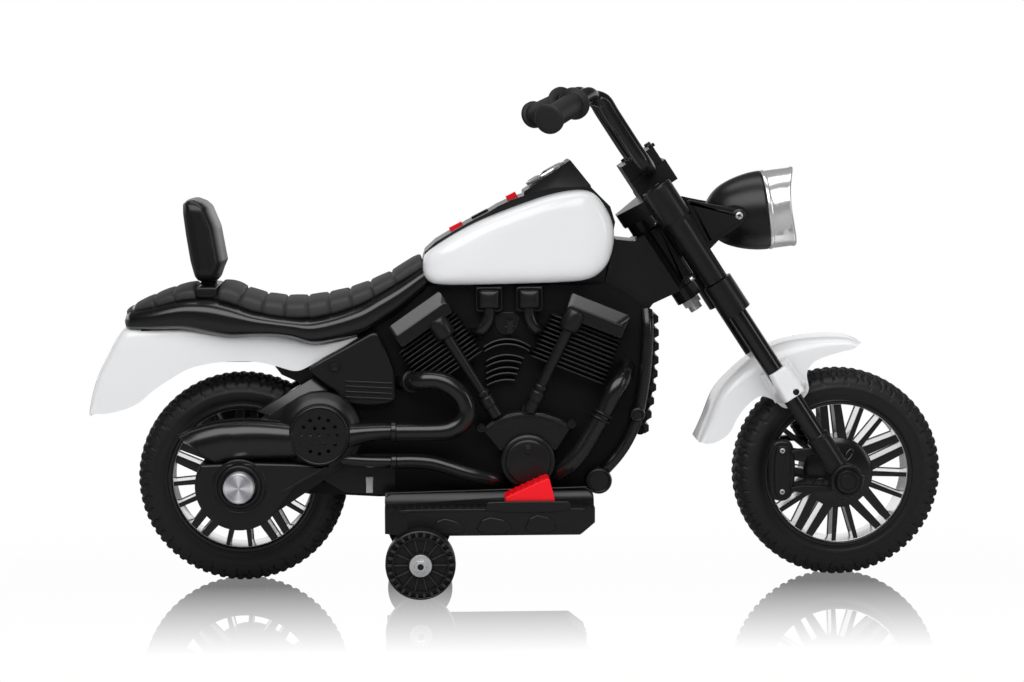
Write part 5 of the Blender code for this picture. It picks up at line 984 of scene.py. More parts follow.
def make_dial():
    """A round dial on the pod: ring and face turned round its axis, ticks at equal angles and a needle."""
    up = np.array((-math.sin(POD_SLOPE), 0, math.cos(POD_SLOPE)))
    ahead = np.array((math.cos(POD_SLOPE), 0, math.sin(POD_SLOPE)))
    left = np.array((0, 1.0, 0))
    centre = np.array((POD_PLACE[0], 0, POD_PLACE[1])) + up * DIAL_LIFT
    form = Form("dial")
    form.add(turned(DIAL_RING, centre, up, 64), 0, ends=False)
    form.add(turned(DIAL_FACE, centre, up, 64), 1, ends=False)
    for tick in range(TICKS):
        angle = math.radians(FIRST_TICK + TICK_STEP * tick)
        inner = TICK_RADIUS - (4.5 if tick % 5 == 0 else 2.6)
        corners = ((TICK_RADIUS, -0.45), (TICK_RADIUS, 0.45), (inner, 0.45), (inner, -0.45))
        dial_bar(form, 2, centre, ahead * math.cos(angle) + left * math.sin(angle), up, corners, (0.3, 0.7))
    way = ahead * math.cos(NEEDLE_ANGLE) + left * math.sin(NEEDLE_ANGLE)
    dial_bar(form, 3, centre, way, up, NEEDLE, (0.5, 1.4))
    form.add(turned(DIAL_KNOB, centre, up, 24), 1, ends=False)
    return form.make("body", [CHROME, SATIN, WHITE, RED], sharp=40, even=False)


make_dial()

# %% [markdown]
# ## Seat
#
# The seat is hard plastic: a glossy base whose rim shows as one long highlight, and on it a matt moulding
# that only looks padded. The base is a row of closed sections from the tail to the tank. Each station
# gives its place, underside, rim, top and half width, and a flowing line through them gives all the
# sections between.

# %% Seat base
SEAT_STATIONS = np.array((
    (-140, 180, 204, 207, 44), (-128, 181, 209, 213, 56), (-104, 181, 213, 224, 64),
    (-68, 181, 222, 236, 70), (-38, 175, 224, 239, 74), (-12, 171, 219, 236, 76), (16, 173, 208, 226, 77),
    (40, 173.5, 202, 220, 77), (62, 171, 199, 218, 77), (87, 163.5, 199, 218, 77), (115, 167, 205, 223, 76),
    (143, 173, 215, 230, 74), (159, 180, 223, 237, 72), (191, 200, 242, 251, 66), (224, 228, 261, 272, 60),
))
SEAT_ROWS = 150
SEAT_LEDGE = 5 * MM
TAIL_ROUND = 9 * MM


def make_seat_base():
    """Superellipse sections between the underside and the rim; the tail is drawn in by a quarter turn."""
    line = flowing(SEAT_STATIONS, SEAT_ROWS)
    x = line[:, 0] * MM + REAR_AXLE[0]
    under, rim = line[:, 1] * MM + REAR_AXLE[1], line[:, 2] * MM + REAR_AXLE[1]
    rim += np.minimum(SEAT_LEDGE, 0.4 * (line[:, 3] - line[:, 2]) * MM)
    half = line[:, 4] * MM
    tail = np.clip((x - x[0]) / TAIL_ROUND, 0, 1)
    drawn = np.sqrt(np.clip(1 - (1 - tail) ** 2, 0.02, 1))
    shape = oval(96, 2.4)
    shape[shape[:, 1] < 0] = oval(96, 3.4)[shape[:, 1] < 0]
    y = half[:, None] * (0.45 + 0.55 * drawn[:, None]) * shape[:, 0]
    middle, tall = (under + rim) / 2, (rim - under) / 2
    z = middle[:, None] + tall[:, None] * drawn[:, None] * shape[:, 1]
    grid = np.stack([np.broadcast_to(x[:, None], y.shape), y, z], -1)
    return Form("seat_shell").add(grid).make("body", [GLOSS], "seat_base", sharp=60, even=False)


make_seat_base()

# %% [markdown]
# ## Seat top
#
# The top has thirteen cross ribs with crisp gaps, as a mould makes them, so it gets no pressed-in look of
# foam and no cloth. The ribs are a depth along the section's own normals: full in the gaps, and a shallow
# arch in between. The rib under the backrest's foot is left out.

# %% Seat top
RIB_GAPS = np.array((-464, -438.2, -414.2, -388.1, -360.8, -334.2, -307.6, -281.7, -255, -228.9, -202.2,
    -176.9, -150.8, -115.0)) * MM
GAP_HALF, RIB_HALF = 1.5 * MM, 13.3 * MM
RIB_DEPTH, RIB_SIDE = 3.2 * MM, 3.0 * MM
STEM_RIB = (-388.1 * MM, -360.8 * MM)
STEM_SINK = -1.6
PAD_TOP = side(((-472, 329), (-470, 333), (-463, 338), (-441, 348), (-416, 357.5), (-399, 362), (-377, 365),
    (-360, 365), (-343, 363), (-335, 357), (-310, 349), (-283, 345), (-255, 345), (-227, 349),
    (-205, 353.5), (-180, 362), (-152, 374.5), (-116, 396.5)))
PAD_ROWS, PAD_SMOOTH = 13 * 20 + 1, 13
PAD_INSET, PAD_CROWN = 11 * MM, 3 * MM


def rib_shape(x):
    """0 in the gaps between ribs and 1 on them, with an arch of a fifth over each rib."""
    away = np.min(np.abs(x[:, None] - RIB_GAPS), axis=1)
    gap = 1 - np.exp(-(away / GAP_HALF) ** 2)
    arch = np.clip(away / RIB_HALF, 0, 1)
    return gap * (0.8 + 0.2 * (1 - (1 - arch) ** 2))


def make_seat_pad():
    """Ovals square to the top line; the upper half sinks by (1 − rib)·depth and swells by 1 − y²."""
    line = spaced(PAD_TOP, PAD_ROWS)
    stations = SEAT_STATIONS * MM
    x = line[:, 0]
    top = np.convolve(np.pad(line[:, 1], PAD_SMOOTH // 2, "edge"), np.ones(PAD_SMOOTH) / PAD_SMOOTH, "valid")
    rim = np.interp(x - REAR_AXLE[0], stations[:, 0], stations[:, 2]) + REAR_AXLE[1]
    half = np.interp(x - REAR_AXLE[0], stations[:, 0], stations[:, 4]) - PAD_INSET
    ahead = np.stack([np.gradient(x), np.gradient(top)], -1)
    ahead /= np.linalg.norm(ahead, axis=1)[:, None]
    normal = np.stack([-ahead[:, 1], ahead[:, 0]], -1)
    stem = (x > STEM_RIB[0]) & (x < STEM_RIB[1])
    sunk = 1 - np.where(stem, STEM_SINK, rib_shape(x))[:, None]
    shape = oval(64, 4.2)
    high = np.abs(shape[:, 1])
    lift = np.where(shape[:, 1] > 0, 1.0, 0.0)
    tall = (top - rim)[:, None] / 2 + 2 * MM
    up = tall * shape[:, 1] - lift * sunk * RIB_DEPTH * high**0.5
    crown = PAD_CROWN * (1 - shape[:, 0] ** 2) * lift * high
    middle = np.stack([x, (top + rim) / 2 - 2 * MM], -1) - normal * 0.5 * MM
    spot = middle[:, None] + (up + crown)[..., None] * normal[:, None]
    wide = half[:, None] - sunk * RIB_SIDE
    grid = np.stack([spot[..., 0], wide * shape[:, 0], spot[..., 1]], -1)
    return Form("seat_ribs").add(grid).make("body", [SEAT], "seat_pad", sharp=60, even=False)


make_seat_pad()

# %% [markdown]
# ## Backrest
#
# A blow-moulded paddle on a short stem, with a foot plate that covers the hole in the seat. Its side view
# is two lines, its front view a rounded rectangle, and each row up is an oval between them. Two thin beads
# down each side are the lines where the real covers meet.

# %% Backrest
BACK_REAR = side(((-385, 311), (-385, 352), (-387, 368), (-391, 374), (-396, 392), (-401, 424), (-404, 449),
    (-404, 461), (-399, 465.5), (-390, 467)))
BACK_FRONT = side(((-366, 311), (-366, 352), (-364, 368), (-361, 372), (-358, 381), (-353.5, 391),
    (-361, 433), (-371, 457), (-378, 463), (-390, 467)))
BACK_FOOT_PLATE = side(((-387.5, 350), (-387.5, 361), (-384, 362.6), (-365, 362.6), (-361.5, 361),
    (-361.5, 350)))
BACK_HALF, STEM_HALF, BACK_CORNER = 57 * MM, 20 * MM, 16 * MM
BACK_FOOT, BACK_LAST, BACK_TOP = 369 * MM, 466.2 * MM, 467.5 * MM
BACK_SEAMS = ((0.28, 0.7), (0.62, 0.5))


def make_backrest():
    """Ovals from the rear line to the front one; half width less r − √(r² − d²) at the corners."""
    z = np.concatenate([np.linspace(0.33, 0.3665, 5), BACK_FOOT + (BACK_LAST - BACK_FOOT) *
        (1 - np.cos(np.linspace(0, np.pi, 48))) / 2])
    rear, front = (np.interp(z, line[:, 1], line[:, 0]) for line in (BACK_REAR, BACK_FRONT))
    low = np.clip((z - BACK_FOOT) / BACK_CORNER, 0, 1)
    high = np.clip((BACK_TOP - z) / BACK_CORNER, 0, 1)
    inwards = BACK_CORNER * (2 - np.sqrt(1 - (1 - low) ** 2) - np.sqrt(1 - (1 - high) ** 2))
    half = np.where(z < BACK_FOOT - 1 * MM, STEM_HALF, BACK_HALF - inwards)
    shape = oval(72, 3.6)
    thick = (front - rear)[:, None] / 2 * np.where(z < BACK_FOOT, 0.85, 1.0)[:, None]
    x = (front + rear)[:, None] / 2 + thick * shape[:, 0]
    grid = np.stack([x, half[:, None] * shape[:, 1], np.broadcast_to(z[:, None], x.shape)], -1)
    form = Form("backrest_shell").add(grid)
    form.add(plate(softened(BACK_FOOT_PLATE, 60, 1), -59 * MM, 59 * MM, 2 * MM, 2 * MM))
    keep = (z > BACK_FOOT + 12 * MM) & (z < 452 * MM)
    for part, size in BACK_SEAMS:
        seam = np.stack([rear[keep] + (front - rear)[keep] * part, half[keep] * 0.998, z[keep]], -1)
        for way in (1, -1):
            form.add(carried(seam * (1, way, 1), circle(size * MM, 8), (1, 0, 0)))
    return form.make("body", [SATIN], "backrest", sharp=60, even=False)


make_backrest()

# %% [markdown]
# ## Rear fender
#
# The fender is one thin white moulding that runs under the seat and down the tail, with sides over the
# wheel. Its rows join the top line to the lower edge, its columns go over the top by a superellipse of
# power 9, once outside and once inside, which gives the wall.

# %% Rear fender
FENDER_TOP = side(((-516, 207), (-518, 212), (-514, 235), (-507, 257), (-494, 283), (-481, 306),
    (-470, 313), (-440, 314), (-404, 314), (-374, 311), (-352, 309), (-330, 309),
    (-303, 308), (-275, 303), (-249, 295), (-221, 297), (-195, 302.5)))
FENDER_EDGE = side(((-513, 211), (-510, 211), (-497, 211), (-478, 215), (-459, 223), (-442, 237),
    (-423, 250), (-398, 264), (-370, 271), (-340, 273), (-315, 272), (-293, 267),
    (-271, 261), (-257, 264.5), (-232, 279), (-213, 289), (-195, 300)))
FENDER_HALF, FENDER_WALL, FENDER_POWER = 56.4 * MM, 2.8 * MM, 9


def arched(top, edge, half, wall, power, columns=40):
    """A shell over a wheel, θ from -90° to 90°: out by sin^(2/p), down from the top by 1 − cos^(2/p)."""
    turn = np.linspace(-np.pi / 2, np.pi / 2, columns)
    out = np.sign(turn) * np.abs(np.sin(turn)) ** (2 / power)
    down = 1 - np.cos(turn) ** (2 / power)
    down[[0, -1]] = 1
    way = edge - top
    share = wall / np.linalg.norm(way, axis=1)[:, None]
    rows = []
    for wide, part in ((out * half, np.broadcast_to(down, (len(top), columns))),
            (out[::-1] * (half - wall), share + (1 - share) * down[::-1])):
        spot = top[:, None] + way[:, None] * part[..., None]
        rows.append(np.stack([spot[..., 0], np.broadcast_to(wide, part.shape), spot[..., 1]], -1))
    return np.concatenate(rows, axis=1)


def make_rear_fender():
    """The arch between the top line and the lower edge, in 56 columns because its corners are tight."""
    top, edge = flowing(FENDER_TOP, 120), flowing(FENDER_EDGE, 120)
    form = Form("rear_fender_shell").add(arched(top, edge, FENDER_HALF, FENDER_WALL, FENDER_POWER, 56))
    return form.make("body", [WHITE], "rear_fender", sharp=50, even=False)


make_rear_fender()

# %% [markdown]
# ## Front fender
#
# The front fender is made the same way, and on each side a sleeve reaches out to the fork tube that passes
# through it. They are one moulding with flowing fillets, so each sleeve is a sheet along the fork that
# swells outwards as a bell and whose foot runs into the shell at a flat angle.

# %% Front fender
GUARD_TOP = side(((417.5, 289), (403, 294), (380, 295.5), (346, 293), (316, 286), (288, 272), (260, 248),
    (241, 225), (228, 193), (218, 169)))
GUARD_EDGE = side(((408, 282), (381, 275), (359, 266), (350, 252), (352, 231), (340, 216), (329, 210),
    (320, 211), (307, 221), (292, 224), (277, 213), (266, 199), (255, 179), (240, 169),
    (228, 166.5)))
GUARD_HALF, GUARD_WALL, GUARD_POWER = 45 * MM, 2.4 * MM, 5
LEG_SPREAD = 0.079
SLEEVE_FOOT, SLEEVE_DEPTH = 45.5 * MM, 50.3 * MM
SLEEVE_SCREW = (0.1245, 0.0067, 0.095)


def sleeve(way):
    """Rows down the fork; in each, depth / (1 + s^9) outwards, s being the place over the half width."""
    along = np.concatenate([(157.8, 157.8, 157.4, 156.6), np.linspace(155, 122, 20),
        (120.6, 119.8, 119.4, 119.4)])
    share = np.concatenate([(0, 0.95, 0.985), np.ones(22), (0.985, 0.95, 0)])
    wide = np.interp(along, (119, 158), (17.6, 14.4))[:, None]
    out = np.linspace(-1, 1, 64) * (wide + 5)
    bell = 1 / (1 + np.abs(out / wide) ** 9) * share[:, None]
    return fork(along[:, None] * MM, (out + 3) * MM, way * (SLEEVE_FOOT + SLEEVE_DEPTH * bell))


def make_front_fender():
    """The shell and two sleeves, each with the screw that holds it to the fork tube."""
    top, edge = flowing(GUARD_TOP, 110), flowing(GUARD_EDGE, 110)
    form = Form("front_fender_shell").add(arched(top, edge, GUARD_HALF, GUARD_WALL, GUARD_POWER))
    along, ahead, out = SLEEVE_SCREW
    for _, way in SIDES:
        form.add(sleeve(way))
        screw(form, 1, tuple(fork(along, ahead, way * out)), (0, way, 0), 4.0 * MM, 1.8 * MM)
    return form.make("steering", [WHITE, SATIN, GLOSS], "front_fender", sharp=45, even=False)


make_front_fender()

# %% [markdown]
# ## Fork legs
#
# Seen close, each leg is three turned pieces: a smooth tube and a wider slider on one slanted axis, and
# the axle end lying across. Each is one short list of radius and distance. The brake caliper behind the
# leg is a dummy, a plate on two arms.

# %% Fork legs
FORK_TUBE = np.array(((11.4, 50), (11.4, 399), (10.6, 400), (0.01, 400))) * MM
FORK_SLIDER = np.array(((12.0, -3), (13.8, 0), (13.8, 56), (13.3, 57), (13.3, 58.2), (13.8, 59), (13.8, 62),
    (13.0, 63.5), (10.3, 63.8))) * MM
AXLE_END = np.array(((0.01, 64.5), (17, 64.5), (19.2, 65.5), (20, 67.5), (20, 95.5), (19.2, 97.8),
    (17.5, 98.5), (15.6, 98.5), (15.0, 98.0), (14.6, 98.6), (14.0, 104.2), (13.2, 105.3),
    (10.5, 105.5), (10, 104.9), (9.2, 104.9), (8.6, 105.5), (0.01, 105.6))) * MM
CALIPER = np.array(((-89, -24), (-80, -28), (-70, -28), (-61, -21), (-58, 10), (-61, 44), (-72, 46),
    (-86, 45), (-91, 20))) * MM + FRONT_AXLE
CALIPER_SCREWS = ((-75, 34), (-75, -16))
CALIPER_ARMS = ((28, 36, 15), (-18, -8, 9))


def caliper_shapes(form, way):
    """A softened plate with a raised face and two screws, on two arms that reach to the axle end."""
    shape = softened(CALIPER, 60)
    form.add(plate(shape, way * 0.05, way * 0.068, 3 * MM, 1.5 * MM, steps=4), 1)
    form.add(plate(inset(shape, 6 * MM), way * 0.067, way * 0.0715, 1.2 * MM, steps=3), 1)
    for low, high, near in CALIPER_ARMS:
        arm = np.array(((-64, low), (-near, low + 1.5), (-near, high - 1.5), (-64, high))) * MM + FRONT_AXLE
        form.add(plate(softened(arm, 40, 1), way * 0.06, way * 0.072, 1 * MM, 0.6 * MM), 1)
    for x, z in CALIPER_SCREWS:
        place = (FRONT_AXLE[0] + x * MM, way * 0.0715, FRONT_AXLE[1] + z * MM)
        screw(form, 2, place, (0, way, 0), 3.2 * MM)


def make_fork_leg(name, way):
    """Tube and slider turned round the fork's slope, the axle end round Y, and the caliper."""
    base = fork(0, 0, way * LEG_SPREAD)
    form = Form("fork_tube_" + name)
    form.add(turned(FORK_TUBE, base, SLOPE, 40), 0, ends=False)
    form.add(turned(FORK_SLIDER, base, SLOPE, 40), 1)
    form.add(turned(AXLE_END, (FRONT_AXLE[0], 0, FRONT_AXLE[1]), (0, way, 0), 56), 1)
    caliper_shapes(form, way)
    return form.make("steering", [TUBE, SATIN, ZINC, SATIN], "fork_leg_" + name, sharp=40)


print("fork legs stand", round(2 * LEG_SPREAD, 3), "m apart")

# %% [markdown]
# ## Fork covers and yokes
#
# Above the lower yoke a thick cover hides each tube, with a hexagon bolt on top. The yokes and the
# handlebar's clamp are plain mouldings, so copies of the solids are right. A hexagon is a turned profile
# with six sides.

# %% Fork covers and yokes
FORK_COVER = np.array(((10.9, 287), (13.6, 286.6), (14.5, 287.6), (14.7, 330), (15.4, 366), (16.4, 373),
    (18.4, 375.5), (19, 377), (19, 418), (18.2, 421), (16.5, 422), (14.5, 421.6),
    (13.8, 420.4), (0.01, 420.2))) * MM
COVER_BOLT = np.array(((6.5, 0), (6.5, 3), (5.8, 3.7), (0.01, 3.8))) * MM
COVER_BOLT_ALONG = 0.4203


def make_fork_cover(name, way):
    """The cover turned round the fork's slope, and its bolt."""
    form = Form("fork_sleeve_" + name)
    form.add(turned(FORK_COVER, fork(0, 0, way * LEG_SPREAD), SLOPE, 48), ends=False)
    form.add(turned(COVER_BOLT, fork(COVER_BOLT_ALONG, 0, way * LEG_SPREAD), SLOPE, 6), 1, ends=False)
    return form.make("steering", [SATIN, SATIN], "fork_cover_" + name, sharp=40)


def make_fork_side(name, way):
    """One leg and its cover."""
    make_fork_leg(name, way)
    make_fork_cover(name, way)


both(make_fork_side)
for solid in ("upper_yoke", "lower_yoke", "handlebar_clamp"):
    eased(solid, SATIN)

# %% [markdown]
# ## Nose of the frame
#
# The frame's two halves meet in front of the head tube in a rounded nose. The frame itself keeps its solid,
# so the nose is a plate of its own across the middle, rounded on both sides.

# %% Nose of the frame
NOSE = np.array(((301, -34), (375, -34), (376.5, -32), (376.5, -18), (374, -15.2), (304, -15.2),
    (300, -19))) * MM
NOSE_HALF, NOSE_EDGE = 19 * MM, 5 * MM


def make_neck_nose():
    """An outline along the fork and ahead of it, seen from the side, as a plate."""
    outline = spaced(fork(NOSE[:, 0], NOSE[:, 1])[:, [0, 2]], 90, closed=True)
    form = Form("neck_nose")
    form.add(plate(outline, -NOSE_HALF, NOSE_HALF, NOSE_EDGE, NOSE_EDGE, steps=5))
    return form.make("body", [SATIN], sharp=40)


make_neck_nose()

# %% [markdown]
# ## Handlebar
#
# One bent and powder coated tube, held by a clamp with four socket screws: up beside the risers, over the
# knee and back to the grips. A circle is carried along a flowing line, of which only half is listed,
# because the other half is its mirror. The grips are turned, each with a flange at its inner end and a cap
# at the outer one.

# %% Handlebar and grips
CLAMP_BOLT = np.array(((4.2, -1), (4.2, 2.4), (3.6, 3.2), (2.4, 3.2), (2.2, 1.2), (0.01, 1.0))) * MM
CLAMP_ALONG, CLAMP_AHEAD, CLAMP_OUT = 0.461, (-0.0085, 0.0255), 0.0285
BAR_HEIGHT, BAR_FORWARD, BAR_SWEEP, BAR_RADIUS = 0.4405, 0.005, 0.045, 9.5 * MM
BAR_RISE = ((0.0, 0.0), (0.041, 0.0), (0.049, 0.0), (0.065, 0.003), (0.0745, 0.014), (0.077, 0.03),
    (0.078, 0.08), (0.079, 0.1))
BAR_KNEE = ((0.1109, -0.0094, 0.085), (0.1177, -0.0145, 0.098))
GRIP_START, GRIP_END = (0.1194, -0.0337, 0.13), (0.1231, -0.0724, 0.205)


def make_clamp_bolts():
    """Four socket heads on the clamp."""
    form = Form("clamp_bolts")
    for _, way in SIDES:
        for ahead in CLAMP_AHEAD:
            place = fork(CLAMP_ALONG, ahead, way * CLAMP_OUT)
            form.add(turned(CLAMP_BOLT, place, SLOPE, 24), ends=False)
    return form.make("steering", [SATIN], sharp=40)


def bar_place(place, way=1):
    """Points of rise, ahead and sideways from the clamp, as places on the toy."""
    rise, ahead, y = np.asarray(place, float).T
    return fork(BAR_HEIGHT + rise, BAR_FORWARD + ahead, way * y)


def make_handlebar():
    """A circle carried along the flowing line of one half and its mirror, into the grips."""
    half = [(rise, -BAR_SWEEP * min(rise, 0.03), y) for y, rise in BAR_RISE] + list(BAR_KNEE) + [GRIP_START]
    start, end = (np.array(v) for v in (GRIP_START, GRIP_END))
    half = bar_place(half + [tuple(start + (end - start) * 0.9)])
    path = flowing(np.vstack([(half * (1, -1, 1))[:0:-1], half]), 260)
    form = Form("handlebar_tube").add(carried(path, circle(BAR_RADIUS, 28), ACROSS))
    return form.make("steering", [TUBE], "handlebar", sharp=60, even=False)


def make_grip(name, way):
    """Soft grip: flange, gentle swell in the middle and a rounded cap."""
    start, end = bar_place(GRIP_START, way), bar_place(GRIP_END, way)
    long = np.linalg.norm(end - start) / MM
    at = np.linspace(7, long - 8, 120)
    middle = np.stack([13.3 + 0.4 * np.sin((at - 7) / (long - 15) * np.pi), at], -1)
    front = ((9.7, 0.2), (18.2, 0), (19.3, 1.0), (19.3, 3.2), (18.0, 4.4), (14.2, 5.2), (13.4, 6.2))
    back = ((14.6, long - 6.5), (17.0, long - 6.0), (17.5, long - 5.0), (17.5, long - 1.6),
        (16.2, long - 0.3), (12, long), (0.01, long))
    profile = np.vstack([front, middle, back]) * MM
    form = Form("soft_grip_" + name).add(turned(profile, start, end - start, 40), ends=False)
    return form.make("steering", [GRIP], "grip_" + name, sharp=50, even=False)


make_clamp_bolts()
make_handlebar()
both(make_grip)

# %% [markdown]
# ## Headlight
#
# A bullet lamp tips up by 7 degrees on two side screws. Its shell is turned from a flowing profile. The
# plated ring in front is turned too, but its edge isn't flat: it peaks above the lens and falls back at
# the sides, so each point is moved by its height and its distance across.

# %% Headlight ring and shell
LAMP_TILT, LAMP_RADIUS = math.radians(7), 48.5
LAMP_AHEAD_WAY = np.array((math.cos(LAMP_TILT), 0, math.sin(LAMP_TILT)))
LAMP_BACK_WAY = -LAMP_AHEAD_WAY
LAMP_UP = np.array((-math.sin(LAMP_TILT), 0, math.cos(LAMP_TILT)))
LAMP_FRONT = fork(0.3032, 0.1325)
LAMP_SCREW, LAMP_CHEEK = LAMP_FRONT - LAMP_AHEAD_WAY * 0.073, 0.036
PEAK_TOP, PEAK_FOOT, PEAK_SIDE, RING_LENGTH = 5.0, -3.0, -8.0, 31 * MM
SCREW_BOSS = np.array(((9.5, 0), (8.4, 7), (8, 9), (8, 13.6), (7.4, 14.1), (0.01, 14.1))) * MM
SCREW_RING = np.array(((8.2, 17.4), (8.2, 18.4), (7.6, 18.9), (0.01, 18.9))) * MM


def make_lamp_ring():
    """A turned ring whose front edge peaks by top·|up|³ − side·across², less towards the back."""
    r = LAMP_RADIUS
    profile = np.array(((r - 3.4, 0.3), (r - 1.6, 0), (r - 0.3, 0.7), (r + 0.2, 2.2), (r - 0.1, 4),
        (r - 0.6, 5), (r - 0.6, 30), (r - 0.3, 31.2), (r + 0.3, 32), (r + 0.3, 34.8),
        (r - 0.4, 35.8), (r - 3, 36), (r - 3.2, 12), (r - 4.2, 10))) * MM
    ring = turned(profile, LAMP_FRONT, LAMP_BACK_WAY, 96)
    away = ring - LAMP_FRONT
    up, across = away @ LAMP_UP / (r * MM), away[..., 1] / (r * MM)
    peak = np.where(up > 0, PEAK_TOP, PEAK_FOOT) * np.abs(up) ** 3 + PEAK_SIDE * across**2
    weight = np.clip(1 - profile[:, 1] / RING_LENGTH, 0, 1)[:, None]
    ring = ring + (peak * weight)[..., None] * MM * LAMP_AHEAD_WAY
    form = Form("headlight_ring").add(ring, loop=True)
    return form.make("headlight", [CHROME], "headlight_bezel", sharp=50, even=False)


def make_lamp_shell():
    """The bullet turned round the lamp's axis, and on each side a boss, a ring and the screw it tilts on."""
    r = LAMP_RADIUS
    bullet = flowing(((r - 0.2, 39.5), (r - 0.6, 46), (r - 1.3, 52), (r - 3.2, 62), (r - 6, 72),
        (r - 9.8, 82), (r - 14.4, 90.5), (r - 21, 98.5), (r - 29, 104.8), (r - 38, 108.6),
        (0.01, 110)), 60)
    profile = np.vstack([((r - 3, 36.4), (r - 0.9, 36.5), (r - 0.2, 37.4)), bullet]) * MM
    form = Form("headlight_bowl")
    form.add(turned(profile, LAMP_FRONT, LAMP_BACK_WAY, 96), ends=False)
    for _, way in SIDES:
        root = LAMP_SCREW + (0, way * LAMP_CHEEK, 0)
        form.add(turned(SCREW_BOSS, root, (0, way, 0), 32), ends=False)
        form.add(turned(SCREW_RING, root, (0, way, 0), 32), ends=False)
        screw(form, 1, root + (0, way * SCREW_RING[-1, 1], 0), (0, way, 0), 4.6 * MM, 1.6 * MM)
    return form.make("headlight", [SATIN, ZINC, SATIN], "headlight_shell", sharp=45, even=False)


make_lamp_ring()
make_lamp_shell()

# %% [markdown]
# ## Reflector and lens
#
# The plated bowl is a parabola: its depth grows with the square of the radius, as in a real reflector. The
# lens is a closed body two millimetres thick, because clear plastic without a back face bends no light.

# %% Reflector and lens
BOWL_DEPTH, BOWL_LENGTH = 34, 24
BULB = flowing(((4.2, 34), (4.2, 27), (5.6, 22), (5.2, 18), (2.6, 15.2), (0.01, 14.8)), 20) * MM
LENS_EDGE, LENS_DOME, LENS_THICK = 5.0, 5.4, 2.0


def make_reflector():
    """Distance = depth − length·share², with a wall behind it, and a small bulb."""
    share = np.linspace(0.12, 1, 24)
    inner = np.stack([share * (LAMP_RADIUS - 4.6), BOWL_DEPTH - BOWL_LENGTH * share**2], -1)
    wall = np.vstack([inner, (inner + (0.8, 1.2))[::-1]]) * MM
    form = Form("reflector").add(turned(wall, LAMP_FRONT, LAMP_BACK_WAY, 72), 0, loop=True)
    form.add(turned(BULB, LAMP_FRONT, LAMP_BACK_WAY, 32), 1, ends=False)
    return form.make("headlight", [CHROME, NYLON], sharp=60, even=False)


def make_lens():
    """Distance = edge + dome·share^2.2, and the same again one thickness behind."""
    share = np.linspace(0, 1, 20)
    outer = np.stack([share * (LAMP_RADIUS - 4.4), LENS_EDGE + LENS_DOME * share**2.2], -1)
    lens = np.vstack([outer, (outer + (0, LENS_THICK))[::-1]]) * MM
    form = Form("headlight_glass").add(turned(lens, LAMP_FRONT, LAMP_BACK_WAY, 72), ends=False)
    return form.make("headlight", [GLASS], "headlight_lens", sharp=60, even=False)


make_reflector()
make_lens()

# %% [markdown]
# ## Headlight bracket
#
# Two cheeks hold the lamp between them. Their crossbar is hidden and keeps its solid's shape, but the
# cheeks show, with a raised panel that stiffens the real pressing.

# %% Headlight bracket
BRACKET = side(((199, 466), (219, 461), (259, 454), (273, 447), (273, 440), (267, 433), (234, 411),
    (229, 410), (223, 417), (212, 438)))
CHEEK, CHEEK_PANEL = (0.0503, 0.0537), (0.053, 0.055)


def make_bracket():
    """A plate and a smaller plate on it, on each side of the lamp."""
    form = Form("lamp_cheeks")
    shape = softened(BRACKET, 90, 2)
    for _, way in SIDES:
        form.add(plate(shape, way * CHEEK[0], way * CHEEK[1], 1 * MM, 0.6 * MM))
        form.add(plate(inset(shape, 5 * MM), way * CHEEK_PANEL[0], way * CHEEK_PANEL[1], 1 * MM))
    return form.make("steering", [SATIN], sharp=40)


make_bracket()
eased("headlight_bracket", SATIN)

# %% [markdown]
# ## Engine: banks of fins
#
# The engine is a dummy: each side is one blow-moulded panel with everything raised on it. The plain panel
# keeps its solid up to its face, and what is raised stands on it as new shapes. First come the two leaning
# cylinders. Their points are millimetres across and down the bank, so a fin is one short bar, eleven
# times, and the head cover is a few rows drawn in to its long bevel.

# %% Banks of fins
PANEL_SKIN = 0.0515
BANKS = (((217, 197), math.radians(35)), ((428, 200), math.radians(-22)))
FINS, FIRST_FIN, FIN_STEP, FIN_THICK, FIN_FACE = 11, 17.5, 5.5, 2.3, 0.0775
CORE, CORE_FACE = (-26, 26, 8, 76, 3), 0.059
HEAD_ROWS = ((PANEL_SKIN, 38, -15, 15), (0.077, 38, -15, 15), (0.0784, 37.7, -14.4, 15),
    (0.085, 37.0, -1.8, 14.8), (0.0862, 36.6, -0.5, 14.3), (0.0868, 35.6, 0.5, 13.4))


def on_side(line, y, way):
    """Points of the side view at distances y from the middle, on one side of the toy."""
    line = np.asarray(line)
    return np.stack([line[:, 0], np.broadcast_to(way * np.asarray(y, float), len(line)), line[:, 1]], -1)


def boss(form, profile, spot, way, sides, finish=0, base=0.0):
    """A profile in millimetres turned round an axis across the toy, through a place of the side view."""
    centre = (spot[0], way * base, spot[1])
    form.add(turned(np.array(profile) * MM, centre, (0, way, 0), sides), finish, ends=False)


def bar_shape(centre, lean, left, right, top, foot, corner=1.5, count=40):
    """A bar of a bank, its corners quarter circles: centre + u·across + v·down."""
    turn = np.linspace(0, np.pi / 2, 5)
    points = []
    for quarter, (u, v, out_u, out_v) in enumerate((
            (right, foot, 1, 1), (left, foot, -1, 1), (left, top, -1, -1), (right, top, 1, -1))):
        angle = turn + quarter * np.pi / 2
        points.append(np.stack([u + corner * (np.cos(angle) - out_u),
                                v + corner * (np.sin(angle) - out_v)], -1))
    u, v = spaced(np.vstack(points), count, closed=True).T
    across, down = (math.cos(lean), math.sin(lean)), (math.sin(lean), -math.cos(lean))
    return body_at(centre) + (u[:, None] * across + v[:, None] * down) * MM


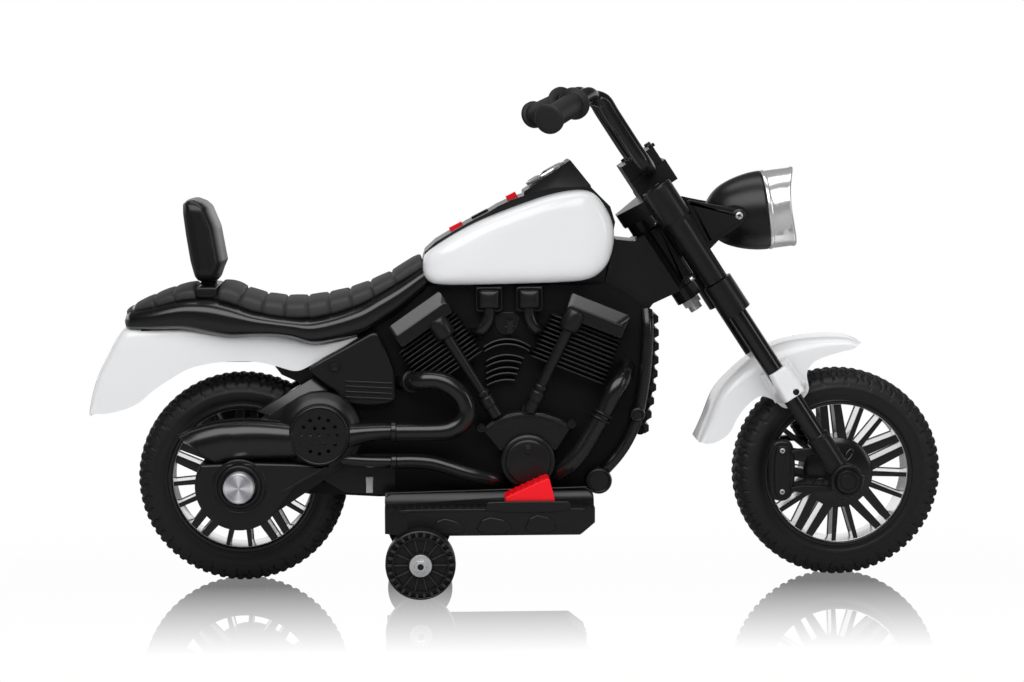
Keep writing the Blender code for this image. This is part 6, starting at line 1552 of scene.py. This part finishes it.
def bank_shapes(form, way, centre, lean):
    """A low core, eleven thin fins, and the head cover: a wall, a flat face below and a long bevel above."""
    skin = way * PANEL_SKIN
    form.add(plate(bar_shape(centre, lean, *CORE), skin, way * CORE_FACE, 1.5 * MM))
    for fin in range(FINS):
        top = FIRST_FIN + fin * FIN_STEP
        left, right = (-46, 40) if lean > 0 else (-49 - 0.12 * top, 41)
        shape = bar_shape(centre, lean, left, right, top, top + FIN_THICK, 1.1, 28)
        form.add(plate(shape, skin, way * FIN_FACE, 1.0 * MM, steps=3), 0)
    rows = [on_side(bar_shape(centre, lean, -half, half, top, foot, 2.2, 64), y, way)
        for y, half, top, foot in HEAD_ROWS]
    form.add(np.stack(rows), 1)


print("fins on each side:", FINS * len(BANKS))

# %% [markdown]
# ## Engine: push rod tubes and the housing behind
#
# Each cylinder has a slanted tube with a pillow-shaped cap and collars at its foot. On the toy it is a
# half relief; a whole turned piece gives the same highlight and is simpler. The housing behind the seat is
# a thick plate with four ribs and one screw post.

# %% Push rod tubes and rear housing
RODS = (((-93, 312), (-28, 207)), ((62, 320), (11, 212)))
ROD_TOP_Y, ROD_FOOT_Y = 0.0805, 0.0745
HOUSING = body_at(((79, 137.5), (107, 152.8), (142.5, 172), (164, 184), (171, 170), (186, 135), (187, 112),
    (187, 92), (124, 92), (117, 108), (104, 116), (92, 126)))
HOUSING_RIBS = (249, 243, 236.5, 230)
SCREW_POST = ((7.6, 64), (7.6, 68.2), (6.8, 69), (5.6, 69), (5.0, 68), (3.4, 67.6), (0.01, 67.4))


def rod_shapes(form, way):
    """A profile from the cap's top to the tube's foot, turned round the line between two places."""
    for top, foot in RODS:
        start, end = side(top), side(foot)
        start = np.array((start[0], way * ROD_TOP_Y, start[1]))
        tube = np.array((end[0], way * ROD_FOOT_Y, end[1])) - start
        long = np.linalg.norm(tube) / MM
        profile = np.array(((0.01, -15.5), (8, -15.3), (11, -14), (12.5, -11), (12.9, -4), (12.9, 4),
            (12.3, 8.5), (10, 10.8), (7.2, 11.5), (6.7, 13), (6.3, long - 37),
            (6.3, long - 35.5), (8.4, long - 35), (9.0, long - 33.5), (9.0, long - 31),
            (8.3, long - 29.8), (7.4, long - 29), (7.4, long - 27.5), (9.0, long - 26.5),
            (9.6, long - 25), (9.6, long - 16), (8.8, long - 14.5), (8.0, long - 13.5),
            (8.0, long))) * MM
        form.add(turned(profile, start, tube, 40), 0)


def housing_shapes(form, way):
    """A plate with a full rim, the screw post, and four bars that lean a little."""
    form.add(plate(softened(HOUSING, 110, 2), way * PANEL_SKIN, way * 0.0665, 4 * MM, steps=5), 0)
    boss(form, SCREW_POST, side((-222, 268)), way, 32)
    for level in HOUSING_RIBS:
        rib = side(((-209, level), (-154, level - 3)))
        form.add(carried(on_side(spaced(rib, 6), 0.0668, way), bead(1.3, 1.3)), 0)


print("push rod tubes on each side:", len(RODS))

# %% [markdown]
# ## Engine: timing cover and crank cover
#
# Between the cylinders sits a fan-shaped cover with a raised rim and seven curved fins above it, and below
# it the round crank cover with its small bosses. The curved fins are arcs of one radius, so each needs
# only its top and its two ends.

# %% Timing cover and crank cover
CRANK = body_at((345, 25))
FAN = side(((-25, 164), (-36, 178), (-47, 190), (-32, 202), (-12, 209.5), (8, 212), (28, 209.5), (48, 202.5),
    (63, 193), (54, 179), (44, 164)))
FAN_RIM = side(((-40, 191), (-26, 200), (-10, 205.5), (8, 207.5), (26, 205.5), (42, 200), (56, 192)))
FAN_ENDS = (((-25, 170), (-42, 189)), ((43, 170), (58, 190)))
FAN_FACE, FAN_RIDGE, FINS_OUT = 0.074, 0.0742, 0.055
FAN_SCREWS = ((-47, 192), (7, 214), (62, 196))
CURVED_FINS = ((298, 28, 28), (292, 27, 27), (279, 25, 20), (272, 25, 17), (264, 25, 14), (257, 25, 12),
    (249, 24, 9))
FIN_MIDDLE, FIN_RADIUS = -15, 46
CRANK_COVER = ((32.8, 70), (32.8, 80.5), (32.0, 82.8), (30, 84.0), (27.6, 84.2), (27.0, 84.8), (26.4, 86.4),
    (24.0, 87.6), (14, 88.5), (0.01, 88.8))
FAN_SCREW = ((5.6, 60), (5.6, 75.6), (4.8, 76.6), (3.0, 76.8), (2.2, 75.6), (0.01, 75.4))
CRANK_SHIELD = CRANK + np.array(((-5, 20.5), (5, 20.5), (5, 13), (2.5, 9.5), (-2.5, 9.5), (-5, 13))) * MM
SHIELD_BACK, SHIELD_FACE = 0.0865, 0.0898
CRANK_SCREWS = ((-16, -16, 0.0868), (16, -16, 0.0868), (0, 15, SHIELD_FACE))
CRANK_SCREW = ((3.0, -3), (3.0, 0.5), (2.4, 0.9), (1.5, 0.7), (1.2, -0.6), (0.01, -0.7))


def timing_shapes(form, way):
    """The fan with its rim, and above it fins at top − (r − √(r² − x²))."""
    form.add(plate(spaced(FAN, 120, closed=True), way * PANEL_SKIN, way * FAN_FACE, 2.0 * MM, steps=3), 0)
    form.add(carried(on_side(flowing(FAN_RIM, 60), FAN_RIDGE, way), bead(1.2, 1.8)), 0)
    for ends in FAN_ENDS:
        line = on_side(spaced(side(ends), 6), FAN_RIDGE, way)
        form.add(carried(line, bead(1.0, 1.4)), 0)
    for top, left, right in CURVED_FINS:
        x = np.linspace(-left, right, 20)
        z = top - (FIN_RADIUS - np.sqrt(FIN_RADIUS**2 - x**2))
        line = side(np.stack([FIN_MIDDLE + x, z], -1))
        form.add(carried(on_side(line, FINS_OUT, way), bead(8.0, 1.4, 16, 4)), 0)


def crank_shapes(form, way):
    """The turned cover, the fan's screws, and on the cover a shield and three screws."""
    boss(form, CRANK_COVER, CRANK, way, 72)
    for place in FAN_SCREWS:
        boss(form, FAN_SCREW, side(place), way, 24)
    form.add(plate(softened(CRANK_SHIELD, 32, 1), way * SHIELD_BACK, way * SHIELD_FACE, 0.9 * MM), 0)
    for x, z, height in CRANK_SCREWS:
        boss(form, CRANK_SCREW, CRANK + np.array((x, z)) * MM, way, 20, base=height)


print("curved fins:", len(CURVED_FINS))

# %% [markdown]
# ## Engine: pipes
#
# Four pipes leave the engine, each a circle carried along a flowing line of place, height and distance
# from the middle. The collars are short stretches of the same line, where the circle swells and shrinks
# again as a half ellipse.

# %% Pipes
PIPES = (
    (11.5, ((196, 119, .05), (203, 121, .066), (212, 123, .081), (224, 125, .0885), (238, 124, .0885),
            (252, 118, .0885), (264, 108, .0885), (271, 95, .0885), (271, 82, .0885), (263, 71, .0885),
            (249, 64.5, .0885), (230, 63, .0885), (208, 63, .0885), (187.6, 63, .0885)), ((0.12, 0.22),)),
    (8.8, ((187.6, 27, .0835), (208, 27, .0835), (229, 25, .0835), (247, 20, .0835), (268, 13, .083),
           (289, 7, .08), (306, 2.5, .072), (322, -1, .052)), ()),
    (11.0, ((466, 136, .046), (463, 130, .062), (457, 121, .075), (449, 110, .08), (440, 92, .08),
            (430, 73, .08), (418, 53, .08), (405, 33, .08), (392, 18, .077), (380, 8, .068),
            (368, 0, .05)), ((0.4, 0.26), (0.435, 0.26))),
    (7.5, ((490, 203, .05), (490.5, 190, .057), (490.5, 175, .059), (489, 147, .059), (486, 118, .059),
           (481, 89, .059), (475, 67, .059), (466, 47, .059), (455, 30, .059), (442, 15, .058),
           (431, 3, .05)), ()),
)
COLLAR_SHARE = 0.01


def pipe_shapes(form, way):
    """Each pipe, and its collars: radius·(1 + proud·√(1 − t²)) for t from -1 to 1."""
    t = np.linspace(-0.98, 0.98, 7)
    for radius, points, collars in PIPES:
        points = np.array(points)
        path = flowing(on_side(body_at(points[:, :2]), points[:, 2], way), 90)
        form.add(carried(path, circle(radius * MM, 26)), 1)
        length = np.concatenate([[0], np.cumsum(np.linalg.norm(np.diff(path, axis=0), axis=1))])
        for place, proud in collars:
            share = np.linspace(place - COLLAR_SHARE, place + COLLAR_SHARE, 7)
            ring = np.stack([np.interp(share, length / length[-1], path[:, k]) for k in range(3)], -1)
            swell = 1 + proud * np.sqrt(1 - t**2)
            grid = carried(ring, circle(radius * MM, 26))
            form.add(ring[:, None] + (grid - ring[:, None]) * swell[:, None, None], 0)


print("pipes on each side:", len(PIPES))

# %% [markdown]
# ## Engine: intake caps, and the whole side
#
# Under the tank sit two dished caps on bent pipes, with a small shield between them. They are
# superellipses drawn in towards a centre, whose power falls with their size, so the rim is square and the
# dish round. All these shapes of one side are one piece, as they are one moulding on the toy.

# %% Engine sides
KNOBS_LOW = ((478, 79, 9.4), (431, -1, 16))
CAP_MIDDLES = (-36.5, 12)
CAP_ROWS = ((PANEL_SKIN, 16.5), (0.064, 16.5), (0.0655, 15.8), (0.066, 14.4), (0.065, 13.6),
    (0.066, 12.9), (0.069, 11.8), (0.0708, 9.8), (0.0716, 6.5), (0.0719, 3), (0.072, 0))
CAP_PIPE = np.array(((0, 336), (0.5, 325), (4, 316), (11, 309), (18, 306)))
CAP_PIPE_Y = (0.06, 0.06, 0.06, 0.058, 0.052)
CAP_SHIELD = side(((-33, 330), (3, 330), (-3, 306), (-15, 300.5), (-27, 306)))
BATTERY_LATCH = side(((-21, 302), (-2, 302), (-2, 325), (-21, 325)))


def knob_shapes(form, way):
    """Two plain round ends below: where the front frame tube and the lower pipe are bolted."""
    for x, z, radius in KNOBS_LOW:
        boss(form, ((radius, 50), (radius, 67), (radius - 1.2, 69.4), (radius - 3, 70), (radius - 4, 69.2),
            (radius - 4.6, 69.8), (0.01, 70.0)), body_at((x, z)), way, 36)


def cap_shapes(form, way):
    """Ovals of power 2 + 0.55·size for the caps, each with a pipe that bends away from the middle."""
    for middle in CAP_MIDDLES:
        rows = [on_side(oval(48, 2 + half * 0.55) * half * MM * (1, 0.92) + side((middle, 346.5)), y, way)
            for y, half in CAP_ROWS]
        form.add(np.stack(rows), 0)
        out = np.sign(middle + 15)
        line = side(CAP_PIPE * (out, 1) + (middle, 0))
        form.add(carried(flowing(on_side(line, CAP_PIPE_Y, way), 30), circle(8.4 * MM, 22)), 1)
    skin = way * PANEL_SKIN
    form.add(plate(softened(CAP_SHIELD, 40, 1), skin, way * 0.0535, 1 * MM), 0)
    if way > 0:
        form.add(plate(softened(BATTERY_LATCH, 40, 1), skin, way * 0.0665, 2 * MM), 0)


def make_engine(name, way):
    """Every raised shape of one side of the engine, in one piece."""
    form = Form("engine_dress_" + name)
    housing_shapes(form, way)
    for centre, lean in BANKS:
        bank_shapes(form, way, centre, lean)
    rod_shapes(form, way)
    timing_shapes(form, way)
    crank_shapes(form, way)
    pipe_shapes(form, way)
    knob_shapes(form, way)
    cap_shapes(form, way)
    return form.make("body", [SATIN, GLOSS], sharp=38)


# The engine panels take the darker black: painted shade in the recess round the raised shapes.
for engine_side in SIDES:
    eased("engine_panel_" + engine_side[0], SHADE_PAINTED_PANEL, cut=PANEL_SKIN + 0.4 * MM)
    make_engine(*engine_side)

# %% [markdown]
# ## Exhaust
#
# The long silencer lies along the swing arm, a branch runs below it, and a drum stands in front of the
# wheel. Silencer and branch are half tubes between a top line and a lower one, because the real cover is
# open at the back. Drum and flange are turned. The silencer's mouth is cut at a slant and has a lip.

# %% Exhaust covers
DRUM = body_at((96, 61))
SILENCER_TOP = side(((-409, 188), (-392, 196), (-363, 204), (-329, 207), (-295, 205.5), (-273, 203),
    (-250, 201.5), (-226, 201), (-206, 201.3), (-186, 202), (-165, 202.4), (-149.5, 202.5)))
SILENCER_LOW = side(((-356, 151), (-344, 153), (-333, 154.5), (-312, 156), (-290, 156.5), (-270, 157),
    (-250, 158.5), (-230, 162), (-206, 169), (-186, 176), (-165, 179), (-149.5, 179.5)))
SILENCER_FACES = (0.0985, 0.102, 0.1025, 0.102, 0.1005, 0.0995)
BRANCH_TOP = side(((-252, 164), (-228, 165), (-206, 164.5), (-186, 163.5), (-165, 163), (-149.5, 162.5)))
BRANCH_LOW = side(((-240, 153), (-222, 151), (-206, 148.5), (-186, 146.5), (-165, 145.5), (-149.5, 145.5)))
BRANCH_FACES = (0.082, 0.09, 0.0915, 0.0917)
COVER_BACK = 0.0757
MOUTH_RINGS = ((1.015, 1.2, 0), (1.015, -1.4, -0.4), (0.9, -1.4, -0.4), (0.88, 4, 1))
BANDS = (((-149.5, 191), 12.3, 0.0885), ((-149.5, 154), 9.3, 0.0835))
FLANGE = ((50.5, 76), (50.5, 80.5), (50.0, 81.8), (49.0, 82.6), (44, 87.0), (39, 90.5), (36, 91.5))
DRUM_WALL = ((38.6, 84), (37.2, 93), (36.8, 98.0), (36.2, 100.6), (35.0, 102.4), (33.8, 103.0))
DRUM_MOUTH = ((32.9, 102.6), (32.6, 98))
DRUM_LID = ((32.4, 103.4), (24, 103.8), (0.01, 104.0))
SHELF = side(((-316, 213), (-246, 254), (-229, 239), (-252, 224), (-296, 206)))
SHELF_Y = (0.066, 0.056, 0.059, 0.0625, 0.068)
SHELF_INNER, SHELF_THICK = 0.045, 0.8 * MM
WEB = side(((-238, 153), (-150, 153), (-150, 108), (-212, 112), (-238, 128)))
STRAP = side(((-186, 132), (-177.5, 132), (-177.5, 112), (-186, 112)))
WEB_BACK, WEB_FACE, STRAP_BACK, STRAP_FACE = 0.047, 0.054, 0.046, 0.057


def half_round(top, low, back, faces, power, rows=110, columns=26):
    """Half a squashed tube: θ from 0° at the top line to 180° at the lower one, out by sin^(2/p)."""
    top, low = flowing(top, rows), flowing(low, rows)
    angle = np.linspace(0, np.pi, columns)
    across = np.sign(np.cos(angle)) * np.abs(np.cos(angle)) ** (2 / power)
    out = np.abs(np.sin(angle)) ** (2 / power)
    out[[0, -1]] = 0
    middle, half = (top + low) / 2, (top - low) / 2
    spot = middle[:, None] + half[:, None] * across[None, :, None]
    face = np.interp(np.linspace(0, 1, rows), np.linspace(0, 1, len(faces)), faces)
    y = back + (face[:, None] - back) * out
    return np.stack([spot[..., 0], y, spot[..., 1]], -1)


def silencer_shapes(form, way):
    """Silencer and branch, the lip as rings drawn in towards the mouth's centre, and two bands."""
    upper = half_round(SILENCER_TOP, SILENCER_LOW, COVER_BACK, SILENCER_FACES, 2.3) * (1, way, 1)
    under = half_round(BRANCH_TOP, BRANCH_LOW, COVER_BACK, BRANCH_FACES, 2.2, 60) * (1, way, 1)
    form.add(upper, 1)
    form.add(under, 1)
    mouth, centre = upper[0], upper[0].mean(axis=0)
    rings = [centre + (mouth - centre) * grown + (ahead * MM, 0, up * MM) for grown, ahead, up in MOUTH_RINGS]
    form.add(np.stack(rings), 0)
    for place, radius, out in BANDS:
        spot = side(place)
        band = np.array(((radius - 1, -6.0), (radius, -5.0), (radius + 0.1, 0.0), (radius - 0.8, 0.8),
            (radius - 2, 0.9))) * MM
        form.add(turned(band, (spot[0], way * out, spot[1]), (1, 0, 0), 40), 1)


def strut_shapes(form, way):
    """The sloping shelf behind the drum, the web behind the branch, and a bright strap on it."""
    plane = on_side(SHELF, SHELF_Y, way)
    inner = plane * (1, 0, 1) + (0, way * SHELF_INNER, 0)
    middle = plane.mean(axis=0)
    form.add(np.stack([inner, plane - (0, way * SHELF_THICK, 0), middle + (plane - middle) * 0.97]), 1)
    form.add(plate(WEB, way * WEB_BACK, way * WEB_FACE, 1 * MM), 0)
    form.add(plate(spaced(STRAP, 48, closed=True), way * STRAP_BACK, way * STRAP_FACE, 0.8 * MM), 2)


def make_exhaust(name, way):
    """One side's cover; the left drum is closed by a lid, where the right one has the speaker."""
    form = Form("silencer_" + name)
    silencer_shapes(form, way)
    boss(form, FLANGE, DRUM, way, 96)
    boss(form, DRUM_WALL + (DRUM_LID if way > 0 else DRUM_MOUTH), DRUM, way, 96)
    strut_shapes(form, way)
    return form.make("body", [SATIN, GLOSS, ZINC], "exhaust_cover_" + name, sharp=40, even=False)


both(make_exhaust)

# %% [markdown]
# ## Speaker grille
#
# The right drum is closed by a disc with nineteen round holes: one in the middle, six and then twelve
# round it. A Boolean would cut them, but leaves long thin faces. Filling the flat area between the loops
# with triangles and giving it a thickness is cleaner.

# %% Speaker grille
DISC_HOLES = ((0, 1), (10.6, 6), (21.4, 12))
DISC_RADIUS, HOLE_RADIUS = 32.4 * MM, 2.2 * MM
DISC_FACE, DISC_BACK = -0.1032, -0.0965


def make_grille():
    """A circle and the circles of the holes, filled between, then drawn out from the face to the back."""
    mesh = bpy.data.meshes.new("speaker_disc")
    shape = bmesh.new()
    loops = [circle(DISC_RADIUS, 72) + DRUM]
    for radius, count in DISC_HOLES:
        for hole in range(count):
            turn = 2 * math.pi * hole / count
            middle = DRUM + radius * MM * np.array((math.cos(turn), math.sin(turn)))
            loops.append(middle + circle(HOLE_RADIUS, 14))
    edges = []
    for loop in loops:
        verts = [shape.verts.new((x, DISC_FACE, z)) for x, z in loop]
        edges += [shape.edges.new((verts[i - 1], verts[i])) for i in range(len(verts))]
    bmesh.ops.triangle_fill(shape, edges=edges, use_beauty=True)
    bmesh.ops.recalc_face_normals(shape, faces=shape.faces)
    if shape.faces[0].normal.y > 0:
        bmesh.ops.reverse_faces(shape, faces=shape.faces)
    made = bmesh.ops.extrude_face_region(shape, geom=shape.faces[:])
    for vert in made["geom"]:
        if isinstance(vert, bmesh.types.BMVert):
            vert.co.y = DISC_BACK
    bmesh.ops.recalc_face_normals(shape, faces=shape.faces)
    shape.to_mesh(mesh)
    shape.free()
    return settle("speaker_disc", mesh, "body", [SATIN], "speaker_grille", sharp=40, even=False)


make_grille()

# %% [markdown]
# ## Finish of the hub caps
#
# The rear caps look machined: fine rings, and two bright sectors where a turned face catches the light. True
# rings would need a very fine mesh, so they are noise along the radius. The sectors are painted highlights: a
# paler colour by the angle as |cos 2θ|, which is |x² − z²| / (x² + z²), fixed to the cap whatever the light.

# %% Turned silver
def ring_finish():
    """Noise along √(x² + z²) for roughness and relief, and |cos 2θ|³ between two greys as painted highlights.
    """
    made = Finish("turned silver with painted highlights", (0.6, 0.61, 0.63), 0.3, "silver_plastic", Metallic=0.6)
    spot = made.moved((REAR_AXLE[0], 0, REAR_AXLE[1]))
    x, z = made.axis("X", spot), made.axis("Z", spot)
    radius = (x * x + z * z) ** 0.5
    # Painted highlights: two sectors of paler colour by the angle, fixed to the cap.
    painted_sector_highlight = ((x * x - z * z) / (x * x + z * z + 1e-9)).size()
    made.feed("Base Color", made.tint(painted_sector_highlight ** 3, (0.42, 0.42, 0.46, 1), (0.93, 0.93, 0.96, 1)))
    rings = made.noise(9000, 1, 0.5, made.node("CombineXYZ", {}, {0: radius, 1: 0.0, 2: 0.0}))
    made.feed("Roughness", rings * 0.12 + 0.24)
    made.feed("Normal", made.relief(rings, 0.00002, 0.4))
    return made


SILVER = ring_finish()
print("finish", SILVER.material.name)

# %% [markdown]
# ## Swing arm covers and hub caps
#
# Around the axle the swing arm swells to a drop, and a bright cap is pressed into its turned rings. The
# arm keeps its solid up to the drop. The drop is an arc round the axle that runs out to a point in front.

# %% Swing arm covers and hub caps
ARM_FACE = 0.0745
DROP_RADIUS = 53.4 * MM
DROP_TIP = body_at(((72, 4), (104, 20), (107, 22.5), (98, 25.2), (64, 27), (24, 28.3), (3, 28.8),
    (-20, 27.5)))
DROP_RINGS = ((33, 94), (32.6, 96.9), (31.6, 97.7), (30.6, 97.2), (30.0, 95.6), (27.6, 95.6), (26.6, 97.0),
    (25.6, 99.2), (24.2, 100.2), (22.2, 100.2), (21.4, 99.2), (20.2, 95.6))
DROP_CREASE = body_at(((50, -8), (78, 8), (103, 22)))
HUB_CAP = ((18.4, 95), (18.4, 112.8), (17.9, 114.2), (16.8, 115), (15.2, 115), (14.6, 114.4), (13.6, 114.4),
    (13.0, 115), (0.01, 115.2))


def make_drop(name, way):
    """A thick plate, turned rings round the cap, and one crease along the tip."""
    form = Form("axle_drop_" + name)
    angle = np.radians(np.linspace(150, 312, 44))
    around = REAR_AXLE + DROP_RADIUS * np.stack([np.cos(angle), np.sin(angle)], -1)
    shape = spaced(np.vstack([around, DROP_TIP]), 170, closed=True)
    form.add(plate(shape, way * 0.074, way * 0.0965, 4 * MM, steps=6), 0)
    boss(form, DROP_RINGS, REAR_AXLE, way, 90)
    path = flowing(on_side(DROP_CREASE, 0.0962, way), 30)
    form.add(carried(path, bead(0.9, 1.4)), 0)
    return form.make("body", [SATIN], sharp=40)


def make_hub_cap(name, way):
    """A turned cap with one groove."""
    form = Form("axle_cap_" + name)
    boss(form, HUB_CAP, REAR_AXLE, way, 72)
    return form.make("body", [SILVER], "rear_hub_cap_" + name, sharp=35, even=False)


for arm_side in SIDES:
    eased("swingarm_cover_" + arm_side[0], SATIN, cut=ARM_FACE)
    make_drop(*arm_side)
    make_hub_cap(*arm_side)

# %% [markdown]
# ## Footboards
#
# The footboards carry a child's weight, so the real mouldings are stiffened all over: bars across the
# tread, three bosses on the outer wall, a lip along it and a round rim at the back. The board itself is a
# copy of its solid whose outer corners are cut off. The right one has a ridge at the pedal.

# %% Footboards
TREAD_Z = 0.1012
BOARD_BREAKS, BOARD_MIDDLE, CORNER_SLOPE = (-0.1365, 0.0713), 0.105, 28
BOARD_BOSSES = (((-99, 94), (-70, 86), (-68, 73), (-110, 73)), ((-45, 95), (-15, 88), (-11, 73), (-58, 73)),
    ((11, 97), (38, 90.5), (41, 74), (0, 73)))
BOARD_LIP = side(((-136, 98), (-128, 100.6), (58, 100.6), (70, 98)))
BOARD_RIM = side(((-160.5, 77), (-161.5, 100), (-161.5, 108), (-157, 113.5), (-138, 115), (60, 119.5),
    (76, 119.8), (84, 115), (86.6, 107), (86.6, 84)))
PEDAL_RIDGE = side(((-44, 98), (-43, 109), (-39, 111.5), (54, 111.5), (57, 109), (58, 98)))
PEDAL_GAP = (-28, 48)


def clipped(shape):
    """Cuts the outer corners off a board: beyond two breaks its outer half runs inwards."""
    rear, front = BOARD_BREAKS
    for x in BOARD_BREAKS:
        parts = shape.verts[:] + shape.edges[:] + shape.faces[:]
        bmesh.ops.bisect_plane(shape, geom=parts, plane_co=(x, 0, 0), plane_no=(1, 0, 0))
    for vert in shape.verts:
        beyond = max(rear - vert.co.x, vert.co.x - front, 0)
        out = abs(vert.co.y) - BOARD_MIDDLE
        if beyond and out > 0:
            vert.co.y = math.copysign(BOARD_MIDDLE + out * (1 - beyond * CORNER_SLOPE), vert.co.y)


def make_board_dress(name, way):
    """Bosses as plates, lip and rim carried along lines, the ridge, and bars except under the pedal."""
    form = Form("board_dress_" + name)
    for outline in BOARD_BOSSES:
        form.add(plate(softened(side(outline), 60, 1), way * 0.1295, way * 0.1325, 1.6 * MM), 0)
    form.add(carried(flowing(on_side(BOARD_LIP, 0.129, way), 80), bead(1.4, 1.8, 14)), 0)
    form.add(carried(flowing(on_side(BOARD_RIM, 0.0795, way), 120), circle(1.5 * MM, 12)), 0)
    if way < 0:
        form.add(plate(softened(PEDAL_RIDGE, 60, 1), way * 0.1262, way * 0.1318, 1.4 * MM, 0.8 * MM), 0)
    across = np.linspace(0.093, 0.127, 6) * way
    for x in range(-155, 82, 9):
        if way > 0 or not PEDAL_GAP[0] < x < PEDAL_GAP[1]:
            path = np.stack([np.full(6, x * MM), across, np.full(6, TREAD_Z)], -1)
            form.add(carried(path, bead(2.2, 1.3), (1, 0, 0)), 0)
    return form.make("body", [SATIN], sharp=40)


for board_side in SIDES:
    eased("footboard_" + board_side[0], SATIN, change=clipped)
    make_board_dress(*board_side)

# %% [markdown]
# ## Pedal
#
# The red pedal is the throttle: a hinged wedge with ribs for grip. A wedge is a plate across the toy with
# its own outline, and the ribs are ovals laid across its slope.

# %% Pedal
PEDAL_REAR = REAR_AXLE[0] + 0.316
WEDGE = np.array(((0, -7.5), (0, 14.5), (50, 37), (53, 35.5), (61, 2), (12, -1.5), (7, -7.5))) * MM
WEDGE_NEAR, WEDGE_FAR = -0.0872, -0.1268


def make_pedal():
    """The wedge, and six ribs at equal steps up its slope."""
    form = Form("pedal_wedge")
    shape = spaced(WEDGE + (PEDAL_REAR, TREAD_Z), 90, closed=True)
    form.add(plate(shape, WEDGE_NEAR, WEDGE_FAR, 1.6 * MM, 1.6 * MM, steps=4), 0)
    for share in np.linspace(0.14, 0.86, 6):
        x, z = PEDAL_REAR + 50 * MM * share, TREAD_Z + (14.5 + 22.5 * share) * MM
        path = np.stack([np.full(6, x), np.linspace(-0.0905, -0.1235, 6), np.full(6, z)], -1)
        form.add(carried(path, bead(1.5, 1.2), (1, 0, 0)), 0)
    return form.make("foot_pedal", [RED], "foot_pedal", sharp=40)


make_pedal()

# %% [markdown]
# ## Training wheels
#
# Each is one moulding: a rim with square pockets that save plastic, a thin web with ribs like spokes, and
# a bright washer and nut in the middle. The wheel is turned with an open groove in each face, and short
# bars across the groove leave the pockets, so no hole has to be cut.

# %% Training wheels
TRAINER = (REAR_AXLE[0] + 0.215, 0.0415)
TRAINER_FACE = np.array(((5.0, 165), (14.5, 165), (15.3, 164), (15.3, 159.5), (31.0, 159.5), (31.2, 164.2),
    (31.8, 165), (33.4, 165), (33.8, 164.4), (34.0, 159), (38.6, 159), (38.9, 164.2),
    (39.6, 164.8), (40.8, 164), (41.3, 162), (41.5, 158)))
TRAINER_BARS = ((14, 14.8, 31.4, 0.8, 0.159, 0.1642), (26, 33.6, 39.4, 1.7, 0.1585, 0.1648))
TRAINER_MIDDLE = 0.15
WASHER = np.array(((3, 166.2), (13.2, 166.2), (13.2, 167.4), (12.6, 168.0), (3, 168.0))) * MM
NUT = np.array(((8.0, 167.8), (8.0, 172.6), (7.0, 173.8), (5.4, 174.2), (4.4, 174.0))) * MM
# The bar's end is black satin inside each nut: painted shade for the nut's hole.
SHADE_PAINTED_BAR_END = ((4.2, 172), (4.2, 174.4), (3.6, 175.2), (0.01, 175.4))


def trainer_bars(form, way, count, inner, outer, half, low, high):
    """Bars between two radii at equal angles, on both faces: centre + out·r + beside·s."""
    for bar in range(count):
        angle = bar * 2 * math.pi / count
        out = np.array((math.cos(angle), math.sin(angle)))
        beside = np.array((-math.sin(angle), math.cos(angle)))
        corners = ((inner, -half), (outer, -half), (outer, half), (inner, half))
        shape = np.array([out * r * MM + beside * s * MM for r, s in corners]) + TRAINER
        for a, b in ((low, high), (2 * TRAINER_MIDDLE - low, 2 * TRAINER_MIDDLE - high)):
            form.add(plate(shape, way * a, way * b, 0.4 * MM, steps=1), 1)


def make_trainer(name, way):
    """The face and its mirror turned round the bar, with 14 ribs and 26 pocket walls on each side."""
    form = Form("trainer_" + name)
    profile = np.vstack([TRAINER_FACE, (TRAINER_FACE * (1, -1) + (0, 300))[::-1]]) * MM
    form.add(turned(profile, (TRAINER[0], 0, TRAINER[1]), (0, way, 0), 104), 0, loop=True)
    for bars in TRAINER_BARS:
        trainer_bars(form, way, *bars)
    return form.make("training_wheel_" + name, [SATIN, TREAD], "training_wheel_" + name, sharp=35, even=False)


def make_nuts():
    """Washers and lock nuts on both ends of the bar, and inside each nut the bar's end in black: a dark cap
    as painted shade in the nut's hole.
    """
    form = Form("trainer_nuts")
    centre = (TRAINER[0], 0, TRAINER[1])
    for _, way in SIDES:
        form.add(turned(WASHER, centre, (0, way, 0), 48), 0, loop=True)
        form.add(turned(NUT, centre, (0, way, 0), 6), 0)
        boss(form, SHADE_PAINTED_BAR_END, TRAINER, way, 24, 1)
    return form.make("body", [ZINC, SATIN], sharp=25, even=False)


both(make_trainer)
make_nuts()

# %% [markdown]
# ## Radiator and power switch
#
# Ahead of the engine stands a dummy radiator: ten round bars between the down tubes, bulging a little in
# the middle. The plate behind them and the rocker switch on the right side are copies of their solids.

# %% Radiator and power switch
RADIATOR_TOP, RADIATOR_FOOT, RADIATOR_BARS = body_at((499, 199)), body_at((486, 49)), 10
RADIATOR_HALF, RADIATOR_BULGE = 0.0345, 6 * MM


def make_radiator():
    """Bars down a line that bulges as a sine; each runs back at its ends by the sixth power of y."""
    form = Form("radiator_bars")
    y = np.linspace(-RADIATOR_HALF, RADIATOR_HALF, 25)
    drop = 2.5 * MM * (np.abs(y) / RADIATOR_HALF) ** 6
    for bar in range(RADIATOR_BARS):
        share = (bar + 0.5) / RADIATOR_BARS
        spot = RADIATOR_TOP + (RADIATOR_FOOT - RADIATOR_TOP) * share
        x = spot[0] + RADIATOR_BULGE * math.sin(math.pi * share) - 1.6 * MM
        path = np.stack([x - drop, y, np.full(25, spot[1])], -1)
        form.add(carried(path, bead(5.6, 6.2, 20, 2.4), (1, 0, 0)), 0)
    return form.make("body", [SATIN], sharp=45, even=False)


make_radiator()
eased("radiator_grille", SATIN)
eased("power_switch", SATIN)
